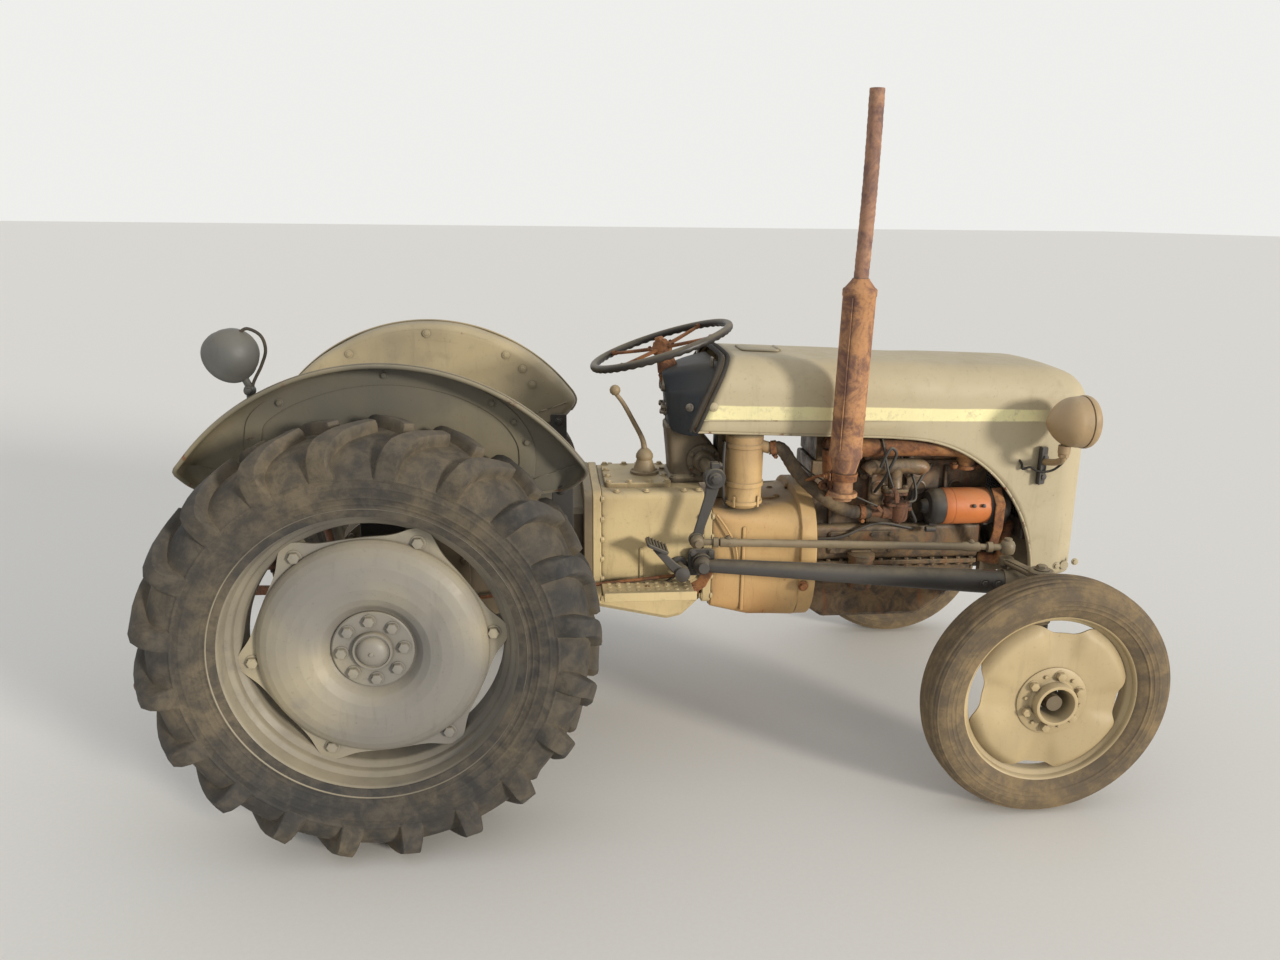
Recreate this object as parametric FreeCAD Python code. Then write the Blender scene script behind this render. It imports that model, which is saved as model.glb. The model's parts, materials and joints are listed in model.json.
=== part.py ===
"""Small grey farm tractor of the nineteen-forties, as separate sub-parts in millimetres.

The frame is +X forward, +Y to the tractor's left and +Z up.  Inside this file X is counted
from the rear axle and Z from the ground; save() moves every piece so that the origin lies
under the middle of the whole tractor.  side is +1 for the left and -1 for the right.
"""
import FreeCAD
import Part

import math
import os

Vector = FreeCAD.Vector

# Wheels and stance
WHEELBASE = 1778.0
AXLE_AHEAD = 207.0
AXLE_X = WHEELBASE + AXLE_AHEAD
TRACK = 1219.0
REAR_TYRE_R = 565.0
REAR_TYRE_HALF_WIDTH = 131.0
REAR_BEAD_R = 355.0
TREAD_LUG_HEIGHT = 30.0
TREAD_LUG_PAIRS = 20
TREAD_R = REAR_TYRE_R - TREAD_LUG_HEIGHT
TREAD_SINK = 7.0
REAR_RIM_FLANGE_R = 380.0
REAR_RIM_HALF_WIDTH = 115.0
FRONT_TYRE_R = 345.0
FRONT_TYRE_HALF_WIDTH = 56.0
FRONT_BEAD_R = 241.0
FRONT_RIM_FLANGE_R = 256.0
FRONT_RIM_HALF_WIDTH = 44.0
RIM_WALL = 8.0
BEAD_CLEARANCE = 0.3

# Rear wheel disc and brake drum, places outward from the tractor's middle plane
REAR_DISC_R = 272.0
REAR_DISC_WALL = 8.0
REAR_DISC_CROWN_Y = TRACK / 2.0 + 90.5
REAR_DISC_HUB_Y = TRACK / 2.0 + 58.5
REAR_DISC_EDGE_Y = TRACK / 2.0 + 42.5
REAR_DISC_HUB_R = 109.0
REAR_LUG_COUNT = 6
REAR_NUT_COUNT = 8
HUB_PITCH_R = 76.0
REAR_CAP_R = 47.0
DRUM_R = 178.0
DRUM_INNER_Y = TRACK / 2.0 - 49.5
BACKPLATE_WALL = 6.0
RUNNING_GAP = 2.0
AXLE_SEAL_R = 46.0

# Front wheel disc and hub
FRONT_DISC_Y = TRACK / 2.0 + 45.5
FRONT_DISC_PROUD = 18.0
FRONT_DISC_WALL = 6.0
FRONT_NOTCH_R = 62.0
FRONT_NOTCH_COUNT = 4
FRONT_NOTCH_START = -6.0
FRONT_HUB_FLANGE_R = 98.0
FRONT_NUT_COUNT = 6
FRONT_HUB_R = 59.0
FRONT_HUB_BORE_R = 44.0
SPINDLE_R = 22.0
SPINDLE_FIT = 0.05

# Drive line
CASE_HALF_WIDTH = 175.0
CASE_REAR_X = -165.0
CASE_JOINT_X = 560.0
CASE_TOP_Z = 760.0
CASE_BOTTOM_Z = 330.0
GEARBOX_FRONT_X = 905.0
GEARBOX_TOP_Z = 812.0
GEARBOX_SHELF_Z = 500.0
GEARBOX_BOTTOM_Z = 392.0
GEARBOX_SHELF_HALF_WIDTH = 150.0
FLANGE_LIP = 14.0
FLANGE_WIDTH = 26.0
TRUMPET_Z = REAR_TYRE_R
TRUMPET_ROOT_R = 106.0
TRUMPET_END_R = 80.0
TRUMPET_END_Y = DRUM_INNER_Y - 15.0
BELL_FRONT_X = 1235.0
BELL_TOP_Z = 752.0
BELL_HALF_WIDTH = 178.0
PTO_R = 14.3
PTO_COLLAR = 14.0
PTO_LENGTH = 95.0
PTO_Z = 520.0

# Engine
ENGINE_TO_AXLE = 185.0
ENGINE_FRONT_X = AXLE_X - ENGINE_TO_AXLE
BLOCK_HALF_WIDTH = 92.0
CRANKCASE_HALF_WIDTH = 124.0
CRANKCASE_TOP_Z = 680.0
BLOCK_BOTTOM_Z = 560.0
BLOCK_TOP_Z = 880.0
HEAD_TOP_Z = 975.0
HEAD_HALF_WIDTH = 95.0
ROCKER_TOP_Z = 1045.0
ROCKER_HALF_WIDTH = 68.0
ROCKER_X = (BELL_FRONT_X + 55.0, ENGINE_FRONT_X - 70.0)
SEAT_GAP = 0.2
SUMP_BOTTOM_Z = 372.0
SUMP_HALF_WIDTH = 118.0
ENGINE_LENGTH = ENGINE_FRONT_X - BELL_FRONT_X
CARBURETTOR_X = BELL_FRONT_X + 0.416 * ENGINE_LENGTH
INTAKE_HALF = 0.159 * ENGINE_LENGTH
DYNAMO_X = (BELL_FRONT_X + 0.632 * ENGINE_LENGTH, ENGINE_FRONT_X + 14.0)
DYNAMO_Z = 748.0
DYNAMO_Y = 152.0
DYNAMO_R = 56.0
FAN_X = ENGINE_FRONT_X + 50.0
FAN_Z = 880.0
FAN_R = 150.0
FAN_BLADES = 4
RADIATOR_X = (ENGINE_FRONT_X + 85.0, ENGINE_FRONT_X + 165.0)
RADIATOR_HALF_WIDTH = 182.0
RADIATOR_Z = (640.0, 1125.0)
MANIFOLD_Y = 170.0
MUFFLER_Y = 300.0
MUFFLER_X = 1271.0
MUFFLER_R = 45.0
MUFFLER_Z = (945.0, 1415.0)
MUFFLER_CONE = 22.0
PIPE_R = 20.0
PIPE_TOP_Z = 1920.0
PIPE_LEAN = 1.0
PIPE_WALL = 2.5
AIR_CLEANER_X = 1012.0
AIR_CLEANER_Y = 150.0
AIR_CLEANER_R = 56.0
AIR_CLEANER_Z = (775.0, 985.0)
HOSE_R = 20.0
HOSE_CLEARANCE = 10.0

# Front axle and steering
KINGPIN_Y = TRACK / 2.0 - 94.5
AXLE_Z = 478.0
AXLE_HEIGHT = 66.0
AXLE_DEPTH = 48.0
AXLE_BEAM_HALF = 215.0
KINGPIN_R = 17.0
BOSS_R = 34.0
BOSS_Z = (520.0, 626.0)
STEER_ARM_Z = 652.0
STEER_ARM_LENGTH = 130.0
STEER_ARM_BACK = 38.0
STUD_GAP = 8.0
LINK_Z = 692.0
LINK_R = 11.0
DROP_PIVOT_X = 905.0
DROP_PIVOT_Z = 878.0
DROP_ARM_Y = 262.0
DROP_BALL_X = 858.0
BALL_R = 21.0
RADIUS_ROD_REAR = (885.0, 225.0, 598.0)
RADIUS_ROD_FRONT = (WHEELBASE - 56.0, KINGPIN_Y - 103.0, 596.0)
RADIUS_ROD_R = (20.0, 34.0)

# Steering column and wheel
WHEEL_CENTRE_X = 776.0
WHEEL_CENTRE_Z = 1222.0
WHEEL_TILT = 17.7
WHEEL_R = 212.0
WHEEL_RIM_R = 11.5
WHEEL_SPOKES = 4
COLUMN_R = 17.0
COLUMN_BOSS_DROP = 92.0
WHEEL_HUB_DROP = 20.0

# Bonnet
BONNET_HALF_WIDTH = 215.0
BONNET_WALL = 3.0
BONNET_REAR_X = (958.0, 862.0)
BONNET_REAR_Z = 1212.0
BONNET_FRONT_Z = 1172.0
BONNET_PAST = 40.0
BONNET_SHOULDER_R = 92.0
BROW_R = 260.0
BROW_TURN = math.radians(20.0)
NOSE_R = 115.0
BONNET_LOW_Z = (1000.0, 980.0)
COWL_TOP_X = AXLE_X + 74.0
COWL_FRONT_X = AXLE_X + 84.0
COWL_BOTTOM_Z = 540.0
ARCH_X = AXLE_X - 514.0
ARCH_Z = 500.0
ARCH_REACH = 445.0
ARCH_RISE = 475.0
BONNET_HINGE_X = AXLE_X + 35.0
BONNET_HINGE_Z = 566.0
HINGE_PIN_R = 8.0
HINGE_TUBE_R = 14.0
GRILLE_HALF_WIDTH = 138.0
GRILLE_Z = (610.0, 1060.0)
GRILLE_BAR = 7.0
GRILLE_BARS = 13

# Lamps
HEADLAMP_X = AXLE_X - 81.0
HEADLAMP_Y = 330.0
HEADLAMP_Z = 1045.0
HEADLAMP_R = 74.0
HEADLAMP_LENGTH = 130.0
WORK_LAMP = (-330.0, -(TRACK / 2.0 - 157.5), 1262.0)
WORK_LAMP_R = 65.0

# Fenders
FENDER_Y = TRACK / 2.0 - 171.5
FENDER_LIP_Y = FENDER_Y + 86.0
FENDER_X = 25.0
FENDER_Z = 627.0
FENDER_R = 613.0
FENDER_FLARE = 2.0
FENDER_CORNER_R = 30.0
FENDER_WALL = 3.0
FENDER_END_X = (-478.0, 540.0)
FENDER_END_REACH = (16.0, 16.0)
FENDER_LOW_Z = 890.0
FENDER_FOOT = ((0.0, 95.0), (14.0, 50.0), (50.0, 15.0), (100.0, 0.0))

# Driver's place
SEAT_X = 205.0
SEAT_Z = 938.0
SEAT_R = 205.0
SEAT_WALL = 4.0
SEAT_DISH = 34.0
FOOTREST_X = (585.0, 850.0)
FOOTREST_Y = (205.0, 345.0)
FOOTREST_Z = 540.0
PEDAL_BEHIND_ROD = 65.0
PEDAL_REACH = 76.0
PEDAL_Y = 255.0
PEDAL_Z = 585.0

# Three-point linkage
LINK_PIVOT_X = 90.0
LINK_PIVOT_Y = 228.0
LINK_PIVOT_Z = 365.0
LINK_BALL_X = -688.0
LINK_BALL_Y = 345.0
LINK_BALL_Z = 332.0
LINK_EYE_R = 27.0
LINK_BORE_R = 11.2
LINK_EYE_LENGTH = 44.0
TOP_LINK_X = -190.0
TOP_LINK_Z = 792.0
TOP_LINK_BORE_R = 9.9
TOP_LINK_WIDTH = 66.0
TOP_LINK_EAR = 14.0
LIFT_SHAFT_X = -50.0
LIFT_SHAFT_Z = 806.0
LIFT_ARM_Y = 236.0
LIFT_ARM_LENGTH = 300.0
LIFT_ARM_DROP = 26.0
LIFT_ROD_LOW_X = -280.0
SIDE_GAP = 6.0

FRONT_REACH = WHEELBASE + FRONT_TYRE_R
REAR_REACH = -LINK_BALL_X + LINK_EYE_R
REAR_AXLE_X = (REAR_REACH - FRONT_REACH) / 2.0


def point(x, y, z):
    return Vector(float(x), float(y), float(z))


def block(x, y, z):
    """Box between two values along each axis, given as pairs."""
    low = [min(pair) for pair in (x, y, z)]
    size = [abs(pair[1] - pair[0]) for pair in (x, y, z)]
    return Part.makeBox(size[0], size[1], size[2], Vector(*low))


def rod(start, end, radius, end_radius=None):
    """Round bar, or a cone where end_radius is given."""
    start = Vector(*start)
    along = Vector(*end) - start
    if end_radius is None or abs(end_radius - radius) < 1e-6:
        return Part.makeCylinder(radius, along.Length, start, along)
    return Part.makeCone(radius, end_radius, along.Length, start, along)


def plate(outline, low, high, across="y"):
    """Flat outline pushed between two values: (x, z) across y, (x, y) across z, (y, z) across x."""
    if across == "y":
        corners = [point(a, low, b) for a, b in outline]
        push = point(0, high - low, 0)
    elif across == "z":
        corners = [point(a, b, low) for a, b in outline]
        push = point(0, 0, high - low)
    else:
        corners = [point(low, a, b) for a, b in outline]
        push = point(high - low, 0, 0)
    face = Part.Face(Part.makePolygon(corners + [corners[0]]))
    return face.extrude(push)


def wire_plate(edges, push):
    """Closed outline of edges pushed along a vector."""
    return Part.Face(Part.Wire(edges)).extrude(push)


def turned(profile, centre_x, centre_z, side):
    """Ring or disc about an axle along Y; the profile has columns (distance out, radius)."""
    corners = [point(centre_x, side * out, centre_z + radius) for out, radius in profile]
    face = Part.Face(Part.makePolygon(corners + [corners[0]]))
    solid = face.revolve(point(centre_x, 0, centre_z), point(0, 1, 0), 360)
    return upright(solid)


def turned_about(profile, origin, axis):
    """Solid of revolution; the profile has columns (distance along the axis, radius)."""
    origin = Vector(*origin)
    axis = Vector(*axis)
    axis.normalize()
    helper = point(0, 1, 0) if abs(axis.y) < 0.9 else point(1, 0, 0)
    out = axis.cross(helper)
    out.normalize()
    corners = [origin + axis * along + out * radius for along, radius in profile]
    face = Part.Face(Part.makePolygon(corners + [corners[0]]))
    return upright(face.revolve(origin, axis, 360))


def upright(solid):
    if solid.Volume < 0:
        solid.reverse()
    return solid


def join(pieces):
    whole = pieces[0]
    if len(pieces) > 1:
        whole = pieces[0].fuse(pieces[1:])
    return whole.removeSplitter()


def spaced(count, start=0.0):
    return [math.radians(start + 360.0 * index / count) for index in range(count)]


def hose(points, radius):
    """Tube along straight runs joined by tangent arcs; prints its arc radii."""
    points = [Vector(*p) for p in points]
    edges = []
    last = points[0]
    radii = []
    for before, corner, after in zip(points, points[1:], points[2:]):
        back = (before - corner)
        ahead = (after - corner)
        turn = math.pi - back.getAngle(ahead)
        reach = 0.45 * min(back.Length, ahead.Length)
        radii.append(round(reach / math.tan(turn / 2.0), 1))
        back.normalize()
        ahead.normalize()
        start = corner + back * reach
        end = corner + ahead * reach
        bisector = back + ahead
        bisector.normalize()
        depth = reach / math.tan(turn / 2.0) * (1.0 / math.cos(turn / 2.0) - 1.0)
        middle = corner + bisector * depth
        if (start - last).Length > 0.01:
            edges.append(Part.LineSegment(last, start).toShape())
        edges.append(Part.Arc(start, middle, end).toShape())
        last = end
    edges.append(Part.LineSegment(last, points[-1]).toShape())
    path = Part.Wire(edges)
    circle = Part.makeCircle(radius, points[0], points[1] - points[0])
    tube = path.makePipeShell([Part.Wire([circle])], True, True)
    print("arc radii", radii, "volume ratio",
          round(tube.Volume / (path.Length * math.pi * radius ** 2), 3))
    return upright(tube)


def save(shape, node):
    shape = shape.copy()
    shape.translate(point(REAR_AXLE_X, 0, 0))
    if not shape.isValid():
        print("not valid:", node)
    shape.exportStep("parts/" + node + ".step")
    box = shape.BoundBox
    print(node, len(shape.Solids), "solids", round(shape.Volume / 1e3), "cm3",
          [round(v) for v in (box.XMin, box.XMax, box.YMin, box.YMax, box.ZMin, box.ZMax)])


# Rear wheels

def tread_lug():
    """Corner points of one lug on the tyre's outer half, as rows from its foot at the middle to the wall."""
    wide = REAR_TYRE_HALF_WIDTH
    # columns: foot (out, radius), top (out, radius), sweep back, foot width, top width
    table = ((-6.0, TREAD_R - TREAD_SINK, -6.0, REAR_TYRE_R, 0.0, 54.0, 42.0),
             (60.0, TREAD_R - 4.0 - TREAD_SINK, 60.0, REAR_TYRE_R - 2.0, 51.0, 62.0, 48.0),
             (wide - 31.0, TREAD_R - 26.0, wide - 14.0, REAR_TYRE_R - 11.0, 90.0, 66.0, 54.0),
             (wide - 14.0, TREAD_R - 50.0, wide, REAR_TYRE_R - 46.0, 104.0, 70.0, 62.0),
             (wide - 8.0, TREAD_R - 82.0, wide - 2.0, TREAD_R - 78.0, 110.0, 72.0, 70.0))
    rows = []
    for foot_out, foot_r, top_out, top_r, sweep, foot_width, top_width in table:
        rows.append([(foot_out, foot_r, sweep - foot_width / 2.0),
                     (foot_out, foot_r, sweep + foot_width / 2.0),
                     (top_out, top_r, sweep + top_width / 2.0),
                     (top_out, top_r, sweep - top_width / 2.0)])
    return rows


def lug_solid(rows, side, half, turn):
    """Closed solid of flat triangles through the rows of a lug, placed on one half of a tyre."""
    middle = TRACK / 2.0
    corners = []
    for row in rows:
        ring = []
        for out, radius, sweep in row:
            angle = turn + sweep / REAR_TYRE_R
            ring.append(point(radius * math.cos(angle), side * (middle + half * out),
                              REAR_TYRE_R + radius * math.sin(angle)))
        corners.append(ring)
    triangles = []
    for near, far in zip(corners, corners[1:]):
        for index in range(4):
            after = (index + 1) % 4
            triangles.append((near[index], far[index], far[after]))
            triangles.append((near[index], far[after], near[after]))
    for ring in (corners[0], corners[-1]):
        triangles.append((ring[0], ring[1], ring[2]))
        triangles.append((ring[0], ring[2], ring[3]))
    faces = [Part.Face(Part.makePolygon([a, b, c, a])) for a, b, c in triangles]
    return upright(Part.makeSolid(Part.makeShell(faces)))


def rear_tyre(side):
    """Casing with two rows of bar lugs that meet the crown's middle in turn and lead forward there."""
    middle = TRACK / 2.0
    seat = REAR_RIM_HALF_WIDTH - RIM_WALL - BEAD_CLEARANCE
    wide = REAR_TYRE_HALF_WIDTH
    half_profile = [(seat, REAR_BEAD_R + BEAD_CLEARANCE), (wide - 16.0, 392.0), (wide - 4.0, 420.0),
                    (wide - 1.0, 455.0),
                    (wide - 10.0, TREAD_R - 41.0), (wide - 33.0, TREAD_R - 16.0), (60.0, TREAD_R - 4.0)]
    profile = [(middle - out, radius) for out, radius in half_profile]
    profile += [(middle + out, radius) for out, radius in reversed(half_profile)]
    casing = turned(profile, 0.0, REAR_TYRE_R, side)
    rows = tread_lug()
    start = -math.pi / 2.0 - rows[0][2][2] / REAR_TYRE_R
    lugs = []
    for half, offset in ((1, 0.0), (-1, 0.5)):
        for number in range(TREAD_LUG_PAIRS):
            turn = start + 2.0 * math.pi * (number + offset) / TREAD_LUG_PAIRS
            lugs.append(lug_solid(rows, side, half, turn))
    return upright(join([casing] + lugs))


def rim_band(middle, half_width, bead_r, flange_r, centre_x, centre_z, side):
    """Steel rim: bead seat with a flange turned up at each edge."""
    inner = half_width - RIM_WALL
    lip = half_width - 2.0
    floor = bead_r - RIM_WALL
    profile = [(middle - lip, flange_r), (middle - inner, bead_r), (middle + inner, bead_r),
               (middle + lip, flange_r), (middle + half_width, floor), (middle - half_width, floor)]
    return turned(profile, centre_x, centre_z, side)


def rear_rim(side):
    middle = TRACK / 2.0
    band = rim_band(middle, REAR_RIM_HALF_WIDTH, REAR_BEAD_R, REAR_RIM_FLANGE_R,
                    0.0, REAR_TYRE_R, side)
    pieces = [band]
    inner = REAR_DISC_EDGE_Y - REAR_DISC_WALL
    for angle in spaced(REAR_LUG_COUNT, 6.0):
        lug = block((REAR_DISC_R - 14.0, REAR_BEAD_R - 4.0), (side * inner, side * (inner - 10.0)),
                    (-30.0, 30.0))
        lug.rotate(point(0, 0, 0), point(0, 1, 0), -math.degrees(angle))
        lug.translate(point(0, 0, REAR_TYRE_R))
        pieces.append(lug)
    return join(pieces)


def rear_disc(side):
    """Dished wheel disc with its ears, hub plate, nuts and cap."""
    edge = REAR_DISC_EDGE_Y
    crown = REAR_DISC_CROWN_Y
    hub = REAR_DISC_HUB_Y
    wall = REAR_DISC_WALL
    outline = [(edge, REAR_DISC_R), (crown - 6.0, REAR_DISC_R - 60.0), (crown, REAR_DISC_R - 105.0),
               (hub, REAR_DISC_HUB_R)]
    profile = outline + [(hub, 0.0)] + [(hub - wall, 0.0)]
    profile += [(out - wall, radius) for out, radius in reversed(outline)]
    pieces = [turned(profile, 0.0, REAR_TYRE_R, side)]
    for angle in spaced(REAR_LUG_COUNT, 6.0):
        ear = block((REAR_DISC_R - 10.0, REAR_DISC_R + 44.0), (side * (edge - wall), side * edge),
                    (-26.0, 26.0))
        bolt = rod((REAR_DISC_R + 22.0, side * (edge - 1.0), 0),
                   (REAR_DISC_R + 22.0, side * (edge + 16.0), 0), 14.0)
        for piece in (ear, bolt):
            piece.rotate(point(0, 0, 0), point(0, 1, 0), -math.degrees(angle))
            piece.translate(point(0, 0, REAR_TYRE_R))
            pieces.append(piece)
    for angle in spaced(REAR_NUT_COUNT):
        x = HUB_PITCH_R * math.cos(angle)
        z = REAR_TYRE_R + HUB_PITCH_R * math.sin(angle)
        pieces.append(rod((x, side * (hub - 1.0), z), (x, side * (hub + 17.0), z), 13.0))
    pieces.append(rod((0, side * (hub - 1.0), REAR_TYRE_R), (0, side * (hub + 24.0), REAR_TYRE_R),
                      REAR_CAP_R, REAR_CAP_R - 8.0))
    return join(pieces)


def brake_drum(side):
    """Drum behind the disc, bolted to it at the hub."""
    face = REAR_DISC_HUB_Y - REAR_DISC_WALL
    profile = [(DRUM_INNER_Y, DRUM_R), (face - 24.0, DRUM_R), (face - 14.0, REAR_DISC_HUB_R),
               (face, REAR_DISC_HUB_R - 6.0), (face, 0.0), (DRUM_INNER_Y, 0.0)]
    return turned(profile, 0.0, REAR_TYRE_R, side)


# Front wheels

def front_tyre(side):
    middle = TRACK / 2.0
    seat = FRONT_RIM_HALF_WIDTH - RIM_WALL - BEAD_CLEARANCE
    wide = FRONT_TYRE_HALF_WIDTH
    profile = [(middle - seat, FRONT_BEAD_R + BEAD_CLEARANCE), (middle - wide, 295.0),
               (middle - wide + 18.0, FRONT_TYRE_R - 8.0), (middle - 20.0, FRONT_TYRE_R),
               (middle + 20.0, FRONT_TYRE_R), (middle + wide - 18.0, FRONT_TYRE_R - 8.0),
               (middle + wide, 295.0), (middle + seat, FRONT_BEAD_R + BEAD_CLEARANCE)]
    return turned(profile, WHEELBASE, FRONT_TYRE_R, side)


def front_wheel(side):
    """Rim with its dished disc, four openings at the edge, hub barrel and wheel nuts."""
    middle = TRACK / 2.0
    face = FRONT_DISC_Y
    wall = FRONT_DISC_WALL
    rim_floor = FRONT_BEAD_R - RIM_WALL
    band = rim_band(middle, FRONT_RIM_HALF_WIDTH, FRONT_BEAD_R, FRONT_RIM_FLANGE_R,
                    WHEELBASE, FRONT_TYRE_R, side)
    outline = [(middle + 14.0, rim_floor + 2.0), (face - 12.0, rim_floor - 34.0),
               (face, rim_floor - 70.0),
               (face, 0.0)]
    profile = outline + [(face - wall, 0.0)]
    profile += [(out - wall, radius) for out, radius in reversed(outline[:-1])]
    disc = turned(profile, WHEELBASE, FRONT_TYRE_R, side)
    for angle in spaced(FRONT_NOTCH_COUNT, FRONT_NOTCH_START):
        reach = rim_floor - 2.0
        x = WHEELBASE + reach * math.cos(angle)
        z = FRONT_TYRE_R + reach * math.sin(angle)
        disc = disc.cut(rod((x, side * (middle - 20.0), z), (x, side * (face + 20.0), z), FRONT_NOTCH_R))
    pieces = [band, disc]
    inner = middle - 34.0
    back = face - wall
    pieces.append(turned([(back + 1.0, FRONT_HUB_FLANGE_R), (back - 12.0, FRONT_HUB_FLANGE_R),
                          (back - 20.0, FRONT_HUB_R), (inner, FRONT_HUB_R), (inner, 0.0),
                          (back + 1.0, 0.0)],
                         WHEELBASE, FRONT_TYRE_R, side))
    pieces.append(rod((WHEELBASE, side * (face - 2.0), FRONT_TYRE_R),
                      (WHEELBASE, side * (face + 26.0), FRONT_TYRE_R), FRONT_HUB_R, FRONT_HUB_R - 4.0))
    for angle in spaced(FRONT_NUT_COUNT, 30.0):
        x = WHEELBASE + HUB_PITCH_R * math.cos(angle)
        z = FRONT_TYRE_R + HUB_PITCH_R * math.sin(angle)
        pieces.append(rod((x, side * (face - 1.0), z), (x, side * (face + 16.0), z), 11.0))
    wheel = join(pieces)
    bore = rod((WHEELBASE, side * (inner - 5.0), FRONT_TYRE_R),
               (WHEELBASE, side * (face + 1.0), FRONT_TYRE_R), SPINDLE_R + SPINDLE_FIT)
    mouth = rod((WHEELBASE, side * (face + 1.0), FRONT_TYRE_R),
                (WHEELBASE, side * (face + 40.0), FRONT_TYRE_R), FRONT_HUB_BORE_R)
    return wheel.cut([bore, mouth])


def knuckle(side):
    """Kingpin with its stub axle below and the steering arm on top, reaching inwards."""
    x = WHEELBASE
    y = side * KINGPIN_Y
    inner_hub = TRACK / 2.0 - 34.0
    pieces = [rod((x, y, FRONT_TYRE_R - 34.0), (x, y, BOSS_Z[0] - 8.0), 30.0),
              rod((x, y, BOSS_Z[0] - 9.0), (x, y, STEER_ARM_Z + 16.0), KINGPIN_R),
              rod((x, y, FRONT_TYRE_R), (x, side * (inner_hub - 3.0), FRONT_TYRE_R), 30.0),
              rod((x, side * (inner_hub - 4.0), FRONT_TYRE_R),
                  (x, side * (FRONT_DISC_Y + 8.0), FRONT_TYRE_R),
                  SPINDLE_R),
              rod((x, y, STEER_ARM_Z - 14.0), (x, y, STEER_ARM_Z + 12.0), 27.0)]
    ball_y = side * (KINGPIN_Y - STEER_ARM_LENGTH)
    ball_x = x - STEER_ARM_BACK
    arm = plate([(x + 4.0, y - side * 4.0), (ball_x + 12.0, ball_y), (ball_x - 12.0, ball_y),
                 (x - 18.0, y + side * 4.0)], STEER_ARM_Z - 9.0, STEER_ARM_Z + 9.0, across="z")
    pieces.append(arm)
    pieces.append(rod((ball_x, ball_y, STEER_ARM_Z - 10.0), (ball_x, ball_y, STEER_ARM_Z + 10.0), 19.0))
    return join(pieces)


# Steering

def drop_arm(side):
    y = side * DROP_ARM_Y
    top = (DROP_PIVOT_X, y, DROP_PIVOT_Z)
    inner = side * (DROP_ARM_Y - 14.0)
    outer = side * (DROP_ARM_Y + 14.0)
    pieces = [rod((DROP_PIVOT_X, inner, DROP_PIVOT_Z), (DROP_PIVOT_X, outer, DROP_PIVOT_Z), 28.0),
              rod(top, (DROP_BALL_X, y, LINK_Z), 15.0, 13.0),
              rod((DROP_BALL_X, y - side * 16.0, LINK_Z), (DROP_BALL_X, y + side * 16.0, LINK_Z), 18.0)]
    return join(pieces)


def drag_link(side):
    """Thin tube from the drop arm's ball to the steering arm's, with a joint at each end."""
    rear = (DROP_BALL_X, side * (DROP_ARM_Y + 16.0 + SIDE_GAP + BALL_R), LINK_Z)
    front = (WHEELBASE - STEER_ARM_BACK, side * (KINGPIN_Y - STEER_ARM_LENGTH), LINK_Z)
    stud_low = STEER_ARM_Z + 10.0 + STUD_GAP
    pieces = [rod(rear, front, LINK_R), Part.makeSphere(BALL_R, Vector(*rear)),
              rod((rear[0], side * (DROP_ARM_Y + 16.0 + BEAD_CLEARANCE), rear[2]), rear, 12.0),
              Part.makeSphere(BALL_R, Vector(*front)),
              rod((front[0], front[1], stud_low), front, 11.0)]
    return join(pieces)


def front_axle():
    """Rocking beam under the front support, with arms swept back to the kingpin bosses."""
    low = AXLE_Z - AXLE_HEIGHT / 2.0
    high = AXLE_Z + AXLE_HEIGHT / 2.0
    half = AXLE_DEPTH / 2.0
    pieces = [block((AXLE_X - half, AXLE_X + half), (-AXLE_BEAM_HALF, AXLE_BEAM_HALF), (low, high)),
              rod((AXLE_X - half - 12.0, 0, AXLE_Z), (AXLE_X + half + 12.0, 0, AXLE_Z), 44.0)]
    for side in (1, -1):
        inner = Part.Wire(Part.makePolygon([point(AXLE_X - half, side * 140.0, low),
                                            point(AXLE_X + half, side * 150.0, low),
                                            point(AXLE_X + half, side * 150.0, high),
                                            point(AXLE_X - half, side * 140.0, high),
                                            point(AXLE_X - half, side * 140.0, low)]))
        end_y = side * (KINGPIN_Y - 8.0)
        outer = Part.Wire(Part.makePolygon([point(WHEELBASE - 20.0, end_y, BOSS_Z[0] + 16.0),
                                            point(WHEELBASE + 22.0, end_y, BOSS_Z[0] + 16.0),
                                            point(WHEELBASE + 22.0, end_y, BOSS_Z[1] - 22.0),
                                            point(WHEELBASE - 20.0, end_y, BOSS_Z[1] - 22.0),
                                            point(WHEELBASE - 20.0, end_y, BOSS_Z[0] + 16.0)]))
        pieces.append(Part.makeLoft([inner, outer], True, True))
        pieces.append(rod((WHEELBASE, side * KINGPIN_Y, BOSS_Z[0]),
                          (WHEELBASE, side * KINGPIN_Y, BOSS_Z[1]), BOSS_R))
        rear = point(RADIUS_ROD_REAR[0], side * RADIUS_ROD_REAR[1], RADIUS_ROD_REAR[2])
        front = point(RADIUS_ROD_FRONT[0], side * RADIUS_ROD_FRONT[1], RADIUS_ROD_FRONT[2])
        along = (front - rear).normalize()
        socket_r = RADIUS_ROD_R[1] + 4.0
        socket = point(WHEELBASE + 38.0, side * (KINGPIN_Y - 82.0), BOSS_Z[1] - 30.0)
        pieces.append(rod(front + along * SEAT_GAP, front + along * 34.0, socket_r))
        pieces.append(rod(front + along * 30.0, socket, socket_r - 2.0))
    axle = join(pieces)
    bores = [rod((WHEELBASE, side * KINGPIN_Y, BOSS_Z[0] - 5.0),
                 (WHEELBASE, side * KINGPIN_Y, BOSS_Z[1] + 5.0),
                 KINGPIN_R + SPINDLE_FIT) for side in (1, -1)]
    return axle.cut(bores)


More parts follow.
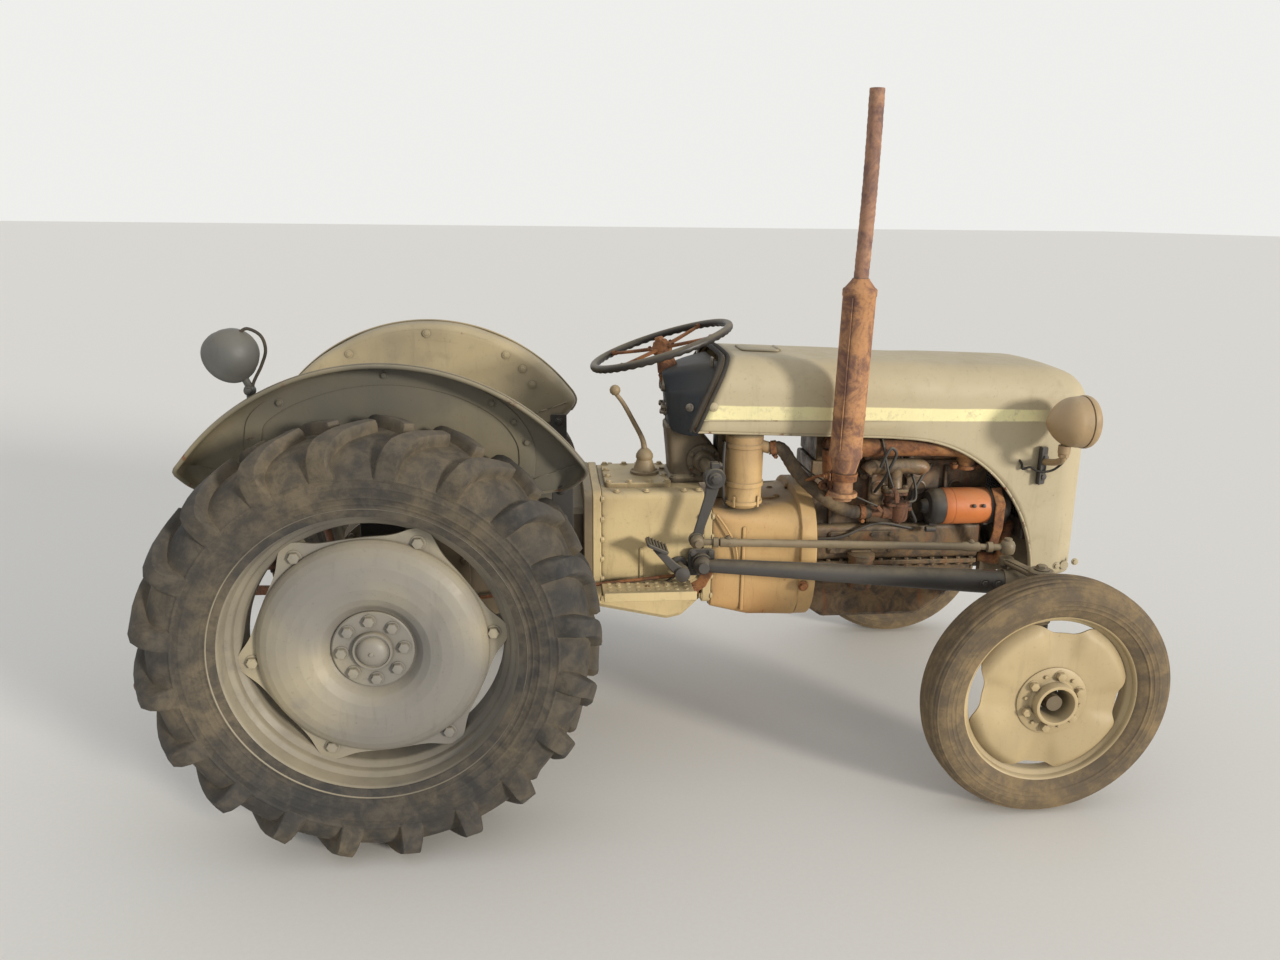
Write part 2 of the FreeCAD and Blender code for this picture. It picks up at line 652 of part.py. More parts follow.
def radius_rods():
    pieces = []
    for side in (1, -1):
        rear = (RADIUS_ROD_REAR[0], side * RADIUS_ROD_REAR[1], RADIUS_ROD_REAR[2])
        front = (RADIUS_ROD_FRONT[0], side * RADIUS_ROD_FRONT[1], RADIUS_ROD_FRONT[2])
        bar = rod(rear, front, RADIUS_ROD_R[0], RADIUS_ROD_R[1])
        anchor = rod((rear[0], side * (BELL_HALF_WIDTH + FLANGE_LIP), rear[2]), rear, 24.0)
        pieces.append(join([bar, anchor, Part.makeSphere(RADIUS_ROD_R[0] + 8.0, Vector(*rear))]))
    return Part.makeCompound(pieces)


def front_support():
    """Casting bolted to the engine's front: carries the axle's pivot, the radiator and the bonnet hinge."""
    top = RADIATOR_Z[0]
    side_outline = [(ENGINE_FRONT_X + SEAT_GAP, 496.0), (ENGINE_FRONT_X + SEAT_GAP, 552.0),
                    (ENGINE_FRONT_X + 46.0, 552.0),
                    (ENGINE_FRONT_X + 56.0, top - SEAT_GAP), (AXLE_X, top - SEAT_GAP), (AXLE_X, 590.0),
                    (AXLE_X, AXLE_Z + AXLE_HEIGHT / 2.0 + 12.0),
                    (ENGINE_FRONT_X + 80.0, AXLE_Z + AXLE_HEIGHT / 2.0 + 12.0)]
    hollow = block((ENGINE_FRONT_X - 5.0, ENGINE_FRONT_X + 50.0), (-80.0, 80.0), (480.0, 700.0))
    body = plate(side_outline, -105.0, 105.0).cut(hollow)
    pieces = [body]
    half = AXLE_DEPTH / 2.0 + 13.0
    for low, high in ((AXLE_X - half - 16.0, AXLE_X - half), (AXLE_X + half, AXLE_X + half + 16.0)):
        pieces.append(block((low, high), (-34.0, 34.0), (AXLE_Z - 30.0, 600.0)))
    pieces.append(rod((AXLE_X - half - 20.0, 0, AXLE_Z), (AXLE_X - half + 1.0, 0, AXLE_Z), 20.0))
    pieces.append(block((AXLE_X - 1.0, BONNET_HINGE_X + HINGE_TUBE_R), (-34.0, 34.0),
                        (BONNET_HINGE_Z - 14.0, 602.0)))
    pieces.append(rod((BONNET_HINGE_X, -190.0, BONNET_HINGE_Z),
                      (BONNET_HINGE_X, 190.0, BONNET_HINGE_Z), HINGE_PIN_R))
    return join(pieces)


def steering_column():
    """Steering box on the gearbox, column up to the wheel and the panel behind the bonnet."""
    lean = math.radians(WHEEL_TILT)
    axis = Vector(-math.sin(lean), 0, math.cos(lean))
    centre = point(WHEEL_CENTRE_X, 0, WHEEL_CENTRE_Z)
    boss_low = centre - axis * COLUMN_BOSS_DROP
    boss_high = centre - axis * (WHEEL_HUB_DROP + BEAD_CLEARANCE)
    foot = centre - axis * 370.0
    pieces = [rod(foot, boss_low, COLUMN_R), rod(boss_low, boss_high, 34.0, 24.0)]
    seat_z = GEARBOX_TOP_Z + SEAT_GAP
    front = GEARBOX_FRONT_X + 0.3
    box_outline = [(802.0, seat_z), (front, seat_z), (front, BELL_TOP_Z + 4.3),
                   (945.0, BELL_TOP_Z + 4.3), (945.0, 905.0),
                   (880.0, 985.0), (800.0, 985.0), (790.0, 900.0)]
    pieces.append(plate(box_outline, -62.0, 62.0))
    rear = Part.Wire(Part.makePolygon([point(800.0, -58.0, 975.0), point(776.0, -46.0, 1150.0),
                                       point(776.0, 46.0, 1150.0),
                                       point(800.0, 58.0, 975.0), point(800.0, -58.0, 975.0)]))
    inset = BONNET_HALF_WIDTH - 16.0
    front = Part.Wire(Part.makePolygon([point(868.0, -inset, 985.0), point(928.0, -inset + 70.0, 1185.0),
                                        point(928.0, inset - 70.0, 1185.0), point(868.0, inset, 985.0),
                                        point(868.0, -inset, 985.0)]))
    pieces.append(Part.makeLoft([rear, front], True, True))
    pieces.append(rod((DROP_PIVOT_X, -(DROP_ARM_Y - 15.0), DROP_PIVOT_Z),
                      (DROP_PIVOT_X, DROP_ARM_Y - 15.0, DROP_PIVOT_Z), 18.0))
    return join(pieces)


def steering_wheel():
    """Rim, hub and spokes about the leaning column."""
    rim = Part.makeTorus(WHEEL_R, WHEEL_RIM_R)
    pieces = [rim, rod((0, 0, -WHEEL_HUB_DROP), (0, 0, 14.0), 32.0, 26.0)]
    for angle in spaced(WHEEL_SPOKES, 45.0):
        pieces.append(rod((18.0 * math.cos(angle), 18.0 * math.sin(angle), -6.0),
                          (WHEEL_R * math.cos(angle), WHEEL_R * math.sin(angle), 0), 6.0))
    wheel = join(pieces)
    wheel.rotate(point(0, 0, 0), point(0, 1, 0), -WHEEL_TILT)
    wheel.translate(point(WHEEL_CENTRE_X, 0, WHEEL_CENTRE_Z))
    return wheel


# Drive line

def gearbox_case():
    """Gearbox with its joint flange, sump shelf and cover plate, and the bell housing ahead of it."""
    body = plate([(CASE_JOINT_X, GEARBOX_SHELF_Z), (CASE_JOINT_X, GEARBOX_TOP_Z),
                  (GEARBOX_FRONT_X, GEARBOX_TOP_Z),
                  (GEARBOX_FRONT_X, GEARBOX_SHELF_Z - 10.0)], -CASE_HALF_WIDTH, CASE_HALF_WIDTH)
    sump = plate([(CASE_JOINT_X, GEARBOX_SHELF_Z + 1.0), (CASE_JOINT_X, GEARBOX_BOTTOM_Z + 52.0),
                  (790.0, GEARBOX_BOTTOM_Z), (835.0, GEARBOX_BOTTOM_Z + 10.0),
                  (GEARBOX_FRONT_X, GEARBOX_SHELF_Z - 30.0),
                  (GEARBOX_FRONT_X, GEARBOX_SHELF_Z + 1.0)],
                 -GEARBOX_SHELF_HALF_WIDTH, GEARBOX_SHELF_HALF_WIDTH)
    flange_y = CASE_HALF_WIDTH + FLANGE_LIP
    pieces = [body, sump,
              block((CASE_JOINT_X, CASE_JOINT_X + FLANGE_WIDTH), (-flange_y, flange_y),
                    (GEARBOX_SHELF_Z - 40.0, GEARBOX_TOP_Z + 8.0)),
              block((600.0, 800.0), (-120.0, 120.0), (GEARBOX_TOP_Z - 9.0, GEARBOX_TOP_Z + 14.0)),
              block((GEARBOX_FRONT_X - 14.0, GEARBOX_FRONT_X + 12.0), (-flange_y, flange_y),
                    (GEARBOX_SHELF_Z - 40.0, BELL_TOP_Z + 4.0))]
    bell = plate([(GEARBOX_FRONT_X - 1.0, 430.0), (GEARBOX_FRONT_X - 1.0, BELL_TOP_Z),
                  (BELL_FRONT_X, BELL_TOP_Z - 4.0),
                  (BELL_FRONT_X, 400.0), (1100.0, 392.0)], -BELL_HALF_WIDTH, BELL_HALF_WIDTH)
    pieces.append(bell)
    pieces.append(rod((1180.0, 0, 585.0), (BELL_FRONT_X, 0, 585.0), 212.0))
    return join(pieces)


def rear_axle_case():
    """Centre housing with the trumpet housings, brake backing plates and the power take-off shaft."""
    body = plate([(CASE_REAR_X, 420.0), (CASE_REAR_X, 700.0), (CASE_REAR_X + 60.0, CASE_TOP_Z),
                  (CASE_JOINT_X, CASE_TOP_Z),
                  (CASE_JOINT_X, GEARBOX_BOTTOM_Z + 52.0), (330.0, 400.0), (150.0, CASE_BOTTOM_Z),
                  (-70.0, CASE_BOTTOM_Z)],
                 -CASE_HALF_WIDTH + 20.0, CASE_HALF_WIDTH - 20.0)
    pieces = [body, block((CASE_JOINT_X - FLANGE_WIDTH, CASE_JOINT_X),
                          (-CASE_HALF_WIDTH - FLANGE_LIP, CASE_HALF_WIDTH + FLANGE_LIP),
                          (GEARBOX_SHELF_Z - 40.0, GEARBOX_TOP_Z + 8.0))]
    for side in (1, -1):
        end = side * (DRUM_INNER_Y - RUNNING_GAP - BACKPLATE_WALL)
        pieces.append(rod((0, side * 100.0, TRUMPET_Z), (0, side * (CASE_HALF_WIDTH + 8.0), TRUMPET_Z),
                          190.0, 170.0))
        pieces.append(rod((0, side * CASE_HALF_WIDTH, TRUMPET_Z), (0, end, TRUMPET_Z), TRUMPET_ROOT_R,
                          TRUMPET_END_R))
        pieces.append(rod((0, end, TRUMPET_Z), (0, side * (DRUM_INNER_Y - RUNNING_GAP), TRUMPET_Z),
                          DRUM_R + 4.0))
        pieces.append(rod((0, end, TRUMPET_Z), (0, side * (DRUM_INNER_Y - BEAD_CLEARANCE), TRUMPET_Z),
                          AXLE_SEAL_R))
        pieces.append(rod((LINK_PIVOT_X, side * 140.0, LINK_PIVOT_Z),
                          (LINK_PIVOT_X, side * (LINK_PIVOT_Y - 22.0), LINK_PIVOT_Z), 30.0))
        pieces.append(rod((LINK_PIVOT_X, side * 141.0, LINK_PIVOT_Z),
                          (LINK_PIVOT_X, side * (LINK_PIVOT_Y + 28.0), LINK_PIVOT_Z), 11.0))
    pieces.append(rod((CASE_REAR_X - PTO_COLLAR, 0, PTO_Z), (CASE_REAR_X + 5.0, 0, PTO_Z), 58.0))
    pieces.append(rod((CASE_REAR_X - PTO_LENGTH, 0, PTO_Z), (CASE_REAR_X, 0, PTO_Z), PTO_R))
    return join(pieces)


def hydraulic_cover():
    """Lift cover on the axle case with the housing of the cross shaft and the top link's bracket."""
    base = CASE_TOP_Z + SEAT_GAP
    outline = [(-140.0, base), (-140.0, 806.0), (-95.0, 848.0), (-5.0, 850.0), (60.0, 812.0),
               (360.0, 812.0),
               (400.0, 784.0), (400.0, base)]
    body = plate(outline, -140.0, 140.0)
    tube = rod((LIFT_SHAFT_X, -(LIFT_ARM_Y - 20.0), LIFT_SHAFT_Z),
               (LIFT_SHAFT_X, LIFT_ARM_Y - 20.0, LIFT_SHAFT_Z), 40.0)
    shaft = rod((LIFT_SHAFT_X, -(LIFT_ARM_Y + 22.0), LIFT_SHAFT_Z),
                (LIFT_SHAFT_X, LIFT_ARM_Y + 22.0, LIFT_SHAFT_Z), 19.0)
    half = TOP_LINK_WIDTH / 2.0
    ears = [block((TOP_LINK_X - 25.0, -120.0), (y, y + TOP_LINK_EAR),
                  (TOP_LINK_Z - 30.0, TOP_LINK_Z + 46.0))
            for y in (-half, half - TOP_LINK_EAR)]
    cover = join([body, tube, shaft] + ears)
    return cover.cut(eye(TOP_LINK_X, 0, TOP_LINK_Z, TOP_LINK_BORE_R, TOP_LINK_WIDTH + 20.0))


# Engine

def engine_block():
    """Cylinder block on its sump, with the cylinder head and the rocker cover."""
    block_body = block((BELL_FRONT_X, ENGINE_FRONT_X), (-BLOCK_HALF_WIDTH, BLOCK_HALF_WIDTH),
                       (BLOCK_BOTTOM_Z, BLOCK_TOP_Z))
    crankcase = block((BELL_FRONT_X, ENGINE_FRONT_X - 20.0),
                      (-CRANKCASE_HALF_WIDTH, CRANKCASE_HALF_WIDTH),
                      (BLOCK_BOTTOM_Z, CRANKCASE_TOP_Z))
    rail_front = ENGINE_FRONT_X - 25.0
    sump = plate([(BELL_FRONT_X, BLOCK_BOTTOM_Z + 1.0), (BELL_FRONT_X, 408.0),
                  (BELL_FRONT_X + 55.0, SUMP_BOTTOM_Z),
                  (ENGINE_FRONT_X - 200.0, SUMP_BOTTOM_Z), (ENGINE_FRONT_X - 80.0, 455.0),
                  (rail_front, 520.0),
                  (rail_front, BLOCK_BOTTOM_Z + 1.0)], -SUMP_HALF_WIDTH, SUMP_HALF_WIDTH)
    head = block((BELL_FRONT_X + 12.0, ENGINE_FRONT_X - 12.0), (-HEAD_HALF_WIDTH, HEAD_HALF_WIDTH),
                 (BLOCK_TOP_Z, HEAD_TOP_Z))
    cover = plate([(-ROCKER_HALF_WIDTH, HEAD_TOP_Z), (-ROCKER_HALF_WIDTH + 6.0, ROCKER_TOP_Z - 22.0),
                   (-ROCKER_HALF_WIDTH + 30.0, ROCKER_TOP_Z), (ROCKER_HALF_WIDTH - 30.0, ROCKER_TOP_Z),
                   (ROCKER_HALF_WIDTH - 6.0, ROCKER_TOP_Z - 22.0), (ROCKER_HALF_WIDTH, HEAD_TOP_Z)],
                  ROCKER_X[0], ROCKER_X[1], across="x")
    rail = block((BELL_FRONT_X, rail_front), (-SUMP_HALF_WIDTH - 16.0, SUMP_HALF_WIDTH + 16.0),
                 (BLOCK_BOTTOM_Z - 8.0, BLOCK_BOTTOM_Z + 6.0))
    return join([block_body, crankcase, sump, head, cover, rail])


def manifold():
    """Exhaust log along the head with its branches, and the intake pipe and carburettor under it."""
    y = -MANIFOLD_Y
    ports = [BELL_FRONT_X + share * ENGINE_LENGTH for share in (0.115, 0.292, 0.504, 0.699)]
    log_end = ports[-1] + 10.0
    carb_x = CARBURETTOR_X
    intake = (carb_x - INTAKE_HALF, carb_x + INTAKE_HALF)
    low_z = 850.0
    pieces = [rod((MUFFLER_X - 9.0, y, 940.0), (log_end, y, 940.0), 31.0)]
    for x in ports:
        pieces.append(rod((x, -HEAD_HALF_WIDTH - SEAT_GAP, 938.0), (x, y, 938.0), 24.0))
    pieces.append(rod((log_end, y, 940.0), (log_end + 50.0, y + 10.0, 880.0), 31.0, 26.0))
    pieces.append(rod((intake[0], y - 4.0, 880.0), (intake[1], y - 4.0, 880.0), 24.0))
    pieces.append(rod((carb_x, y - 4.0, 915.0), (carb_x, y - 14.0, 770.0), 22.0))
    for x in (carb_x - 0.78 * INTAKE_HALF, carb_x + 0.78 * INTAKE_HALF):
        pieces.append(rod((x, -BLOCK_HALF_WIDTH - SEAT_GAP, 863.0), (x, y - 4.0, 863.0), 16.0))
    pieces.append(block((carb_x - 32.0, carb_x + 32.0), (y - 46.0, y + 22.0), (716.0, 800.0)))
    pieces.append(rod((carb_x - 30.0, y - 12.0, 742.0), (carb_x - 70.0, y - 12.0, 742.0), HOSE_R - 3.0))
    pieces.append(rod((MUFFLER_X, y, 925.0), (MUFFLER_X, y, low_z), 26.0))
    pieces.append(rod((MUFFLER_X, y + 8.0, low_z), (MUFFLER_X, -MUFFLER_Y, low_z), 22.0))
    return join(pieces)


def exhaust():
    """Upright silencer with its inlet cone and long tail pipe, open at the top."""
    lean = math.tan(math.radians(PIPE_LEAN))
    base_z = 822.0

    def at(z):
        return (MUFFLER_X + lean * (z - base_z), -MUFFLER_Y, z)
    pieces = [rod(at(base_z), at(MUFFLER_Z[0] - 52.0), 26.0),
              rod(at(MUFFLER_Z[0] - 52.0), at(MUFFLER_Z[0]), 32.0, MUFFLER_R - 3.0),
              rod(at(MUFFLER_Z[0]), at(MUFFLER_Z[1]), MUFFLER_R),
              rod(at(MUFFLER_Z[1]), at(MUFFLER_Z[1] + MUFFLER_CONE), MUFFLER_R - 4.0, PIPE_R + 4.0),
              rod(at(MUFFLER_Z[1] + 10.0), at(PIPE_TOP_Z), PIPE_R)]
    body = join(pieces)
    body = body.cut(rod(at(PIPE_TOP_Z - 200.0), at(PIPE_TOP_Z + 10.0), PIPE_R - PIPE_WALL))
    seat = rod((MUFFLER_X, -MANIFOLD_Y, 850.0), (MUFFLER_X, -MUFFLER_Y, 850.0), 22.0 + BEAD_CLEARANCE)
    return body.cut(seat)


def air_cleaner():
    low = AIR_CLEANER_Z[0]
    high = AIR_CLEANER_Z[1]
    centre = (AIR_CLEANER_X, -AIR_CLEANER_Y)
    pieces = [rod((centre[0], centre[1], low), (centre[0], centre[1], high), AIR_CLEANER_R),
              rod((centre[0], centre[1], low + 62.0), (centre[0], centre[1], low + 78.0),
                  AIR_CLEANER_R + 4.0),
              rod((centre[0], centre[1], low + 1.0), (centre[0], centre[1], low - 14.0),
                  AIR_CLEANER_R - 10.0, 26.0),
              rod((centre[0], centre[1], high - 1.0), (centre[0], centre[1], high + 30.0), 30.0),
              block((centre[0] - 30.0, centre[0] + 30.0), (centre[1], -84.0),
                    (BELL_TOP_Z + SEAT_GAP, low + 24.0))]
    pieces.append(rod((centre[0] + 30.0, centre[1] - 12.0, 948.0),
                      (centre[0] + 72.0, centre[1] - 22.0, 942.0), HOSE_R - 3.0))
    return join(pieces)


def air_hose():
    """Rubber pipe from the air cleaner's outlet, down before the silencer's elbow, to the carburettor."""
    start_x = AIR_CLEANER_X + 72.4
    end_x = CARBURETTOR_X - 72.0
    dip_x = min(start_x + 0.4962 * (end_x - start_x), MUFFLER_X - HOSE_R - HOSE_CLEARANCE)
    # columns: share of the way from the outlet to the dip, y, z
    fall = ((0.0, -172.1, 941.9), (0.2287384, -180.6, 936.9), (0.5372834, -188.0, 868.0),
            (1.0, -191.0, 800.0))
    # columns: share of the way from the dip to the carburettor, y, z
    run = ((0.5188567, -185.0, 749.0), (1.0, -182.0, 742.0))
    return hose([(start_x + share * (dip_x - start_x), y, z) for share, y, z in fall]
                + [(dip_x + share * (end_x - dip_x), y, z) for share, y, z in run], HOSE_R)


def dynamo():
    """Generator hung on the engine's right side, with its bracket and pulley."""
    y = -DYNAMO_Y
    low, high = DYNAMO_X
    pieces = [rod((low, y, DYNAMO_Z), (high, y, DYNAMO_Z), DYNAMO_R),
              rod((low - 24.0, y, DYNAMO_Z), (low + 1.0, y, DYNAMO_Z), 30.0),
              rod((high - 1.0, y, DYNAMO_Z), (high + 26.0, y, DYNAMO_Z), 16.0)]
    for x in (low + 12.0, high - 26.0):
        pieces.append(block((x, x + 14.0), (-BLOCK_HALF_WIDTH - SEAT_GAP, y + 10.0),
                            (CRANKCASE_TOP_Z + SEAT_GAP, DYNAMO_Z - 40.0)))
    return join(pieces)


def fan_and_belt():
    """Water pump, fan, three pulleys and the belt round them."""
    x = ENGINE_FRONT_X
    pulley_x = x + 26.0
    wheels = [(0.0, FAN_Z, 50.0), (0.0, 560.0, 62.0), (-DYNAMO_Y, DYNAMO_Z, 38.0)]
    pieces = []
    for y, z, radius in wheels[:2]:
        pieces.append(rod((x, y, z), (pulley_x + 10.0, y, z), radius * 0.55))
        pieces.append(rod((pulley_x - 9.0, y, z), (pulley_x + 9.0, y, z), radius))
    y, z, radius = wheels[2]
    pieces.append(turned_about([(pulley_x - 9.0, radius), (pulley_x + 9.0, radius),
                                (pulley_x + 9.0, 16.3), (pulley_x - 9.0, 16.3)],
                               (0, y, z), (1, 0, 0)))
    for (ya, za, ra), (yb, zb, rb) in ((wheels[0], wheels[2]), (wheels[2], wheels[1]),
                                       (wheels[1], wheels[0])):
        gap = math.hypot(yb - ya, zb - za)
        out_y = (zb - za) / gap
        out_z = -(yb - ya) / gap
        if out_y * (-60.0 - (ya + yb) / 2.0) + out_z * (760.0 - (za + zb) / 2.0) > 0:
            out_y, out_z = -out_y, -out_z
        outline = [(ya + out_y * (ra - 2.0), za + out_z * (ra - 2.0)),
                   (ya + out_y * (ra + 5.0), za + out_z * (ra + 5.0)),
                   (yb + out_y * (rb + 5.0), zb + out_z * (rb + 5.0)),
                   (yb + out_y * (rb - 2.0), zb + out_z * (rb - 2.0))]
        pieces.append(plate(outline, pulley_x - 6.0, pulley_x + 6.0, across="x"))
    for angle in spaced(FAN_BLADES, 20.0):
        blade = block((FAN_X - 2.0, FAN_X + 2.0), (-38.0, 38.0), (20.0, FAN_R))
        blade.rotate(point(FAN_X, 0, 0), point(0, 0, 1), 28.0)
        blade.rotate(point(FAN_X, 0, 0), point(1, 0, 0), math.degrees(angle))
        blade.translate(point(0, 0, FAN_Z))
        pieces.append(blade)
    pieces.append(rod((pulley_x, 0, FAN_Z), (FAN_X + 10.0, 0, FAN_Z), 34.0))
    return join(pieces)


def radiator():
    """Core between two tanks, standing on the front support, with its hoses to the engine."""
    low, high = RADIATOR_Z
    x = RADIATOR_X
    half = RADIATOR_HALF_WIDTH
    core = block((x[0] + 8.0, x[1] - 8.0), (-half + 8.0, half - 8.0), (low + 59.0, high - 69.0))
    pieces = [core, block(x, (-half, half), (low, low + 60.0)),
              block(x, (-half, half), (high - 70.0, high)),
              rod(((x[0] + x[1]) / 2.0, 0, high - 1.0), ((x[0] + x[1]) / 2.0, 0, high + 22.0), 34.0)]
    for side in (1, -1):
        pieces.append(block((x[0] + 4.0, x[1] - 4.0), (side * (half - 9.0), side * half),
                            (low + 50.0, high - 60.0)))
    hose_x = ENGINE_FRONT_X - 35.0
    hose_z = high - 40.0
    pieces.append(rod((hose_x, 0, HEAD_TOP_Z + SEAT_GAP), (hose_x, 0, hose_z), 24.0))
    pieces.append(Part.makeSphere(24.0, point(hose_x, 0, hose_z)))
    pieces.append(rod((hose_x, 0, hose_z), (x[0] + 5.0, 0, hose_z), 24.0))
    return join(pieces)


def fuel_tank():
    outline = [(-168.0, 1075.0), (-168.0, 1130.0), (-110.0, 1172.0), (110.0, 1172.0), (168.0, 1130.0),
               (168.0, 1075.0),
               (110.0, 1052.0), (-110.0, 1052.0)]
    tank = plate(outline, 935.0, 1330.0, across="x")
    feet = [block((x, x + 28.0), (-40.0, 40.0), (z + SEAT_GAP, 1053.0))
            for x, z in ((BELL_FRONT_X + 18.0, HEAD_TOP_Z), (950.0, BELL_TOP_Z))]
    return join([tank] + feet)


# Bonnet

def bend(at, heading, radius, turn):
    """Arc in the plane y = 0 that starts at a point in a heading and turns down; returns it with its end."""
    middle_heading = heading - turn / 2.0
    end_heading = heading - turn
    chord = 2.0 * radius * math.sin(turn / 2.0)
    half_chord = 2.0 * radius * math.sin(turn / 4.0)
    first = heading - turn / 4.0
    middle = at + point(math.cos(first), 0, math.sin(first)) * half_chord
    end = at + point(math.cos(middle_heading), 0, math.sin(middle_heading)) * chord
    return Part.Arc(at, middle, end).toShape(), end, end_heading


def bonnet_form(inset):
    """Side view pushed across and rounded along its edges; every face lies inset further in."""
    past = BONNET_PAST if inset else 0.0
    low = COWL_BOTTOM_Z - past
    back_top = BONNET_REAR_X[0] - past
    back_low = BONNET_REAR_X[1] - past
    slope = math.atan2(BONNET_FRONT_Z - BONNET_REAR_Z, COWL_TOP_X - BONNET_REAR_X[0])
    lean = math.atan2(COWL_BOTTOM_Z - BONNET_FRONT_Z, COWL_FRONT_X - COWL_TOP_X)
    turn = slope - lean - BROW_TURN
    brow = BROW_R - inset
    nose = NOSE_R - inset
    reach_x = 0.0
    reach_z = 0.0
    heading = slope
    for radius, part_turn in ((brow, BROW_TURN), (nose, turn)):
        chord = 2.0 * radius * math.sin(part_turn / 2.0)
        reach_x += chord * math.cos(heading - part_turn / 2.0)
        reach_z += chord * math.sin(heading - part_turn / 2.0)
        heading -= part_turn
    front_x = COWL_TOP_X - inset / math.cos(lean + math.pi / 2.0)
    rear_z = BONNET_REAR_Z - inset / math.cos(slope)
    along = (front_x - BONNET_REAR_X[0] - reach_x
             + (rear_z + reach_z - BONNET_FRONT_Z) / math.tan(lean))
    along /= 1.0 - math.tan(slope) / math.tan(lean)
    start = point(back_top, 0, rear_z - past * math.tan(slope))
    shoulder = point(BONNET_REAR_X[0] + along, 0, rear_z + along * math.tan(slope))
    first, crest, heading = bend(shoulder, slope, brow, BROW_TURN)
    second, tip, heading = bend(crest, heading, nose, turn)
    foot = point(tip.x + (low - tip.z) / math.tan(lean), 0, low)
    outline = [Part.LineSegment(start, shoulder).toShape(), first, second,
               Part.LineSegment(tip, foot).toShape(),
               Part.LineSegment(foot, point(back_low, 0, low)).toShape(),
               Part.LineSegment(point(back_low, 0, low), point(back_low, 0, BONNET_LOW_Z[0])).toShape(),
               Part.LineSegment(point(back_low, 0, BONNET_LOW_Z[0]), start).toShape()]
    half = BONNET_HALF_WIDTH - inset
    solid = wire_plate(outline, point(0, 2.0 * half, 0))
    solid.translate(point(0, -half, 0))
    rounded = []
    for edge in solid.Edges:
        middle = edge.valueAt((edge.FirstParameter + edge.LastParameter) / 2.0)
        ends = [vertex.Point for vertex in edge.Vertexes]
        outside = all(abs(abs(end.y) - half) < 0.01 for end in ends) and abs(abs(middle.y) - half) < 0.01
        above = middle.z > low + 1.0 and middle.x > back_top + 1.0
        if outside and above:
            rounded.append(edge)
    return upright(solid.makeFillet(BONNET_SHOULDER_R - inset, rounded))


def bonnet():
    """Thin shell with the side arches, the grille opening and the hinge tubes at its foot."""
    shell = bonnet_form(0.0).cut(bonnet_form(BONNET_WALL))
    wide = 2.4 * BONNET_HALF_WIDTH
    ellipse = Part.Ellipse(point(ARCH_X, -wide / 2.0, ARCH_Z + ARCH_RISE),
                           point(ARCH_X + ARCH_REACH, -wide / 2.0, ARCH_Z),
                           point(ARCH_X, -wide / 2.0, ARCH_Z))
    arch = wire_plate([ellipse.toShape()], point(0, wide, 0))
    skirt = plate([(700.0, 300.0), (700.0, BONNET_LOW_Z[0]), (BONNET_REAR_X[1], BONNET_LOW_Z[0]),
                   (ARCH_X, BONNET_LOW_Z[1] - 5.0), (ARCH_X, 300.0)], -wide / 2.0, wide / 2.0)
    below = plate([(ARCH_X - 1.0, 300.0), (ARCH_X - 1.0, ARCH_Z + 1.0),
                   (ARCH_X + ARCH_REACH, ARCH_Z + 1.0),
                   (ARCH_X + ARCH_REACH, 300.0)], -wide / 2.0, wide / 2.0)
    mouth = block((2000.0, COWL_TOP_X + 30.0), (-GRILLE_HALF_WIDTH, GRILLE_HALF_WIDTH), GRILLE_Z)
    notch = block((2000.0, COWL_TOP_X + 30.0), (-56.0, 56.0), (COWL_BOTTOM_Z - 50.0, GRILLE_Z[0] + 1.0))
    shell = shell.cut([arch, skirt, below, mouth, notch])
    pieces = [shell]
    for side in (1, -1):
        inner = side * 38.0
        outer = side * (BONNET_HALF_WIDTH - 1.0)
        pieces.append(rod((BONNET_HINGE_X, inner, BONNET_HINGE_Z),
                          (BONNET_HINGE_X, outer, BONNET_HINGE_Z), HINGE_TUBE_R))
        pieces.append(block((BONNET_HINGE_X, COWL_FRONT_X - 2.0), (side * 60.0, side * 72.0),
                            (BONNET_HINGE_Z - 8.0, BONNET_HINGE_Z + 8.0)))
    whole = join(pieces)
    return whole.cut(rod((BONNET_HINGE_X, -200.0, BONNET_HINGE_Z),
                         (BONNET_HINGE_X, 200.0, BONNET_HINGE_Z), HINGE_PIN_R + SPINDLE_FIT))


def grille():
    """Upright bars in a frame, filling the opening in the bonnet's front."""
    low = GRILLE_Z[0] + BEAD_CLEARANCE
    high = GRILLE_Z[1] - BEAD_CLEARANCE
    half = GRILLE_HALF_WIDTH - BEAD_CLEARANCE

    def front(z):
        share = (z - COWL_BOTTOM_Z) / (BONNET_FRONT_Z - COWL_BOTTOM_Z)
        return COWL_FRONT_X + (COWL_TOP_X - COWL_FRONT_X) * share - 4.0
    depth = 16.0

    def bar(y0, y1, z0, z1):
        return plate([(front(z0) - depth, z0), (front(z0), z0), (front(z1), z1),
                      (front(z1) - depth, z1)], y0, y1)
    pieces = [bar(-half, half, low, low + 12.0), bar(-half, half, high - 12.0, high)]
    pitch = 2.0 * (half - 6.0) / (GRILLE_BARS - 1)
    for index in range(GRILLE_BARS):
        y = -half + 6.0 + index * pitch
        wide = 12.0 if index in (0, GRILLE_BARS - 1, (GRILLE_BARS - 1) // 2) else GRILLE_BAR
        pieces.append(bar(y - wide / 2.0, y + wide / 2.0, low, high))
    return join(pieces)


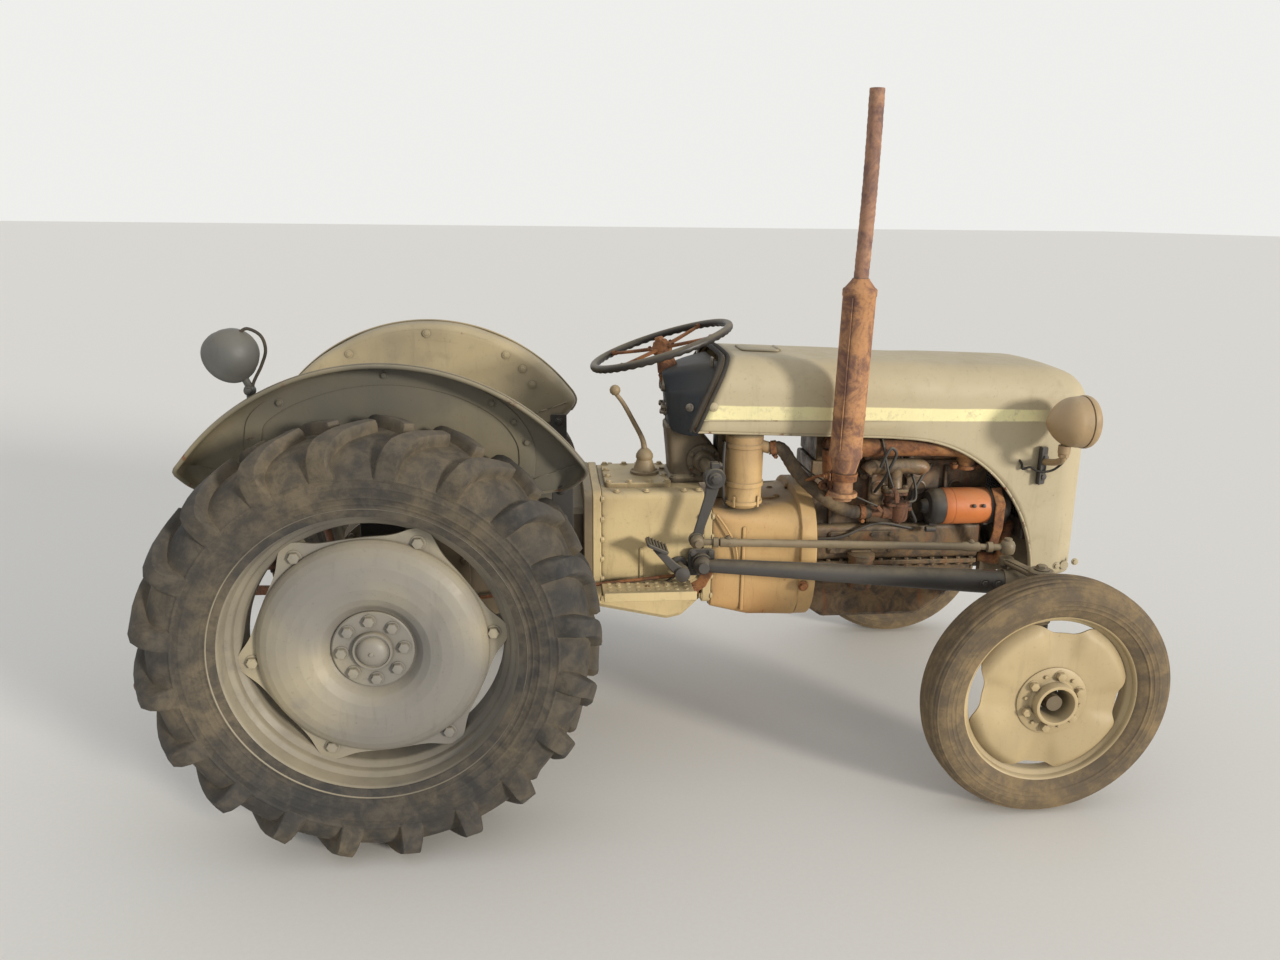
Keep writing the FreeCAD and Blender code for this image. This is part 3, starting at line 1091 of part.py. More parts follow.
def headlamps():
    """Pair of bullet lamps, each on a bent foot bolted to the bonnet's side."""
    pieces = []
    back = HEADLAMP_X - HEADLAMP_LENGTH / 2.0
    r = HEADLAMP_R
    length = HEADLAMP_LENGTH
    profile = [(0.0, 0.0), (0.035 * length, 0.42 * r), (0.17 * length, 0.74 * r),
               (0.38 * length, 0.93 * r), (0.6 * length, 0.985 * r), (0.79 * length, r),
               (0.89 * length, r), (0.95 * length, 0.9 * r), (length, 0.45 * r), (length, 0.0)]
    for side in (1, -1):
        y = side * HEADLAMP_Y
        shell = turned_about(profile, (back, y, HEADLAMP_Z), (1, 0, 0))
        foot_z = HEADLAMP_Z - r - 26.0
        stem = rod((HEADLAMP_X, y, HEADLAMP_Z - r + 6.0), (HEADLAMP_X, y, foot_z - 12.0), 11.0)
        arm = rod((HEADLAMP_X, y, foot_z),
                  (HEADLAMP_X, side * (BONNET_HALF_WIDTH + 4.0), foot_z - 42.0), 9.0)
        pad = block((HEADLAMP_X - 14.0, HEADLAMP_X + 14.0),
                    (side * BONNET_HALF_WIDTH, side * (BONNET_HALF_WIDTH + 6.0)),
                    (foot_z - 120.0, foot_z - 20.0))
        pieces.append(join([shell, stem, arm, pad]))
    return Part.makeCompound(pieces)


# Fenders and driver's place

def fender(side):
    """Inner plate curled over into a narrow crown, with its lower corners rounded."""
    axis_point = (FENDER_X, 0, FENDER_Z)
    inner = FENDER_Y
    outer = FENDER_LIP_Y
    wall = FENDER_WALL
    far = FENDER_R + FENDER_FLARE
    corner = FENDER_CORNER_R
    rise = FENDER_FLARE * corner / (outer - inner)
    mid = corner * (1.0 - math.cos(math.pi / 4.0))
    outside = [(inner, 0.0), (inner, FENDER_R - corner), (inner + mid, FENDER_R - mid),
               (inner + corner, FENDER_R + rise), (outer, far)]
    inside = [(outer, far - wall), (inner + corner + 1.0, FENDER_R + rise - wall),
              (inner + mid + wall * 0.7, FENDER_R - mid - wall * 0.7), (inner + wall, FENDER_R - corner),
              (inner + wall, 0.0)]
    sheet = turned(outside + inside, axis_point[0], axis_point[2], side)
    rear, front = FENDER_END_X
    rear_reach, front_reach = FENDER_END_REACH
    bottom = FENDER_LOW_Z
    deep = outer - inner
    steps = 6
    outline = []
    for index in range(steps + 1):
        angle = math.pi / 2.0 * index / steps
        outline.append((rear + rear_reach * (1.0 - math.cos(angle)),
                        side * (inner + deep * math.sin(angle))))
    for index in range(steps + 1):
        angle = math.pi / 2.0 * (1.0 - index / steps)
        outline.append((front - front_reach * (1.0 - math.cos(angle)),
                        side * (inner + deep * math.sin(angle))))
    outline.append((front, side * (inner - 5.0)))
    outline.append((rear, side * (inner - 5.0)))
    plan = plate(outline, bottom, FENDER_Z + far + 20.0, across="z")
    above = FENDER_Z + far + 20.0
    corners = [(rear, above)] + [(rear + back, bottom + up) for back, up in FENDER_FOOT]
    corners += [(front - back, bottom + up) for back, up in reversed(FENDER_FOOT)] + [(front, above)]
    ends = sorted((side * (inner - 6.0), side * (outer + 6.0)))
    body = sheet.common(plan).common(plate(corners, ends[0], ends[1]))
    trumpet_length = DRUM_INNER_Y - RUNNING_GAP - BACKPLATE_WALL - CASE_HALF_WIDTH
    share = (inner - 24.0 - CASE_HALF_WIDTH) / trumpet_length
    trumpet_r = TRUMPET_ROOT_R + (TRUMPET_END_R - TRUMPET_ROOT_R) * share
    seat_z = TRUMPET_Z + trumpet_r
    bracket = block((-60.0, 60.0), (side * inner, side * (inner - 8.0)), (seat_z, bottom + 120.0))
    foot = block((-46.0, 46.0), (side * (inner - 8.0), side * (inner - 40.0)),
                 (seat_z - 30.0, seat_z + 12.0))
    stay = block((440.0, 500.0), (side * inner, side * (inner - 6.0)),
                 (GEARBOX_TOP_Z - 60.0, bottom + 40.0))
    strap = block((452.0, 488.0), (side * (inner - 6.0), side * (CASE_HALF_WIDTH - 20.0)),
                  (GEARBOX_TOP_Z - 60.0, GEARBOX_TOP_Z - 54.0))
    end = side * (DRUM_INNER_Y - RUNNING_GAP - BACKPLATE_WALL)
    trumpet = rod((0, side * CASE_HALF_WIDTH, TRUMPET_Z), (0, end, TRUMPET_Z), TRUMPET_ROOT_R,
                  TRUMPET_END_R)
    return join([body, bracket, foot, stay, strap]).cut(trumpet)


def footrests():
    pieces = []
    for side in (1, -1):
        low_y, high_y = FOOTREST_Y
        pan = block(FOOTREST_X, (side * low_y, side * high_y), (FOOTREST_Z, FOOTREST_Z + 6.0))
        edge = block(FOOTREST_X, (side * high_y, side * (high_y + 5.0)), (FOOTREST_Z, FOOTREST_Z + 26.0))
        arms = [block((x, x + 34.0), (side * CASE_HALF_WIDTH, side * (low_y + 60.0)),
                      (FOOTREST_Z - 8.0, FOOTREST_Z + 1.0))
                for x in (FOOTREST_X[0] + 30.0, FOOTREST_X[1] - 90.0)]
        pieces.append(join([pan, edge] + arms))
    return Part.makeCompound(pieces)


def seat():
    """Pressed pan seat with a raised back, on a leaf spring bolted to the lift cover."""
    outer = Part.makeSphere(420.0, point(SEAT_X, 0, SEAT_Z + 420.0 - SEAT_DISH))
    inner = Part.makeSphere(420.0 - SEAT_WALL, point(SEAT_X, 0, SEAT_Z + 420.0 - SEAT_DISH))
    bowl = outer.cut(inner)
    keep = rod((SEAT_X, 0, SEAT_Z - SEAT_DISH - 5.0), (SEAT_X, 0, SEAT_Z + 40.0), SEAT_R)
    pan = bowl.common(keep)
    back_outer = rod((SEAT_X, 0, SEAT_Z + 12.0), (SEAT_X, 0, SEAT_Z + 110.0), SEAT_R, SEAT_R + 22.0)
    back_inner = rod((SEAT_X, 0, SEAT_Z + 11.0), (SEAT_X, 0, SEAT_Z + 111.0), SEAT_R - SEAT_WALL,
                     SEAT_R + 22.0 - SEAT_WALL)
    slope = plate([(SEAT_X - 260.0, SEAT_Z), (SEAT_X - 260.0, SEAT_Z + 112.0),
                   (SEAT_X - 150.0, SEAT_Z + 112.0),
                   (SEAT_X + 40.0, SEAT_Z + 22.0), (SEAT_X + 40.0, SEAT_Z)], -240.0, 240.0)
    back = back_outer.cut(back_inner).common(slope)
    spring_low = 812.0
    spring = plate([(340.0, spring_low + 0.3), (340.0, spring_low + 12.0), (290.0, spring_low + 14.0),
                    (205.0, SEAT_Z - SEAT_DISH + 1.0),
                    (150.0, SEAT_Z - SEAT_DISH + 1.0), (150.0, SEAT_Z - SEAT_DISH - 8.0),
                    (195.0, SEAT_Z - SEAT_DISH - 8.0),
                    (280.0, spring_low + 0.3)], -30.0, 30.0)
    return join([pan, back, spring])


def work_lamp():
    """Round lamp on a swivel bracket at the back of the right fender, with its short lead."""
    x, y, z = WORK_LAMP
    axis = Vector(-0.62, 0.62, -0.48)
    axis.normalize()
    r = WORK_LAMP_R
    profile = [(-62.0, 0.0), (-58.0, 0.4 * r), (-40.0, 0.72 * r), (-8.0, 0.96 * r), (14.0, r),
               (26.0, r), (30.0, 0.86 * r),
               (30.0, 0.0)]
    shell = turned_about(profile, (x, y, z), axis)
    low = (x + 26.0, -(FENDER_Y - 9.2), z - 94.0)
    knuckle_ball = Part.makeSphere(15.0, Vector(*low))
    stem = rod((x + 14.0, y + 8.0, z - 50.0), low, 9.0)
    fender_top = FENDER_Z + math.sqrt(FENDER_R ** 2 - (low[0] - FENDER_X) ** 2) - 1.0
    post = rod(low, (low[0], low[1], fender_top - 70.0), 9.0)
    lead = hose([(x + 22.0, y - 10.0, z + 52.0), (x + 44.0, y - 10.0, z + 62.0),
                 (x + 72.0, y - 4.0, z + 44.0),
                 (x + 78.0, y + 4.0, z + 8.0), (x + 62.0, y + 12.0, z - 32.0),
                 (x + 34.0, y + 21.0, z - 84.0)], 4.0)
    return join([shell, knuckle_ball, stem, post, lead])


def pedals():
    pieces = []
    x = RADIUS_ROD_REAR[0] - PEDAL_BEHIND_ROD
    pad_x = x - PEDAL_REACH
    for side in (1, -1):
        y = side * PEDAL_Y
        shaft = rod((x, side * CASE_HALF_WIDTH, PEDAL_Z), (x, side * (PEDAL_Y + 14.0), PEDAL_Z), 13.0)
        arm = rod((x, y, PEDAL_Z), (pad_x - 2.0, y, PEDAL_Z + 83.0), 9.0)
        pad = block((pad_x - 32.0, pad_x + 32.0), (y - 34.0, y + 34.0), (PEDAL_Z + 83.0, PEDAL_Z + 95.0))
        pad.rotate(point(pad_x, y, PEDAL_Z + 89.0), point(0, 1, 0), 25.0)
        pieces.append(join([shaft, arm, pad]))
    return Part.makeCompound(pieces)


def gear_lever():
    top = GEARBOX_TOP_Z + 14.0
    tower = rod((730.0, 0, top), (730.0, 0, top + 42.0), 34.0, 19.0)
    low = rod((730.0, 0, top + 36.0), (722.0, 0, 925.0), 9.0)
    high = rod((722.0, 0, 923.0), (640.0, 0, 1078.0), 7.0)
    knob = Part.makeSphere(17.0, point(638.0, 0, 1086.0))
    return join([tower, low, high, knob])


# Three-point linkage

def eye(x, y, z, radius, length):
    return rod((x, y - length / 2.0, z), (x, y + length / 2.0, z), radius)


def lower_links():
    pieces = []
    for side in (1, -1):
        front = (LINK_PIVOT_X, side * LINK_PIVOT_Y, LINK_PIVOT_Z)
        rear = (LINK_BALL_X, side * LINK_BALL_Y, LINK_BALL_Z)
        shape = join([rod(front, rear, 17.0), eye(*front, 28.0, 30.0),
                      eye(*rear, LINK_EYE_R, LINK_EYE_LENGTH)])
        shape = shape.cut([eye(*front, 11.0 + SPINDLE_FIT, 120.0), eye(*rear, LINK_BORE_R, 120.0)])
        pieces.append(shape)
    return Part.makeCompound(pieces)


def lift_arm_end():
    return (LIFT_SHAFT_X - math.sqrt(LIFT_ARM_LENGTH ** 2 - LIFT_ARM_DROP ** 2),
            LIFT_SHAFT_Z - LIFT_ARM_DROP)


def lift_arms():
    pieces = []
    end_x, end_z = lift_arm_end()
    for side in (1, -1):
        y = side * LIFT_ARM_Y
        shape = join([eye(LIFT_SHAFT_X, y, LIFT_SHAFT_Z, 36.0, 38.0), eye(end_x, y, end_z, 24.0, 26.0),
                      plate([(LIFT_SHAFT_X, LIFT_SHAFT_Z - 30.0), (LIFT_SHAFT_X, LIFT_SHAFT_Z + 30.0),
                             (end_x, end_z + 18.0),
                             (end_x, end_z - 18.0)], y - 11.0, y + 11.0)])
        pin = rod((end_x, y, end_z), (end_x, side * (LIFT_ARM_Y + 13.0 + SIDE_GAP + 20.0), end_z), 9.0)
        shape = join([shape.cut(eye(LIFT_SHAFT_X, y, LIFT_SHAFT_Z, 19.0 + SPINDLE_FIT, 80.0)), pin])
        pieces.append(shape)
    return Part.makeCompound(pieces)


def lift_rods():
    pieces = []
    end_x, end_z = lift_arm_end()
    share = (LINK_PIVOT_X - LIFT_ROD_LOW_X) / (LINK_PIVOT_X - LINK_BALL_X)
    low_z = LINK_PIVOT_Z + share * (LINK_BALL_Z - LINK_PIVOT_Z)
    low_y = LINK_PIVOT_Y + share * (LINK_BALL_Y - LINK_PIVOT_Y) + 17.0 + SIDE_GAP + 12.0
    for side in (1, -1):
        y = side * (LIFT_ARM_Y + 13.0 + SIDE_GAP + 8.0)
        top = (end_x, y, end_z)
        low = (LIFT_ROD_LOW_X, side * low_y, low_z)
        shape = join([rod(top, low, 12.0), eye(*top, 22.0, 16.0), eye(*low, 22.0, 20.0)])
        pieces.append(shape.cut(eye(end_x, y, end_z, 9.0 + SPINDLE_FIT, 60.0)))
    return Part.makeCompound(pieces)


def main():
    os.makedirs("parts", exist_ok=True)
    for name, side in (("left", 1), ("right", -1)):
        for form in (rear_tyre, rear_rim, rear_disc, brake_drum, front_tyre, front_wheel, knuckle,
                     drop_arm, drag_link, fender):
            save(form(side), form.__name__ + "_" + name)
    for form in (front_axle, radius_rods, front_support, steering_column, steering_wheel, gearbox_case,
                 rear_axle_case, hydraulic_cover, engine_block, manifold, exhaust, air_cleaner, air_hose,
                 dynamo, fan_and_belt, radiator, fuel_tank, bonnet, grille, headlamps, footrests, seat,
                 work_lamp, pedals, gear_lever, lower_links, lift_arms, lift_rods):
        save(form(), form.__name__)


main()
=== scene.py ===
"""Old grey farm tractor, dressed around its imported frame.

Places are worked out in millimetres from the middle of the rear axle, with X forward, Y to the
tractor's left and Z up from the ground, and go into the meshes in metres in the frame's own place.
side is +1 for the left and -1 for the right.
"""

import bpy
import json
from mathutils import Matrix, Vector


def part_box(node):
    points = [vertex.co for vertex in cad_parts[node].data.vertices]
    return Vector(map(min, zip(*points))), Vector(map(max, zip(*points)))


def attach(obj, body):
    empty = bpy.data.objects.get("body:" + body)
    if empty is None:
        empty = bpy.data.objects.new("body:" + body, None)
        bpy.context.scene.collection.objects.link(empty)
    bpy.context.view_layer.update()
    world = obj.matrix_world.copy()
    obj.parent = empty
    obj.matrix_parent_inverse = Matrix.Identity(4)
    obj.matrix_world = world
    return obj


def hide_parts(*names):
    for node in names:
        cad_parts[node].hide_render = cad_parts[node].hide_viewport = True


bl_info = {
    "name": "Old farm tractor",
    "version": (1, 0, 0),
    "blender": (4, 5, 0),
    "location": "View3D > Sidebar > Tractor",
    "description": "Tyres, wheels, bonnet, fenders, engine and lamps of a worn farm tractor",
    "category": "Add Mesh",
}

import json
import math

import bmesh
import bpy
import numpy as np
from bpy.props import FloatProperty, FloatVectorProperty, IntProperty, PointerProperty
from mathutils import Matrix, Vector

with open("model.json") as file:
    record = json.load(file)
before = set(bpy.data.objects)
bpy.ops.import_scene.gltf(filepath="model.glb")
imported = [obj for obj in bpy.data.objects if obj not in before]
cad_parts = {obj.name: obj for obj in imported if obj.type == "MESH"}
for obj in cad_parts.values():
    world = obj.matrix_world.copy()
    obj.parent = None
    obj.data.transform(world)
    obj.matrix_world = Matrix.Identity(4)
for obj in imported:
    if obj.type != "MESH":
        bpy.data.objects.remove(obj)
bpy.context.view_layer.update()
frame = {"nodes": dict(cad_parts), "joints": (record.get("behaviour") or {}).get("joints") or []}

MM = 0.001
TAU = 2 * math.pi
UP = (0, 0, 1)
DOWN = (0, 0, -1)
FORWARD = (1, 0, 0)
BACKWARD = (-1, 0, 0)
LEFT = (0, 1, 0)
WEAR = "wear"
SIDES = (("left", 1), ("right", -1))


def joint_origin(name):
    """Origin of a joint of the frame, in metres."""
    return next(joint["pos_m"] for joint in frame["joints"] if joint["name"] == name)


AXLE_X = joint_origin("rear_wheel_left_roll")[0] / MM


def node_box(name):
    """Lowest and highest corner of a node in millimetres from the rear axle, at rest."""
    low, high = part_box(name)
    shift = np.array([AXLE_X, 0, 0])
    return np.array(low) / MM - shift, np.array(high) / MM - shift


# Surfaces


class Form:
    """Vertices in millimetres, faces as arrays of equal-sided rows, and a wear value at each vertex."""

    def __init__(self, points, faces, wear=None):
        self.points = np.asarray(points, float).reshape(-1, 3)
        self.faces = faces
        self.wear = np.zeros(len(self.points)) if wear is None else np.broadcast_to(wear,
            len(self.points)).copy()

    def moved(self, shift):
        """Copy shifted by a vector."""
        return Form(self.points + np.asarray(shift, float), self.faces, self.wear)

    def placed(self, matrix, shift=(0, 0, 0)):
        """Copy turned by a matrix and then shifted."""
        return Form(self.points @ np.asarray(matrix, float).T + np.asarray(shift, float), self.faces, self.wear)


def merged(forms):
    """One form with the vertices and faces of several."""
    starts = np.cumsum([0] + [len(form.points) for form in forms[:-1]])
    faces = [rows + start for form, start in zip(forms, starts) for rows in form.faces]
    return Form(np.concatenate([form.points for form in forms]), faces,
        np.concatenate([form.wear for form in forms]))


def grid(points, close_u=False, close_v=False, cap=False, wear=None):
    """Surface through points of two parameters, quad by quad; cap fills the first and last rows."""
    rows, columns = points.shape[:2]
    u = np.arange(rows if close_u else rows - 1)
    v = np.arange(columns if close_v else columns - 1)
    a, b = [side.ravel() for side in np.meshgrid(u, v, indexing="ij")]
    a2 = (a + 1) % rows
    b2 = (b + 1) % columns
    faces = [np.stack([a * columns + b, a2 * columns + b, a2 * columns + b2, a * columns + b2], 1)]
    if cap:
        first = np.arange(columns)
        faces += [first[None, ::-1], (first + (rows - 1) * columns)[None]]
    return Form(points.reshape(-1, 3), faces, None if wear is None else np.asarray(wear).ravel())


def unit(vector):
    """Vector made one long."""
    vector = np.asarray(vector, float)
    return vector / np.linalg.norm(vector)


def across_axes(axis):
    """Two unit vectors square to an axis and to each other."""
    axis = unit(axis)
    helper = np.array([0, 0, 1]) if abs(axis[2]) < 0.9 else np.array([1, 0, 0])
    first = unit(np.cross(helper, axis))
    return first, np.cross(axis, first)


def revolved(profile, origin, axis, steps=96, closed=False, wear=None):
    """Profile of (distance along the axis, radius) turned about the axis: origin + along + radius * (cos, sin)."""
    profile = np.asarray(profile, float)
    axis = unit(axis)
    first, second = across_axes(axis)
    angle = np.linspace(0, TAU, steps, endpoint=False)[:, None, None]
    ring = np.cos(angle) * first + np.sin(angle) * second
    points = np.asarray(origin, float) + profile[None, :, :1] * axis + profile[None, :, 1:2] * ring
    shade = None if wear is None else np.broadcast_to(np.asarray(wear, float), points.shape[:2])
    return grid(points, close_u=True, close_v=closed, wear=shade)


def rounded(outline, radius, steps=5, closed=True):
    """Outline whose corners are arcs: each corner's arc is tangent to its two sides at the same reach."""
    outline = np.asarray(outline, float)
    count = len(outline)
    radius = np.broadcast_to(np.asarray(radius, float), count)
    rows = []
    for index in range(count):
        here = outline[index]
        if radius[index] <= 0 or (not closed and index in (0, count - 1)):
            rows.append(here[None])
            continue
        back = outline[index - 1] - here
        ahead = outline[(index + 1) % count] - here
        back_length, ahead_length = np.linalg.norm(back), np.linalg.norm(ahead)
        back, ahead = back / back_length, ahead / ahead_length
        half = math.acos(np.clip(back @ ahead, -1, 1)) / 2
        reach = min(radius[index] / max(math.tan(half), 1e-3), 0.49 * min(back_length, ahead_length))
        t = np.linspace(0, 1, steps)[:, None]
        curve = (1 - t) ** 2 * (here + back * reach) + 2 * t * (1 - t) * here + t ** 2 * (here + ahead * reach)
        rows.append(curve)
    return np.concatenate(rows)


def inset(outline, amount):
    """Closed outline moved inwards by amount, square to its sides."""
    ahead = np.roll(outline, -1, 0) - outline
    ahead /= np.maximum(np.linalg.norm(ahead, axis=1, keepdims=True), 1e-9)
    back = np.roll(ahead, 1, 0)
    normal = np.stack([-(ahead[:, 1] + back[:, 1]), ahead[:, 0] + back[:, 0]], 1)
    normal /= np.maximum(np.linalg.norm(normal, axis=1, keepdims=True), 1e-9)
    area = np.sum(outline[:, 0] * np.roll(outline[:, 1], -1) - outline[:, 1] * np.roll(outline[:, 0], -1))
    lean = np.clip(np.sum(normal * np.stack([-ahead[:, 1], ahead[:, 0]], 1), 1), 0.4, 1)
    return outline + normal * (amount * np.sign(area) / lean)[:, None]


def prism(outline, low, high, across="y", bevel=1.5, wear=0):
    """Outline pushed from low to high with a small bevel at both ends: (x, z) across y, (x, y) across z, (y, z) across x."""
    outline = np.asarray(outline, float)
    inner = inset(outline, bevel)
    levels = [(inner, low), (outline, low + bevel), (outline, high - bevel), (inner, high)]
    order = {"y": (0, 2, 1), "z": (0, 1, 2), "x": (1, 2, 0)}[across]
    rows = np.zeros((len(levels), len(outline), 3))
    for row, (ring, level) in zip(rows, levels):
        row[:, order[0]] = ring[:, 0]
        row[:, order[1]] = ring[:, 1]
        row[:, order[2]] = level
    return grid(rows, close_v=True, cap=True, wear=np.full(rows.shape[:2], wear))


def slab(x, y, z, radius=4, bevel=1.5, across="z", wear=0):
    """Box between three pairs of values with rounded upright corners."""
    pairs = {"y": (x, z, y), "z": (x, y, z), "x": (y, z, x)}[across]
    (a0, a1), (b0, b1), (low, high) = [sorted(pair) for pair in pairs]
    outline = rounded([(a0, b0), (a1, b0), (a1, b1), (a0, b1)], radius)
    return prism(outline, low, high, across, min(bevel, 0.45 * (high - low)), wear)


def curve_through(points, steps=10):
    """Smooth line through the points: the cubic between two points that leans on its neighbours."""
    points = np.asarray(points, float)
    if len(points) < 3:
        return points
    padded = np.concatenate([2 * points[:1] - points[1:2], points, 2 * points[-1:] - points[-2:-1]])
    t = np.linspace(0, 1, steps, endpoint=False)[:, None]
    rows = [0.5 * (2 * b + (c - a) * t + (2 * a - 5 * b + 4 * c - d) * t ** 2
        + (3 * b - a - 3 * c + d) * t ** 3) for a, b, c, d in zip(padded, padded[1:], padded[2:], padded[3:])]
    return np.concatenate(rows + [points[-1:]])


def swept(path, section, scale=None, cap=True, wear=0, up=UP):
    """Section of (side, up) values carried along a path, square to it and turned as little as possible."""
    path = np.asarray(path, float)
    section = np.asarray(section, float)
    ahead = np.gradient(path, axis=0)
    ahead /= np.linalg.norm(ahead, axis=1, keepdims=True)
    scale = np.ones(len(path)) if scale is None else np.asarray(scale, float)
    start = np.asarray(up, float)
    if abs(ahead[0] @ start) > 0.95:
        start = np.array([1, 0, 0])
    tops = []
    for row in ahead:
        start = unit(start - row * (start @ row))
        tops.append(start)
    tops = np.array(tops)
    sides = np.cross(ahead, tops)
    points = (path[:, None] + scale[:, None, None] * (section[None, :, :1] * sides[:, None] + section[None, :,
        1:] * tops[:, None]))
    return grid(points, close_v=True, cap=cap, wear=np.full(points.shape[:2], wear))


def span(side, near, far):
    """Lowest and highest y of a stretch across one side."""
    return sorted((side * near, side * far))


def circle(radius, sides=16):
    """Section on a circle: radius * (cos, sin)."""
    angle = np.linspace(0, TAU, sides, endpoint=False)
    return radius * np.stack([np.cos(angle), np.sin(angle)], 1)


def tube(points, radius, sides=16, steps=10, smooth=True, wear=0):
    """Round bar or pipe along points; radius is one value or one for each point."""
    points = np.asarray(points, float)
    path = curve_through(points, steps) if smooth else points
    radius = np.atleast_1d(np.asarray(radius, float))
    if len(radius) == 1:
        scale = np.full(len(path), radius[0])
    else:
        scale = np.interp(np.linspace(0, 1, len(path)), np.linspace(0, 1, len(radius)), radius)
    return swept(path, circle(1, sides), scale, wear=wear)


def bar(start, end, profile, sides=32, wear=0):
    """Turned bar between two points; the profile has columns (share of the way or millimetres, radius)."""
    start, end = np.asarray(start, float), np.asarray(end, float)
    length = np.linalg.norm(end - start)
    if np.isscalar(profile):
        edge = min(1.2, 0.2 * profile, 0.2 * length)
        profile = [(0, 0), (0, profile - edge), (edge, profile), (length - edge, profile),
            (length, profile - edge), (length, 0)]
    return revolved(profile, start, end - start, sides, wear=wear)


def ball(centre, radius, sides=24, squash=1):
    angle = np.linspace(-math.pi / 2, math.pi / 2, sides // 2 + 1)
    profile = np.stack([radius * squash * np.sin(angle), radius * np.cos(angle)], 1)
    return revolved(profile, centre, UP, sides)


def bolts(places, direction, radius=9, height=8, washer=0, wear=0.6):
    """Six-sided heads with a domed top at many places, all along one direction."""
    direction = unit(direction)
    first, second = across_axes(direction)
    angle = np.linspace(0, TAU, 6, endpoint=False)
    hexagon = np.cos(angle)[:, None] * first + np.sin(angle)[:, None] * second
    levels = [(-1, 1), (0.72 * height, 1), (0.93 * height, 0.88), (height, 0.55), (1.03 * height, 0)]
    head = np.array([[direction * along + row * radius * share for row in hexagon] for along, share in levels])
    base = grid(head, close_v=True, wear=np.full(head.shape[:2], wear))
    forms = [base.moved(place) for place in np.asarray(places, float).reshape(-1, 3)]
    if washer:
        forms += [revolved([(-1, 0), (-1, washer), (1.8, washer), (2.2, washer - 1), (2.2, 0)], place,
            direction, 20, wear=0.3) for place in np.asarray(places, float).reshape(-1, 3)]
    return merged(forms)


def ringed(count, radius, centre, start=0):
    """Places on a circle about an axle along Y."""
    angle = np.radians(start) + np.linspace(0, TAU, count, endpoint=False)
    return np.stack([centre[0] + radius * np.cos(angle), np.full(count, centre[1]),
        centre[2] + radius * np.sin(angle)], 1)


def dented(form, centre, radius, push):
    """Form pushed in around a centre; the push fades with the distance as a bell curve."""
    away = np.linalg.norm(form.points - np.asarray(centre, float), axis=1) / radius
    points = form.points + np.exp(-away ** 2 * 2)[:, None] * np.asarray(push, float)
    return Form(points, form.faces, form.wear)


def piece(name, forms, finish, body="chassis", replaces=(), sharp=36, wall=0, soften=0):
    """Mesh object from forms: doubles merged, faces turned outwards, smooth but for its sharp edges."""
    form = merged(forms) if isinstance(forms, (list, tuple)) else forms
    mesh = bpy.data.meshes.new(name)
    points = form.points + np.array([AXLE_X, 0, 0])
    loops = np.concatenate([rows.ravel() for rows in form.faces])
    sizes = np.concatenate([np.full(len(rows), rows.shape[1]) for rows in form.faces])
    starts = np.concatenate([[0], np.cumsum(sizes)[:-1]])
    mesh.vertices.add(len(points))
    mesh.vertices.foreach_set("co", (points * MM).ravel())
    mesh.loops.add(len(loops))
    mesh.loops.foreach_set("vertex_index", loops.astype(np.int32))
    mesh.polygons.add(len(sizes))
    mesh.polygons.foreach_set("loop_start", starts.astype(np.int32))
    mesh.update(calc_edges=True)
    mesh.attributes.new(WEAR, "FLOAT", "POINT").data.foreach_set("value", form.wear.astype(np.float32))
    work = bmesh.new()
    work.from_mesh(mesh)
    bmesh.ops.remove_doubles(work, verts=work.verts, dist=0.02 * MM)
    bmesh.ops.recalc_face_normals(work, faces=work.faces)
    work.to_mesh(mesh)
    work.free()
    mesh.shade_smooth()
    mesh.set_sharp_from_angle(angle=math.radians(sharp))
    thing = bpy.data.objects.new(name, mesh)
    bpy.context.scene.collection.objects.link(thing)
    if wall:
        thick = thing.modifiers.new("wall", "SOLIDIFY")
        thick.thickness = wall * MM
        thick.offset = -1
    if soften:
        smooth = thing.modifiers.new("soften", "SUBSURF")
        smooth.levels = soften
        smooth.render_levels = soften
    mesh.materials.append(finish)
    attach(thing, body)
    if replaces:
        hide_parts(*replaces)
    return thing


# Finishes


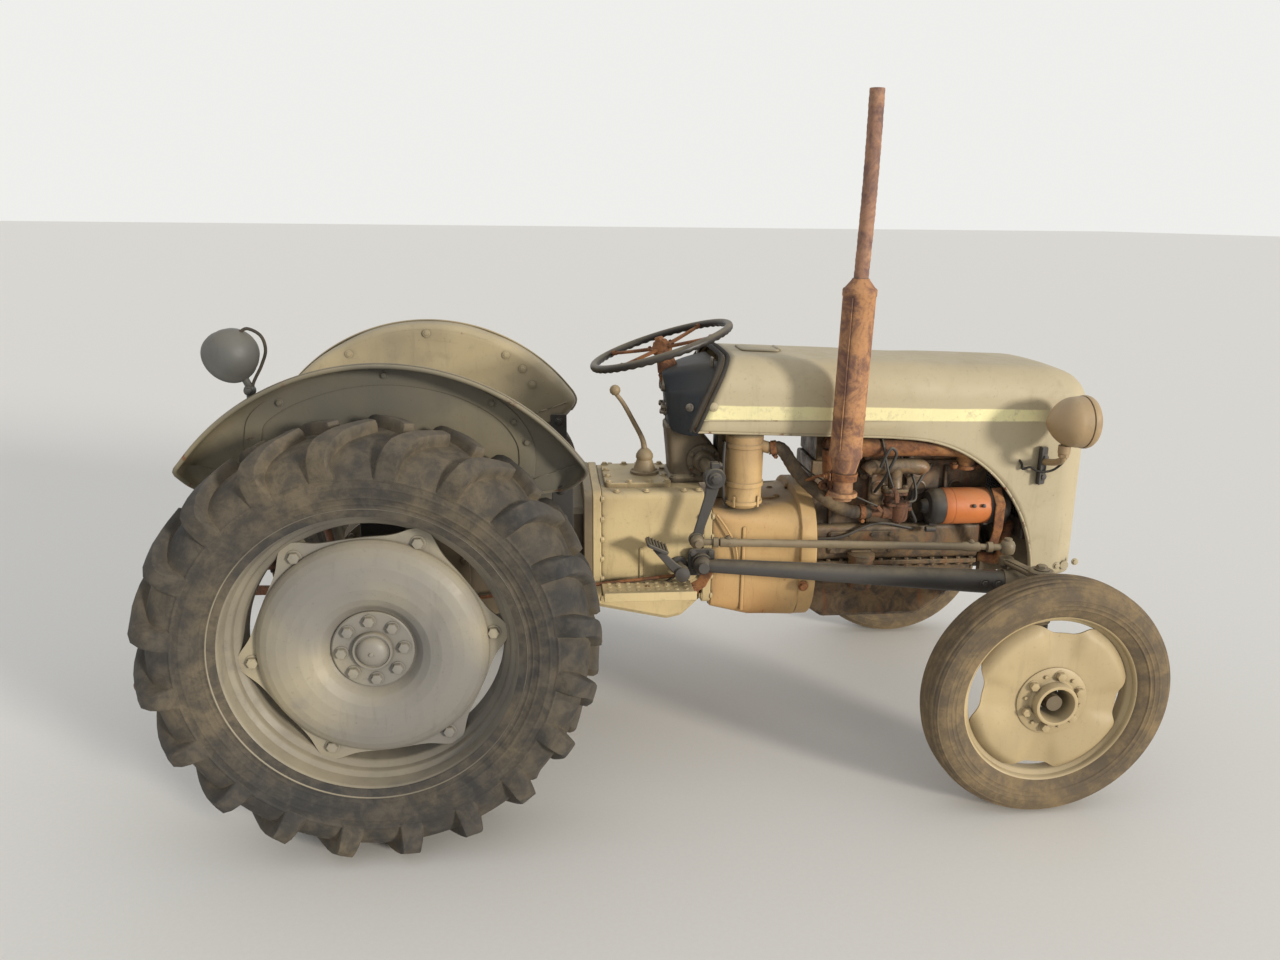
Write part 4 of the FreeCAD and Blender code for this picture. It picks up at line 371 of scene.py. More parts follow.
class Recipe:
    """Node tree of one finish, built up step by step from Object coordinates."""

    def __init__(self, name):
        self.material = bpy.data.materials.new(name)
        self.material.use_nodes = True
        self.nodes = self.material.node_tree.nodes
        self.links = self.material.node_tree.links
        self.nodes.clear()
        self.output = self.nodes.new("ShaderNodeOutputMaterial")
        self.shader = self.nodes.new("ShaderNodeBsdfPrincipled")
        self.links.new(self.shader.outputs["BSDF"], self.output.inputs["Surface"])
        self.place = self.nodes.new("ShaderNodeTexCoord").outputs["Object"]

    def feed(self, socket, value):
        """Link or set a socket."""
        if isinstance(value, bpy.types.NodeSocket):
            self.links.new(value, socket)
        elif socket.type == "RGBA":
            socket.default_value = (*value[:3], 1)
        else:
            socket.default_value = value

    def stretched(self, scale, shift=(0, 0, 0), turn=(0, 0, 0)):
        """Object place, scaled, shifted and turned."""
        node = self.nodes.new("ShaderNodeMapping")
        self.links.new(self.place, node.inputs["Vector"])
        node.inputs["Scale"].default_value = scale
        node.inputs["Location"].default_value = shift
        node.inputs["Rotation"].default_value = turn
        return node.outputs["Vector"]

    def noise(self, scale, detail=5, rough=0.6, place=None, twist=0):
        """Cloudy pattern, 0 to 1."""
        node = self.nodes.new("ShaderNodeTexNoise")
        self.links.new(place or self.place, node.inputs["Vector"])
        node.inputs["Scale"].default_value = scale
        node.inputs["Detail"].default_value = detail
        node.inputs["Roughness"].default_value = rough
        node.inputs["Distortion"].default_value = twist
        return node.outputs["Fac"]

    def cells(self, scale, place=None, feature="F1"):
        """Distance in a pattern of cells."""
        node = self.nodes.new("ShaderNodeTexVoronoi")
        node.feature = feature
        self.links.new(place or self.place, node.inputs["Vector"])
        node.inputs["Scale"].default_value = scale
        return node.outputs["Distance"]

    def between(self, value, low, high, to_low=0, to_high=1):
        """Smooth step of a value from low to high."""
        node = self.nodes.new("ShaderNodeMapRange")
        node.interpolation_type = "SMOOTHSTEP"
        self.feed(node.inputs["Value"], value)
        for socket, number in (("From Min", low), ("From Max", high), ("To Min", to_low), ("To Max", to_high)):
            self.feed(node.inputs[socket], number)
        return node.outputs["Result"]

    def maths(self, operation, first, second=0, clamp=False):
        """One sum of two values."""
        node = self.nodes.new("ShaderNodeMath")
        node.operation = operation
        node.use_clamp = clamp
        self.feed(node.inputs[0], first)
        self.feed(node.inputs[1], second)
        return node.outputs[0]

    def blend(self, share, first, second, kind="MIX"):
        """Mix of two colours."""
        node = self.nodes.new("ShaderNodeMix")
        node.data_type = "RGBA"
        node.blend_type = kind
        self.feed(node.inputs["Factor"], share)
        self.feed(node.inputs["A"], first)
        self.feed(node.inputs["B"], second)
        return node.outputs["Result"]

    def mark(self, name=WEAR):
        """Wear value that the mesh carries."""
        node = self.nodes.new("ShaderNodeAttribute")
        node.attribute_name = name
        return node.outputs["Fac"]

    def split(self, vector):
        """Axes of a vector."""
        node = self.nodes.new("ShaderNodeSeparateXYZ")
        self.links.new(vector, node.inputs[0])
        return node.outputs

    def upward(self):
        """How far the surface faces up, from 0 to 1."""
        node = self.nodes.new("ShaderNodeNewGeometry")
        return self.between(self.split(node.outputs["Normal"])["Z"], 0.1, 0.95)

    def hollow(self, distance=0.04):
        """Ambient occlusion: 1 in corners and recesses, where shade falls, 0 in the open."""
        node = self.nodes.new("ShaderNodeAmbientOcclusion")
        node.samples = 4
        node.inputs["Distance"].default_value = distance
        return self.between(node.outputs["AO"], 0.35, 0.95, 1, 0)

    def finished(self, colour, rough, height=None, bump=0.3, depth=0.002, metal=0):
        self.feed(self.shader.inputs["Base Color"], colour)
        self.feed(self.shader.inputs["Roughness"], rough)
        self.feed(self.shader.inputs["Metallic"], metal)
        if height is not None:
            node = self.nodes.new("ShaderNodeBump")
            node.inputs["Strength"].default_value = bump
            node.inputs["Distance"].default_value = depth
            self.feed(node.inputs["Height"], height)
            self.links.new(node.outputs["Normal"], self.shader.inputs["Normal"])
        return self.material


def tone(red, green, blue):
    """Colour given as it shows on a screen, 0 to 255, as linear light."""
    return tuple(((c / 255 + 0.055) / 1.055) ** 2.4 if c > 10 else c / 3294.6 for c in (red, green, blue))


RUST = tone(112, 66, 38)
DEEP_RUST = tone(74, 44, 30)
# Dark dirt colour; where ambient occlusion blends it in, it is painted shade in corners and recesses.
GRIME_AND_SHADE = tone(52, 45, 37)
DUST = tone(180, 165, 134)


def weathered(name, paint, shade, rust=0.3, rust_scale=9, rust_colour=RUST, grime_and_shade=0.5, dust=0.35, gloss=0.55,
        grain=0.25, metal=0, dust_colour=DUST, recipe=None, paint_socket=None):
    """Old paint: tone changes at three scales, dirt streaks, painted shade in the corners, dust on top, rust through
    the thin spots.
    """
    r = recipe or Recipe(name)
    wide = r.noise(2.3, 3, 0.5)
    middle = r.noise(13, 8, 0.68, twist=0.4)
    fine = r.noise(95, 6, 0.7)
    speck = r.noise(420, 3, 0.6)
    runs = r.noise(1, 6, 0.7, place=r.stretched((34, 34, 4)))
    body = r.blend(r.between(wide, 0.35, 0.7), paint_socket or paint, shade)
    if paint_socket is not None:
        body = r.blend(r.between(wide, 0.35, 0.7, 0, 0.35), paint_socket, shade)
    body = r.blend(r.between(middle, 0.5, 0.75, 0, 0.45), body, shade)
    body = r.blend(r.between(fine, 0.58, 0.75, 0, 0.35), body, GRIME_AND_SHADE)
    body = r.blend(r.between(runs, 0.52, 0.78, 0, 0.4 * grime_and_shade), body, GRIME_AND_SHADE)
    # Painted shade: ambient occlusion darkens corners and recesses towards the dark dirt colour.
    body = r.blend(r.maths("MULTIPLY", r.hollow(), grime_and_shade), body, GRIME_AND_SHADE)
    settled = r.maths("MULTIPLY", r.upward(), r.between(middle, 0.3, 0.65, 0.4, 1))
    body = r.blend(r.maths("MULTIPLY", settled, dust), body, dust_colour)
    spots = r.maths("ADD", r.noise(rust_scale, 9, 0.72, twist=0.6), r.maths("MULTIPLY", r.mark(), 0.16))
    edge = 0.78 - 0.24 * rust
    bare = r.between(spots, edge, edge + 0.07)
    bare = r.maths("MULTIPLY", bare, r.between(fine, 0.28, 0.5, 0.35, 1))
    iron = r.blend(r.between(middle, 0.4, 0.62), rust_colour, DEEP_RUST)
    body = r.blend(bare, body, iron)
    rough = r.maths("ADD", r.between(middle, 0.3, 0.7, gloss - 0.08, gloss + 0.12),
        r.maths("MULTIPLY", bare, 0.25))
    height = r.maths("ADD", r.maths("MULTIPLY", fine, 0.7), r.maths("MULTIPLY", speck, 0.3))
    height = r.maths("SUBTRACT", height, r.maths("MULTIPLY", bare, 0.8))
    return r.finished(body, rough, height, grain, 0.0012, metal)


def rusty(name, light, dark, pale, scale=16, gloss=0.82, grain=0.6):
    """Bare iron rusted through: flakes in two browns with paler bloom and fine pits, and painted shade in the corners.
    """
    r = Recipe(name)
    large = r.noise(scale * 0.35, 6, 0.65, twist=0.5)
    middle = r.noise(scale, 9, 0.72, twist=0.8)
    fine = r.noise(scale * 9, 6, 0.7)
    body = r.blend(r.between(middle, 0.4, 0.62), light, dark)
    body = r.blend(r.between(large, 0.52, 0.7, 0, 0.75), body, pale)
    body = r.blend(r.between(fine, 0.5, 0.72, 0, 0.55), body, dark)
    # Painted shade: ambient occlusion darkens corners and recesses.
    body = r.blend(r.maths("MULTIPLY", r.hollow(0.03), 0.7), body, GRIME_AND_SHADE)
    height = r.maths("ADD", r.maths("MULTIPLY", middle, 0.6), r.maths("MULTIPLY", fine, 0.5))
    return r.finished(body, r.between(fine, 0.3, 0.7, gloss - 0.12, gloss + 0.1), height, grain, 0.002)


def rubber(name, dark, worn, dusty, dust=0.5, grain=0.5):
    """Old tyre rubber: worn lighter on what touches the ground, dust in the low places, cracks in the wall."""
    r = Recipe(name)
    wide = r.noise(3.1, 4, 0.55)
    middle = r.noise(22, 8, 0.7, twist=0.3)
    fine = r.noise(160, 5, 0.7)
    body = r.blend(r.between(middle, 0.4, 0.7, 0, 0.7), dark, worn)
    body = r.blend(r.between(r.mark(), 0.35, 1, 0, 0.65), body, worn)
    cover = r.maths("MULTIPLY", r.between(wide, 0.36, 0.66), r.between(middle, 0.34, 0.6, 0.35, 1))
    body = r.blend(r.maths("MULTIPLY", cover, dust), body, dusty)
    body = r.blend(r.maths("MULTIPLY", r.hollow(0.05), 0.35), body, dusty)
    body = r.blend(r.between(fine, 0.56, 0.74, 0, 0.4), body, dark)
    cracks = r.between(r.cells(140, feature="DISTANCE_TO_EDGE"), 0, 0.09)
    height = r.maths("ADD", r.maths("MULTIPLY", fine, 0.6), r.maths("MULTIPLY", cracks, 0.25))
    return r.finished(body, r.between(middle, 0.3, 0.7, 0.74, 0.93), height, grain, 0.0016)


def greasy(name, base, oil, rust_colour, rust=0.5, gloss=0.5, dust=0.3):
    """Engine casting: grey-brown under oil, with rust stains that run down, dust stuck in the oil and painted shade in
    the corners.
    """
    r = Recipe(name)
    middle = r.noise(17, 8, 0.7, twist=0.6)
    fine = r.noise(120, 6, 0.7)
    runs = r.noise(1, 7, 0.72, place=r.stretched((26, 26, 5)), twist=0.5)
    body = r.blend(r.between(middle, 0.38, 0.66), base, oil)
    body = r.blend(r.between(runs, 0.62 - 0.22 * rust, 0.8 - 0.2 * rust, 0, 0.9), body, rust_colour)
    body = r.blend(r.between(fine, 0.52, 0.72, 0, 0.5), body, oil)
    body = r.blend(r.maths("MULTIPLY", r.upward(), dust), body, DUST)
    # Painted shade: ambient occlusion darkens corners and recesses.
    body = r.blend(r.maths("MULTIPLY", r.hollow(0.05), 0.75), body, GRIME_AND_SHADE)
    height = r.maths("ADD", r.maths("MULTIPLY", fine, 0.6), r.maths("MULTIPLY", middle, 0.5))
    return r.finished(body, r.between(middle, 0.35, 0.65, gloss - 0.12, gloss + 0.2), height, 0.4, 0.0018)


# Rear tyres and wheels

REAR_MIDDLE = 0.5 * sum(abs(corner[1]) for corner in node_box("rear_tyre_left"))
REAR_CENTRE_Z = 0.5 * sum(corner[2] for corner in node_box("rear_tyre_left"))
REAR_R = node_box("rear_tyre_left")[1][2] - REAR_CENTRE_Z
LUG_HEIGHT = 30
LUG_COUNT = 20
CROWN_R = REAR_R - LUG_HEIGHT
REAR_HALF = np.array([(0, CROWN_R), (60, CROWN_R - 4), (98, CROWN_R - 17), (120, CROWN_R - 42),
    (129, CROWN_R - 78), (126.5, CROWN_R - 117), (115, CROWN_R - 150), (107, CROWN_R - 178)])


def half_line(half, steps=12):
    """Smooth half section from the crown's middle to the bead, with its length and outward normal at each point."""
    line = curve_through(half, steps)
    lengths = np.concatenate([[0], np.cumsum(np.linalg.norm(np.diff(line, axis=0), axis=1))])
    ahead = np.gradient(line, axis=0)
    ahead /= np.linalg.norm(ahead, axis=1, keepdims=True)
    return line, lengths, np.stack([-ahead[:, 1], ahead[:, 0]], 1)


def on_casing(distance, lift):
    """Sideways place and radius of a point that lies a distance from the crown's middle and lift above the casing."""
    line, lengths, normal = half_line(REAR_HALF)
    sign = np.where(distance < 0, -1, 1)
    reach = np.abs(distance)
    out = sign * (np.interp(reach, lengths, line[:, 0]) + lift * np.interp(reach, lengths, normal[:, 0]))
    return out, np.interp(reach, lengths, line[:, 1]) + lift * np.interp(reach, lengths, normal[:, 1])


def rear_lugs(side, seed):
    """Bars laid on the casing from the crown's middle back and out to the shoulder, then down the wall.

    A bar is a ring of ten points across it moved along its line; its foot is sunk in the casing, its top
    wears unevenly, and the bars of the two halves stand half a pitch apart.
    """
    random = np.random.default_rng(seed)
    along = np.array([-7, -3, 12, 30, 50, 70, 90, 108, 122, 134, 146, 158, 170, 180])
    sweep = np.array([-2, 0, 11, 25, 42, 60, 77, 91, 99, 104, 107, 109, 110, 110.5])
    high = LUG_HEIGHT * np.array([0.7, 1, 1, 1, 1.01, 1.04, 1.1, 1.2, 1.24, 1.02, 0.7, 0.42, 0.2, 0.03])
    wide = np.array([30, 34, 37, 39, 41, 44, 48, 52, 57, 62, 66, 69, 70, 70])
    share = np.array([-0.5, -0.44, -0.385, -0.34, -0.15, 0.15, 0.34, 0.385, 0.44, 0.5])
    rise = np.array([-0.25, 0.5, 0.9, 1, 1, 1, 1, 0.9, 0.5, -0.25])
    ahead = np.stack([np.gradient(along), np.gradient(sweep)], 1)
    ahead /= np.linalg.norm(ahead, axis=1, keepdims=True)
    distance = along[:, None] - ahead[:, 1:] * share * wide[:, None]
    turn = sweep[:, None] + ahead[:, :1] * share * wide[:, None]
    forms = []
    for half, offset in ((1, 0), (-1, 0.5)):
        for number in range(LUG_COUNT):
            worn = 1 - 0.05 * random.random((len(along), 1)) * (np.abs(along[:, None]) < 118)
            lift = np.minimum(high[:, None] * rise * worn, high[:, None]) - 3 * (rise < 0)
            out, radius = on_casing(distance, lift)
            angle = TAU * (number + offset - 0.118) / LUG_COUNT + turn / CROWN_R
            points = np.stack([radius * np.cos(angle), side * REAR_MIDDLE + half * side * out,
                REAR_CENTRE_Z + radius * np.sin(angle)], -1)
            wear = np.clip(rise, 0, 1) * np.clip(1.3 - along[:, None] / 130, 0.15, 1)
            forms.append(grid(points, close_v=True, cap=True, wear=np.broadcast_to(wear, out.shape)))
    return merged(forms)


def ribs_on_wall(line, lengths, normal, ribs):
    """Half section with raised rings; a rib has columns (distance, height, half width)."""
    fine = np.linspace(0, lengths[-1], 150)
    lift = sum(high * np.exp(-((fine - at) / half) ** 2) for at, high, half in ribs)
    out = np.interp(fine, lengths, line[:, 0]) + lift * np.interp(fine, lengths, normal[:, 0])
    radius = np.interp(fine, lengths, line[:, 1]) + lift * np.interp(fine, lengths, normal[:, 1])
    return np.stack([out, radius], 1)


def tyre_ring(half, middle, centre_x, centre_z, side, steps=192, wear=0):
    """Closed casing: the half section, its mirror image and the two beads, turned about the axle."""
    section = np.concatenate([half[::-1] * np.array([-1, 1]), half[1:]])
    section = np.concatenate([section, [(half[-1][0] - 14, half[-1][1] + 2),
        (-half[-1][0] + 14, half[-1][1] + 2)]])
    section[:, 0] += middle * side
    return revolved(section, (centre_x, 0, centre_z), LEFT, steps, closed=True, wear=wear)


def rear_tyre(side, seed):
    """Carcass and lugs of one rear tyre."""
    wall_ribs = ((176, 2.6, 3), (196, 1.3, 2.4), (222, 1.6, 2.6), (240, 1.2, 2), (251, 2, 2.2))
    half = ribs_on_wall(*half_line(REAR_HALF), wall_ribs)
    return merged([tyre_ring(half, REAR_MIDDLE, 0, REAR_CENTRE_Z, side), rear_lugs(side, seed)])


def channel(profile, wall, middle, centre_x, centre_z, side, steps=144):
    """Sheet steel ring: the profile's line given a thickness towards the axle and turned about it."""
    line = rounded(profile, 6, steps=4, closed=False)
    under = line + np.array([0, -wall])
    ahead = np.gradient(line, axis=0)
    ahead /= np.linalg.norm(ahead, axis=1, keepdims=True)
    under = line + wall * np.stack([ahead[:, 1], -ahead[:, 0]], 1)
    section = np.concatenate([line, under[::-1]])
    section[:, 0] += middle * side
    return revolved(section, (centre_x, 0, centre_z), LEFT, steps, closed=True)


REAR_RIM_HALF = np.array([(-115, 378), (-111, 383), (-104, 378), (-100, 358), (-66, 352), (-58, 340),
    (-44, 337), (-34, 322), (30, 320), (40, 336), (54, 340), (62, 352), (100, 358), (104, 378), (111, 383),
    (115, 378)])
REAR_EAR_START = 6
EAR_COUNT = 6
EAR_REACH = 314
DISC_EDGE_Y = 652


def rear_rim(side):
    """Drop-centre rim with stepped sides and the six lugs that the disc's ears are bolted to."""
    forms = [channel(REAR_RIM_HALF, 4.5, REAR_MIDDLE, 0, REAR_CENTRE_Z, side)]
    for number in range(EAR_COUNT):
        angle = math.radians(REAR_EAR_START + 360 / EAR_COUNT * number)
        ca, sa = math.cos(angle), math.sin(angle)
        turn = np.array([(ca, 0, -sa), LEFT, (sa, 0, ca)])
        lug = prism(rounded([(262, -24), (322, -34), (322, 34), (262, 24)], 9),
            *span(side, DISC_EDGE_Y - 14, DISC_EDGE_Y - 7), across="y", bevel=1.5)
        web = slab((300, 321), span(side, DISC_EDGE_Y - 44, DISC_EDGE_Y - 8), (-30, 30), 6)
        forms += [form.placed(turn, (0, 0, REAR_CENTRE_Z)) for form in (lug, web)]
    return merged(forms)


def rear_disc(side):
    """Pressed dome with a sunken hub plate; its flange reaches out into six ears.

    The dome is a grid of (angle, share of the way out); the last rings follow the ears' outline
    radius = edge + reach * bell(angle from the ear's middle).
    """
    profile = np.array([(660, 0), (660, 104), (667, 111), (680, 122), (693, 142), (700, 170), (700, 198),
        (696, 224), (688, 248), (677, 266), (668, 275), (660, 281), (652, 281.5)])
    line = rounded(profile, 9, steps=4, closed=False)
    angle = np.linspace(0, TAU, 240, endpoint=False)
    away = (np.degrees(angle) - REAR_EAR_START + 30) % 60 - 30
    reach = (EAR_REACH + 14 - 280) / (1 + (np.abs(away) / 9) ** 2.6)
    out = np.concatenate([line[:, 0], [DISC_EDGE_Y] * 4])
    radius = np.broadcast_to(line[:, 1], (len(angle), len(line)))
    flange = 282 + reach[:, None] * np.linspace(0.25, 1, 4)
    radius = np.concatenate([radius, flange], 1)
    points = np.stack([radius * np.cos(angle)[:, None], np.broadcast_to(side * out, radius.shape),
        REAR_CENTRE_Z + radius * np.sin(angle)[:, None]], -1)
    back = points - np.array([0, side * 6, 0])
    shell = grid(np.concatenate([points, back[:, ::-1]], 1), close_u=True, close_v=False)
    if side < 0:
        shell = dented(shell, (150, -697, REAR_CENTRE_Z + 88), 34, (0, 7, 0))
        shell = dented(shell, (-60, -697, REAR_CENTRE_Z - 190), 60, (0, 5, 3))
    face = side * 660
    out_way = (0, float(side), 0)
    plate = revolved([(0, 0), (0, 100), (6, 100), (8, 97), (8, 0)], (0, face, REAR_CENTRE_Z), out_way, 72)
    nuts = bolts(ringed(8, 76, (0, face + side * 8, REAR_CENTRE_Z), 4), out_way, 14.5, 13, 0, 0.4)
    washers = merged([revolved([(0, 0), (0, 17), (2.5, 17), (3, 15), (3, 0)], place, out_way, 24)
        for place in ringed(8, 76, (0, face + side * 8, REAR_CENTRE_Z), 4)])
    cap = revolved([(0, 49), (10, 49), (14, 47), (14, 43), (11, 41), (11, 38), (17, 36), (25, 28), (29, 14),
        (30, 6), (34, 4), (35, 0)], (0, face + side * 7, REAR_CENTRE_Z), out_way, 56, wear=0.3)
    ears = bolts(ringed(EAR_COUNT, EAR_REACH - 20, (0, side * DISC_EDGE_Y, REAR_CENTRE_Z), REAR_EAR_START),
        out_way, 15, 12, 19, 0.5)
    return merged([shell, plate, nuts, washers, cap, ears])


# Front tyres and wheels

FRONT_X = 0.5 * (node_box("front_tyre_left")[0][0] + node_box("front_tyre_left")[1][0])
FRONT_CENTRE_Z = 0.5 * (node_box("front_tyre_left")[0][2] + node_box("front_tyre_left")[1][2])
FRONT_R = node_box("front_tyre_left")[1][2] - FRONT_CENTRE_Z
FRONT_HALF = np.array([(0, FRONT_R - 1), (22, FRONT_R - 2.5), (40, FRONT_R - 10), (51, FRONT_R - 26),
    (55, FRONT_R - 48), (52, FRONT_R - 72), (43, FRONT_R - 94), (37, FRONT_R - 103)])


def front_tyre(side):
    """Narrow steering tyre: three worn ribs round the crown and fine rings on the wall."""
    ribs = ((11, -5.5, 3.2), (29, -5, 3.4), (46, -2, 3), (58, 1.2, 2), (84, 1, 2.2), (98, 1.2, 2),
        (110, 1.8, 2.4))
    half = ribs_on_wall(*half_line(FRONT_HALF), ribs)
    return tyre_ring(half, REAR_MIDDLE, FRONT_X, FRONT_CENTRE_Z, side, 180)


NOTCH_START = -6
FRONT_FACE_Y = 655


def front_wheel(side):
    """Stepped rim, disc with four scalloped openings and flutes that run to them, open hub with its bolts; the axle nut
    is built apart.
    """
    rim = np.array([(-44, 255), (-40.5, 259), (-36, 254), (-34, 241), (-22, 238), (-14, 226), (12, 226),
        (20, 238), (34, 241), (36, 254), (40.5, 259), (44, 255)])
    forms = [channel(rim, 3.5, REAR_MIDDLE, FRONT_X, FRONT_CENTRE_Z, side, 120)]
    angle = np.linspace(0, TAU, 192, endpoint=False)
    away = (np.degrees(angle) - NOTCH_START + 45) % 90 - 45
    notch = 1 / (1 + (np.abs(away) / 15.5) ** 5)
    edge = 228 - 36 * notch
    share = np.linspace(0, 1, 26)
    radius = 60 + (edge[:, None] - 60) * share
    lobe = np.clip((radius - 95) / 90, 0, 1)
    out = FRONT_FACE_Y - 9 - 3 * lobe * (1 - notch[:, None] * 0.2) - 9 * notch[:, None] * lobe
    out = out + 6 * np.exp(-((radius - 172) / 44) ** 2) * (1 - notch[:, None])
    out = out - 24 * np.clip((radius - 196) / 32, 0, 1) ** 1.6 * (1 - notch[:, None])
    points = np.stack([FRONT_X + radius * np.cos(angle)[:, None], side * out,
        FRONT_CENTRE_Z + radius * np.sin(angle)[:, None]], -1)
    back = points - np.array([0, side * 4, 0])
    forms.append(grid(np.concatenate([points, back[:, ::-1]], 1), close_u=True, close_v=True))
    out_way = (0, float(side), 0)
    face = side * (FRONT_FACE_Y - 9)
    forms.append(revolved([(-12, 59), (-12, 96), (-3, 98), (3, 98), (5, 95), (6, 66), (11, 61), (30, 59),
        (34, 57), (35, 53), (34, 49), (20, 45), (-46, 43), (-52, 59)], (FRONT_X, face, FRONT_CENTRE_Z), out_way,
        64, closed=True))
    forms.append(bolts(ringed(6, 76, (FRONT_X, face + side * 5, FRONT_CENTRE_Z), 20), out_way, 13.5, 14, 16,
        0.5))
    forms.append(bolts([(FRONT_X + 78 * math.cos(math.radians(turn)), face + side * 5,
        FRONT_CENTRE_Z + 78 * math.sin(math.radians(turn))) for turn in range(50, 410, 60)], out_way, 5.5, 6))
    return merged(forms)


def axle_nut(side):
    """End of the stub axle inside the open hub: threaded end, castle nut and washer."""
    out_way = (0, float(side), 0)
    face = side * (FRONT_FACE_Y - 9)
    forms = [revolved([(-70, 0), (-70, 34), (-30, 34), (-30, 0)], (FRONT_X, face, FRONT_CENTRE_Z), out_way, 32),
        bolts([(FRONT_X, face - side * 30, FRONT_CENTRE_Z)], out_way, 27, 30, 0, 0.7),
        bar((FRONT_X, face - side * 4, FRONT_CENTRE_Z), (FRONT_X, face + side * 14, FRONT_CENTRE_Z), 15)]
    return merged(forms)


def build_wheels(p, f):
    """Tyres, rims, discs and hubs of both sides."""
    for name, side in SIDES:
        wheel = f"rear_wheel_{name}"
        piece(f"rear_tyre_tread_{name}", rear_tyre(side, p.lug_seed + side), f["rear_rubber"], body=wheel,
            replaces=(f"rear_tyre_{name}",), sharp=40)
        piece(f"rear_rim_steel_{name}", rear_rim(side), f["rim"], body=wheel,
            replaces=(f"rear_rim_{name}",), sharp=32)
        piece(f"rear_disc_steel_{name}", rear_disc(side), f["disc"], body=wheel,
            replaces=(f"rear_disc_{name}",), sharp=30)
        wheel = f"front_wheel_{name}_body"
        piece(f"front_tyre_tread_{name}", front_tyre(side), f["front_rubber"], body=wheel,
            replaces=(f"front_tyre_{name}",), sharp=40)
        piece(f"front_wheel_steel_{name}", front_wheel(side), f["front_wheel"], body=wheel,
            replaces=(f"front_wheel_{name}",), sharp=34)
        piece(f"axle_nut_{name}", axle_nut(side), f["dark_iron_and_shade"], body=f"knuckle_{name}_body", sharp=30)



# Bonnet, grille and headlamps

HOOD_HALF = 215
HOOD_REAR = np.array([958, 1212])
HOOD_REAR_LOW = np.array([862, 1000])
COWL_TOP = np.array([2059, 1172])
COWL_FOOT = np.array([2069, 540])
HOOD_SLOPE = math.atan2(COWL_TOP[1] - HOOD_REAR[1], COWL_TOP[0] - HOOD_REAR[0])
HOOD_LEAN = math.atan2(COWL_FOOT[1] - COWL_TOP[1], COWL_FOOT[0] - COWL_TOP[0])
BROW = (260, math.radians(20))
NOSE_ARC_R = 115
HOOD_SHOULDER = 92
ARCH_MIDDLE = np.array([1471, 500])
ARCH_SPAN = np.array([445, 475])
SIDE_LOW_Z = (1000, 976)
MOUTH_Z = (610, 1060)
STRIPE_LOW = 1037
STRIPE_HIGH = 1078
STRIPE_SLOPE = -0.0147
STRIPE_NARROWING = -0.006


def heading(angle):
    return np.array([math.cos(angle), math.sin(angle)])


def hood_line():
    """Side profile and its outward normal: straight top, brow arc, nose arc and leaning front, each tangent to the next.

    Along an arc of radius r the heading turns down evenly; the straight top's length is what brings
    the end of the nose arc onto the front line.
    """
    arcs = ((BROW[0], BROW[1]), (NOSE_ARC_R, HOOD_SLOPE - HOOD_LEAN - BROW[1]))
    turn = HOOD_SLOPE
    reach = np.zeros(2)
    for radius, part in arcs:
        reach = reach + 2 * radius * math.sin(part / 2) * heading(turn - part / 2)
        turn -= part
    front = heading(HOOD_LEAN)
    away = COWL_FOOT - HOOD_REAR - reach
    straight, _ = np.linalg.solve(np.stack([heading(HOOD_SLOPE), front], 1), away)
    rows = [HOOD_REAR + heading(HOOD_SLOPE) * step for step in np.linspace(0, straight, 46)]
    angles = [HOOD_SLOPE] * 46
    at = rows[-1]
    turn = HOOD_SLOPE
    for radius, part in arcs:
        centre = at + radius * heading(turn - math.pi / 2)
        for step in np.linspace(0, part, 15)[1:]:
            angles.append(turn - step)
            rows.append(centre + radius * heading(turn - step + math.pi / 2))
        at = rows[-1]
        turn -= part
    levels = np.concatenate([np.linspace(at[1], MOUTH_Z[0], 26)[1:],
        np.linspace(MOUTH_Z[0], COWL_FOOT[1], 5)[1:]])
    for level in levels:
        rows.append(at + front * (level - at[1]) / front[1])
        angles.append(HOOD_LEAN)
    return np.array(rows), np.array(angles) + math.pi / 2


def side_low_line(profile):
    """Lower edge of the side that belongs to each row: straight edge, then the wheel arch's ellipse, then the cowl's foot."""
    x = np.linspace(HOOD_REAR_LOW[0], ARCH_MIDDLE[0], 30)
    z = np.interp(x, (HOOD_REAR_LOW[0], ARCH_MIDDLE[0]), SIDE_LOW_Z)
    edge = [np.stack([x, z], 1)[:-1]]
    angle = np.linspace(0, math.acos(40 / ARCH_SPAN[1]), 40)
    edge.append(ARCH_MIDDLE + ARCH_SPAN * np.stack([np.sin(angle), np.cos(angle)], 1))
    edge = np.concatenate(edge)
    lengths = np.concatenate([[0], np.cumsum(np.linalg.norm(np.diff(edge, axis=0), axis=1))])
    along = np.concatenate([[0], np.cumsum(np.linalg.norm(np.diff(profile, axis=0), axis=1))])
    share = np.interp(along / along[-1], (0, 0.36, 0.56, 0.70, 1), (0, 0.50, 0.72, 0.86, 1)) * lengths[-1]
    return np.stack([np.interp(share, lengths, edge[:, 0]), np.interp(share, lengths, edge[:, 1])], 1)


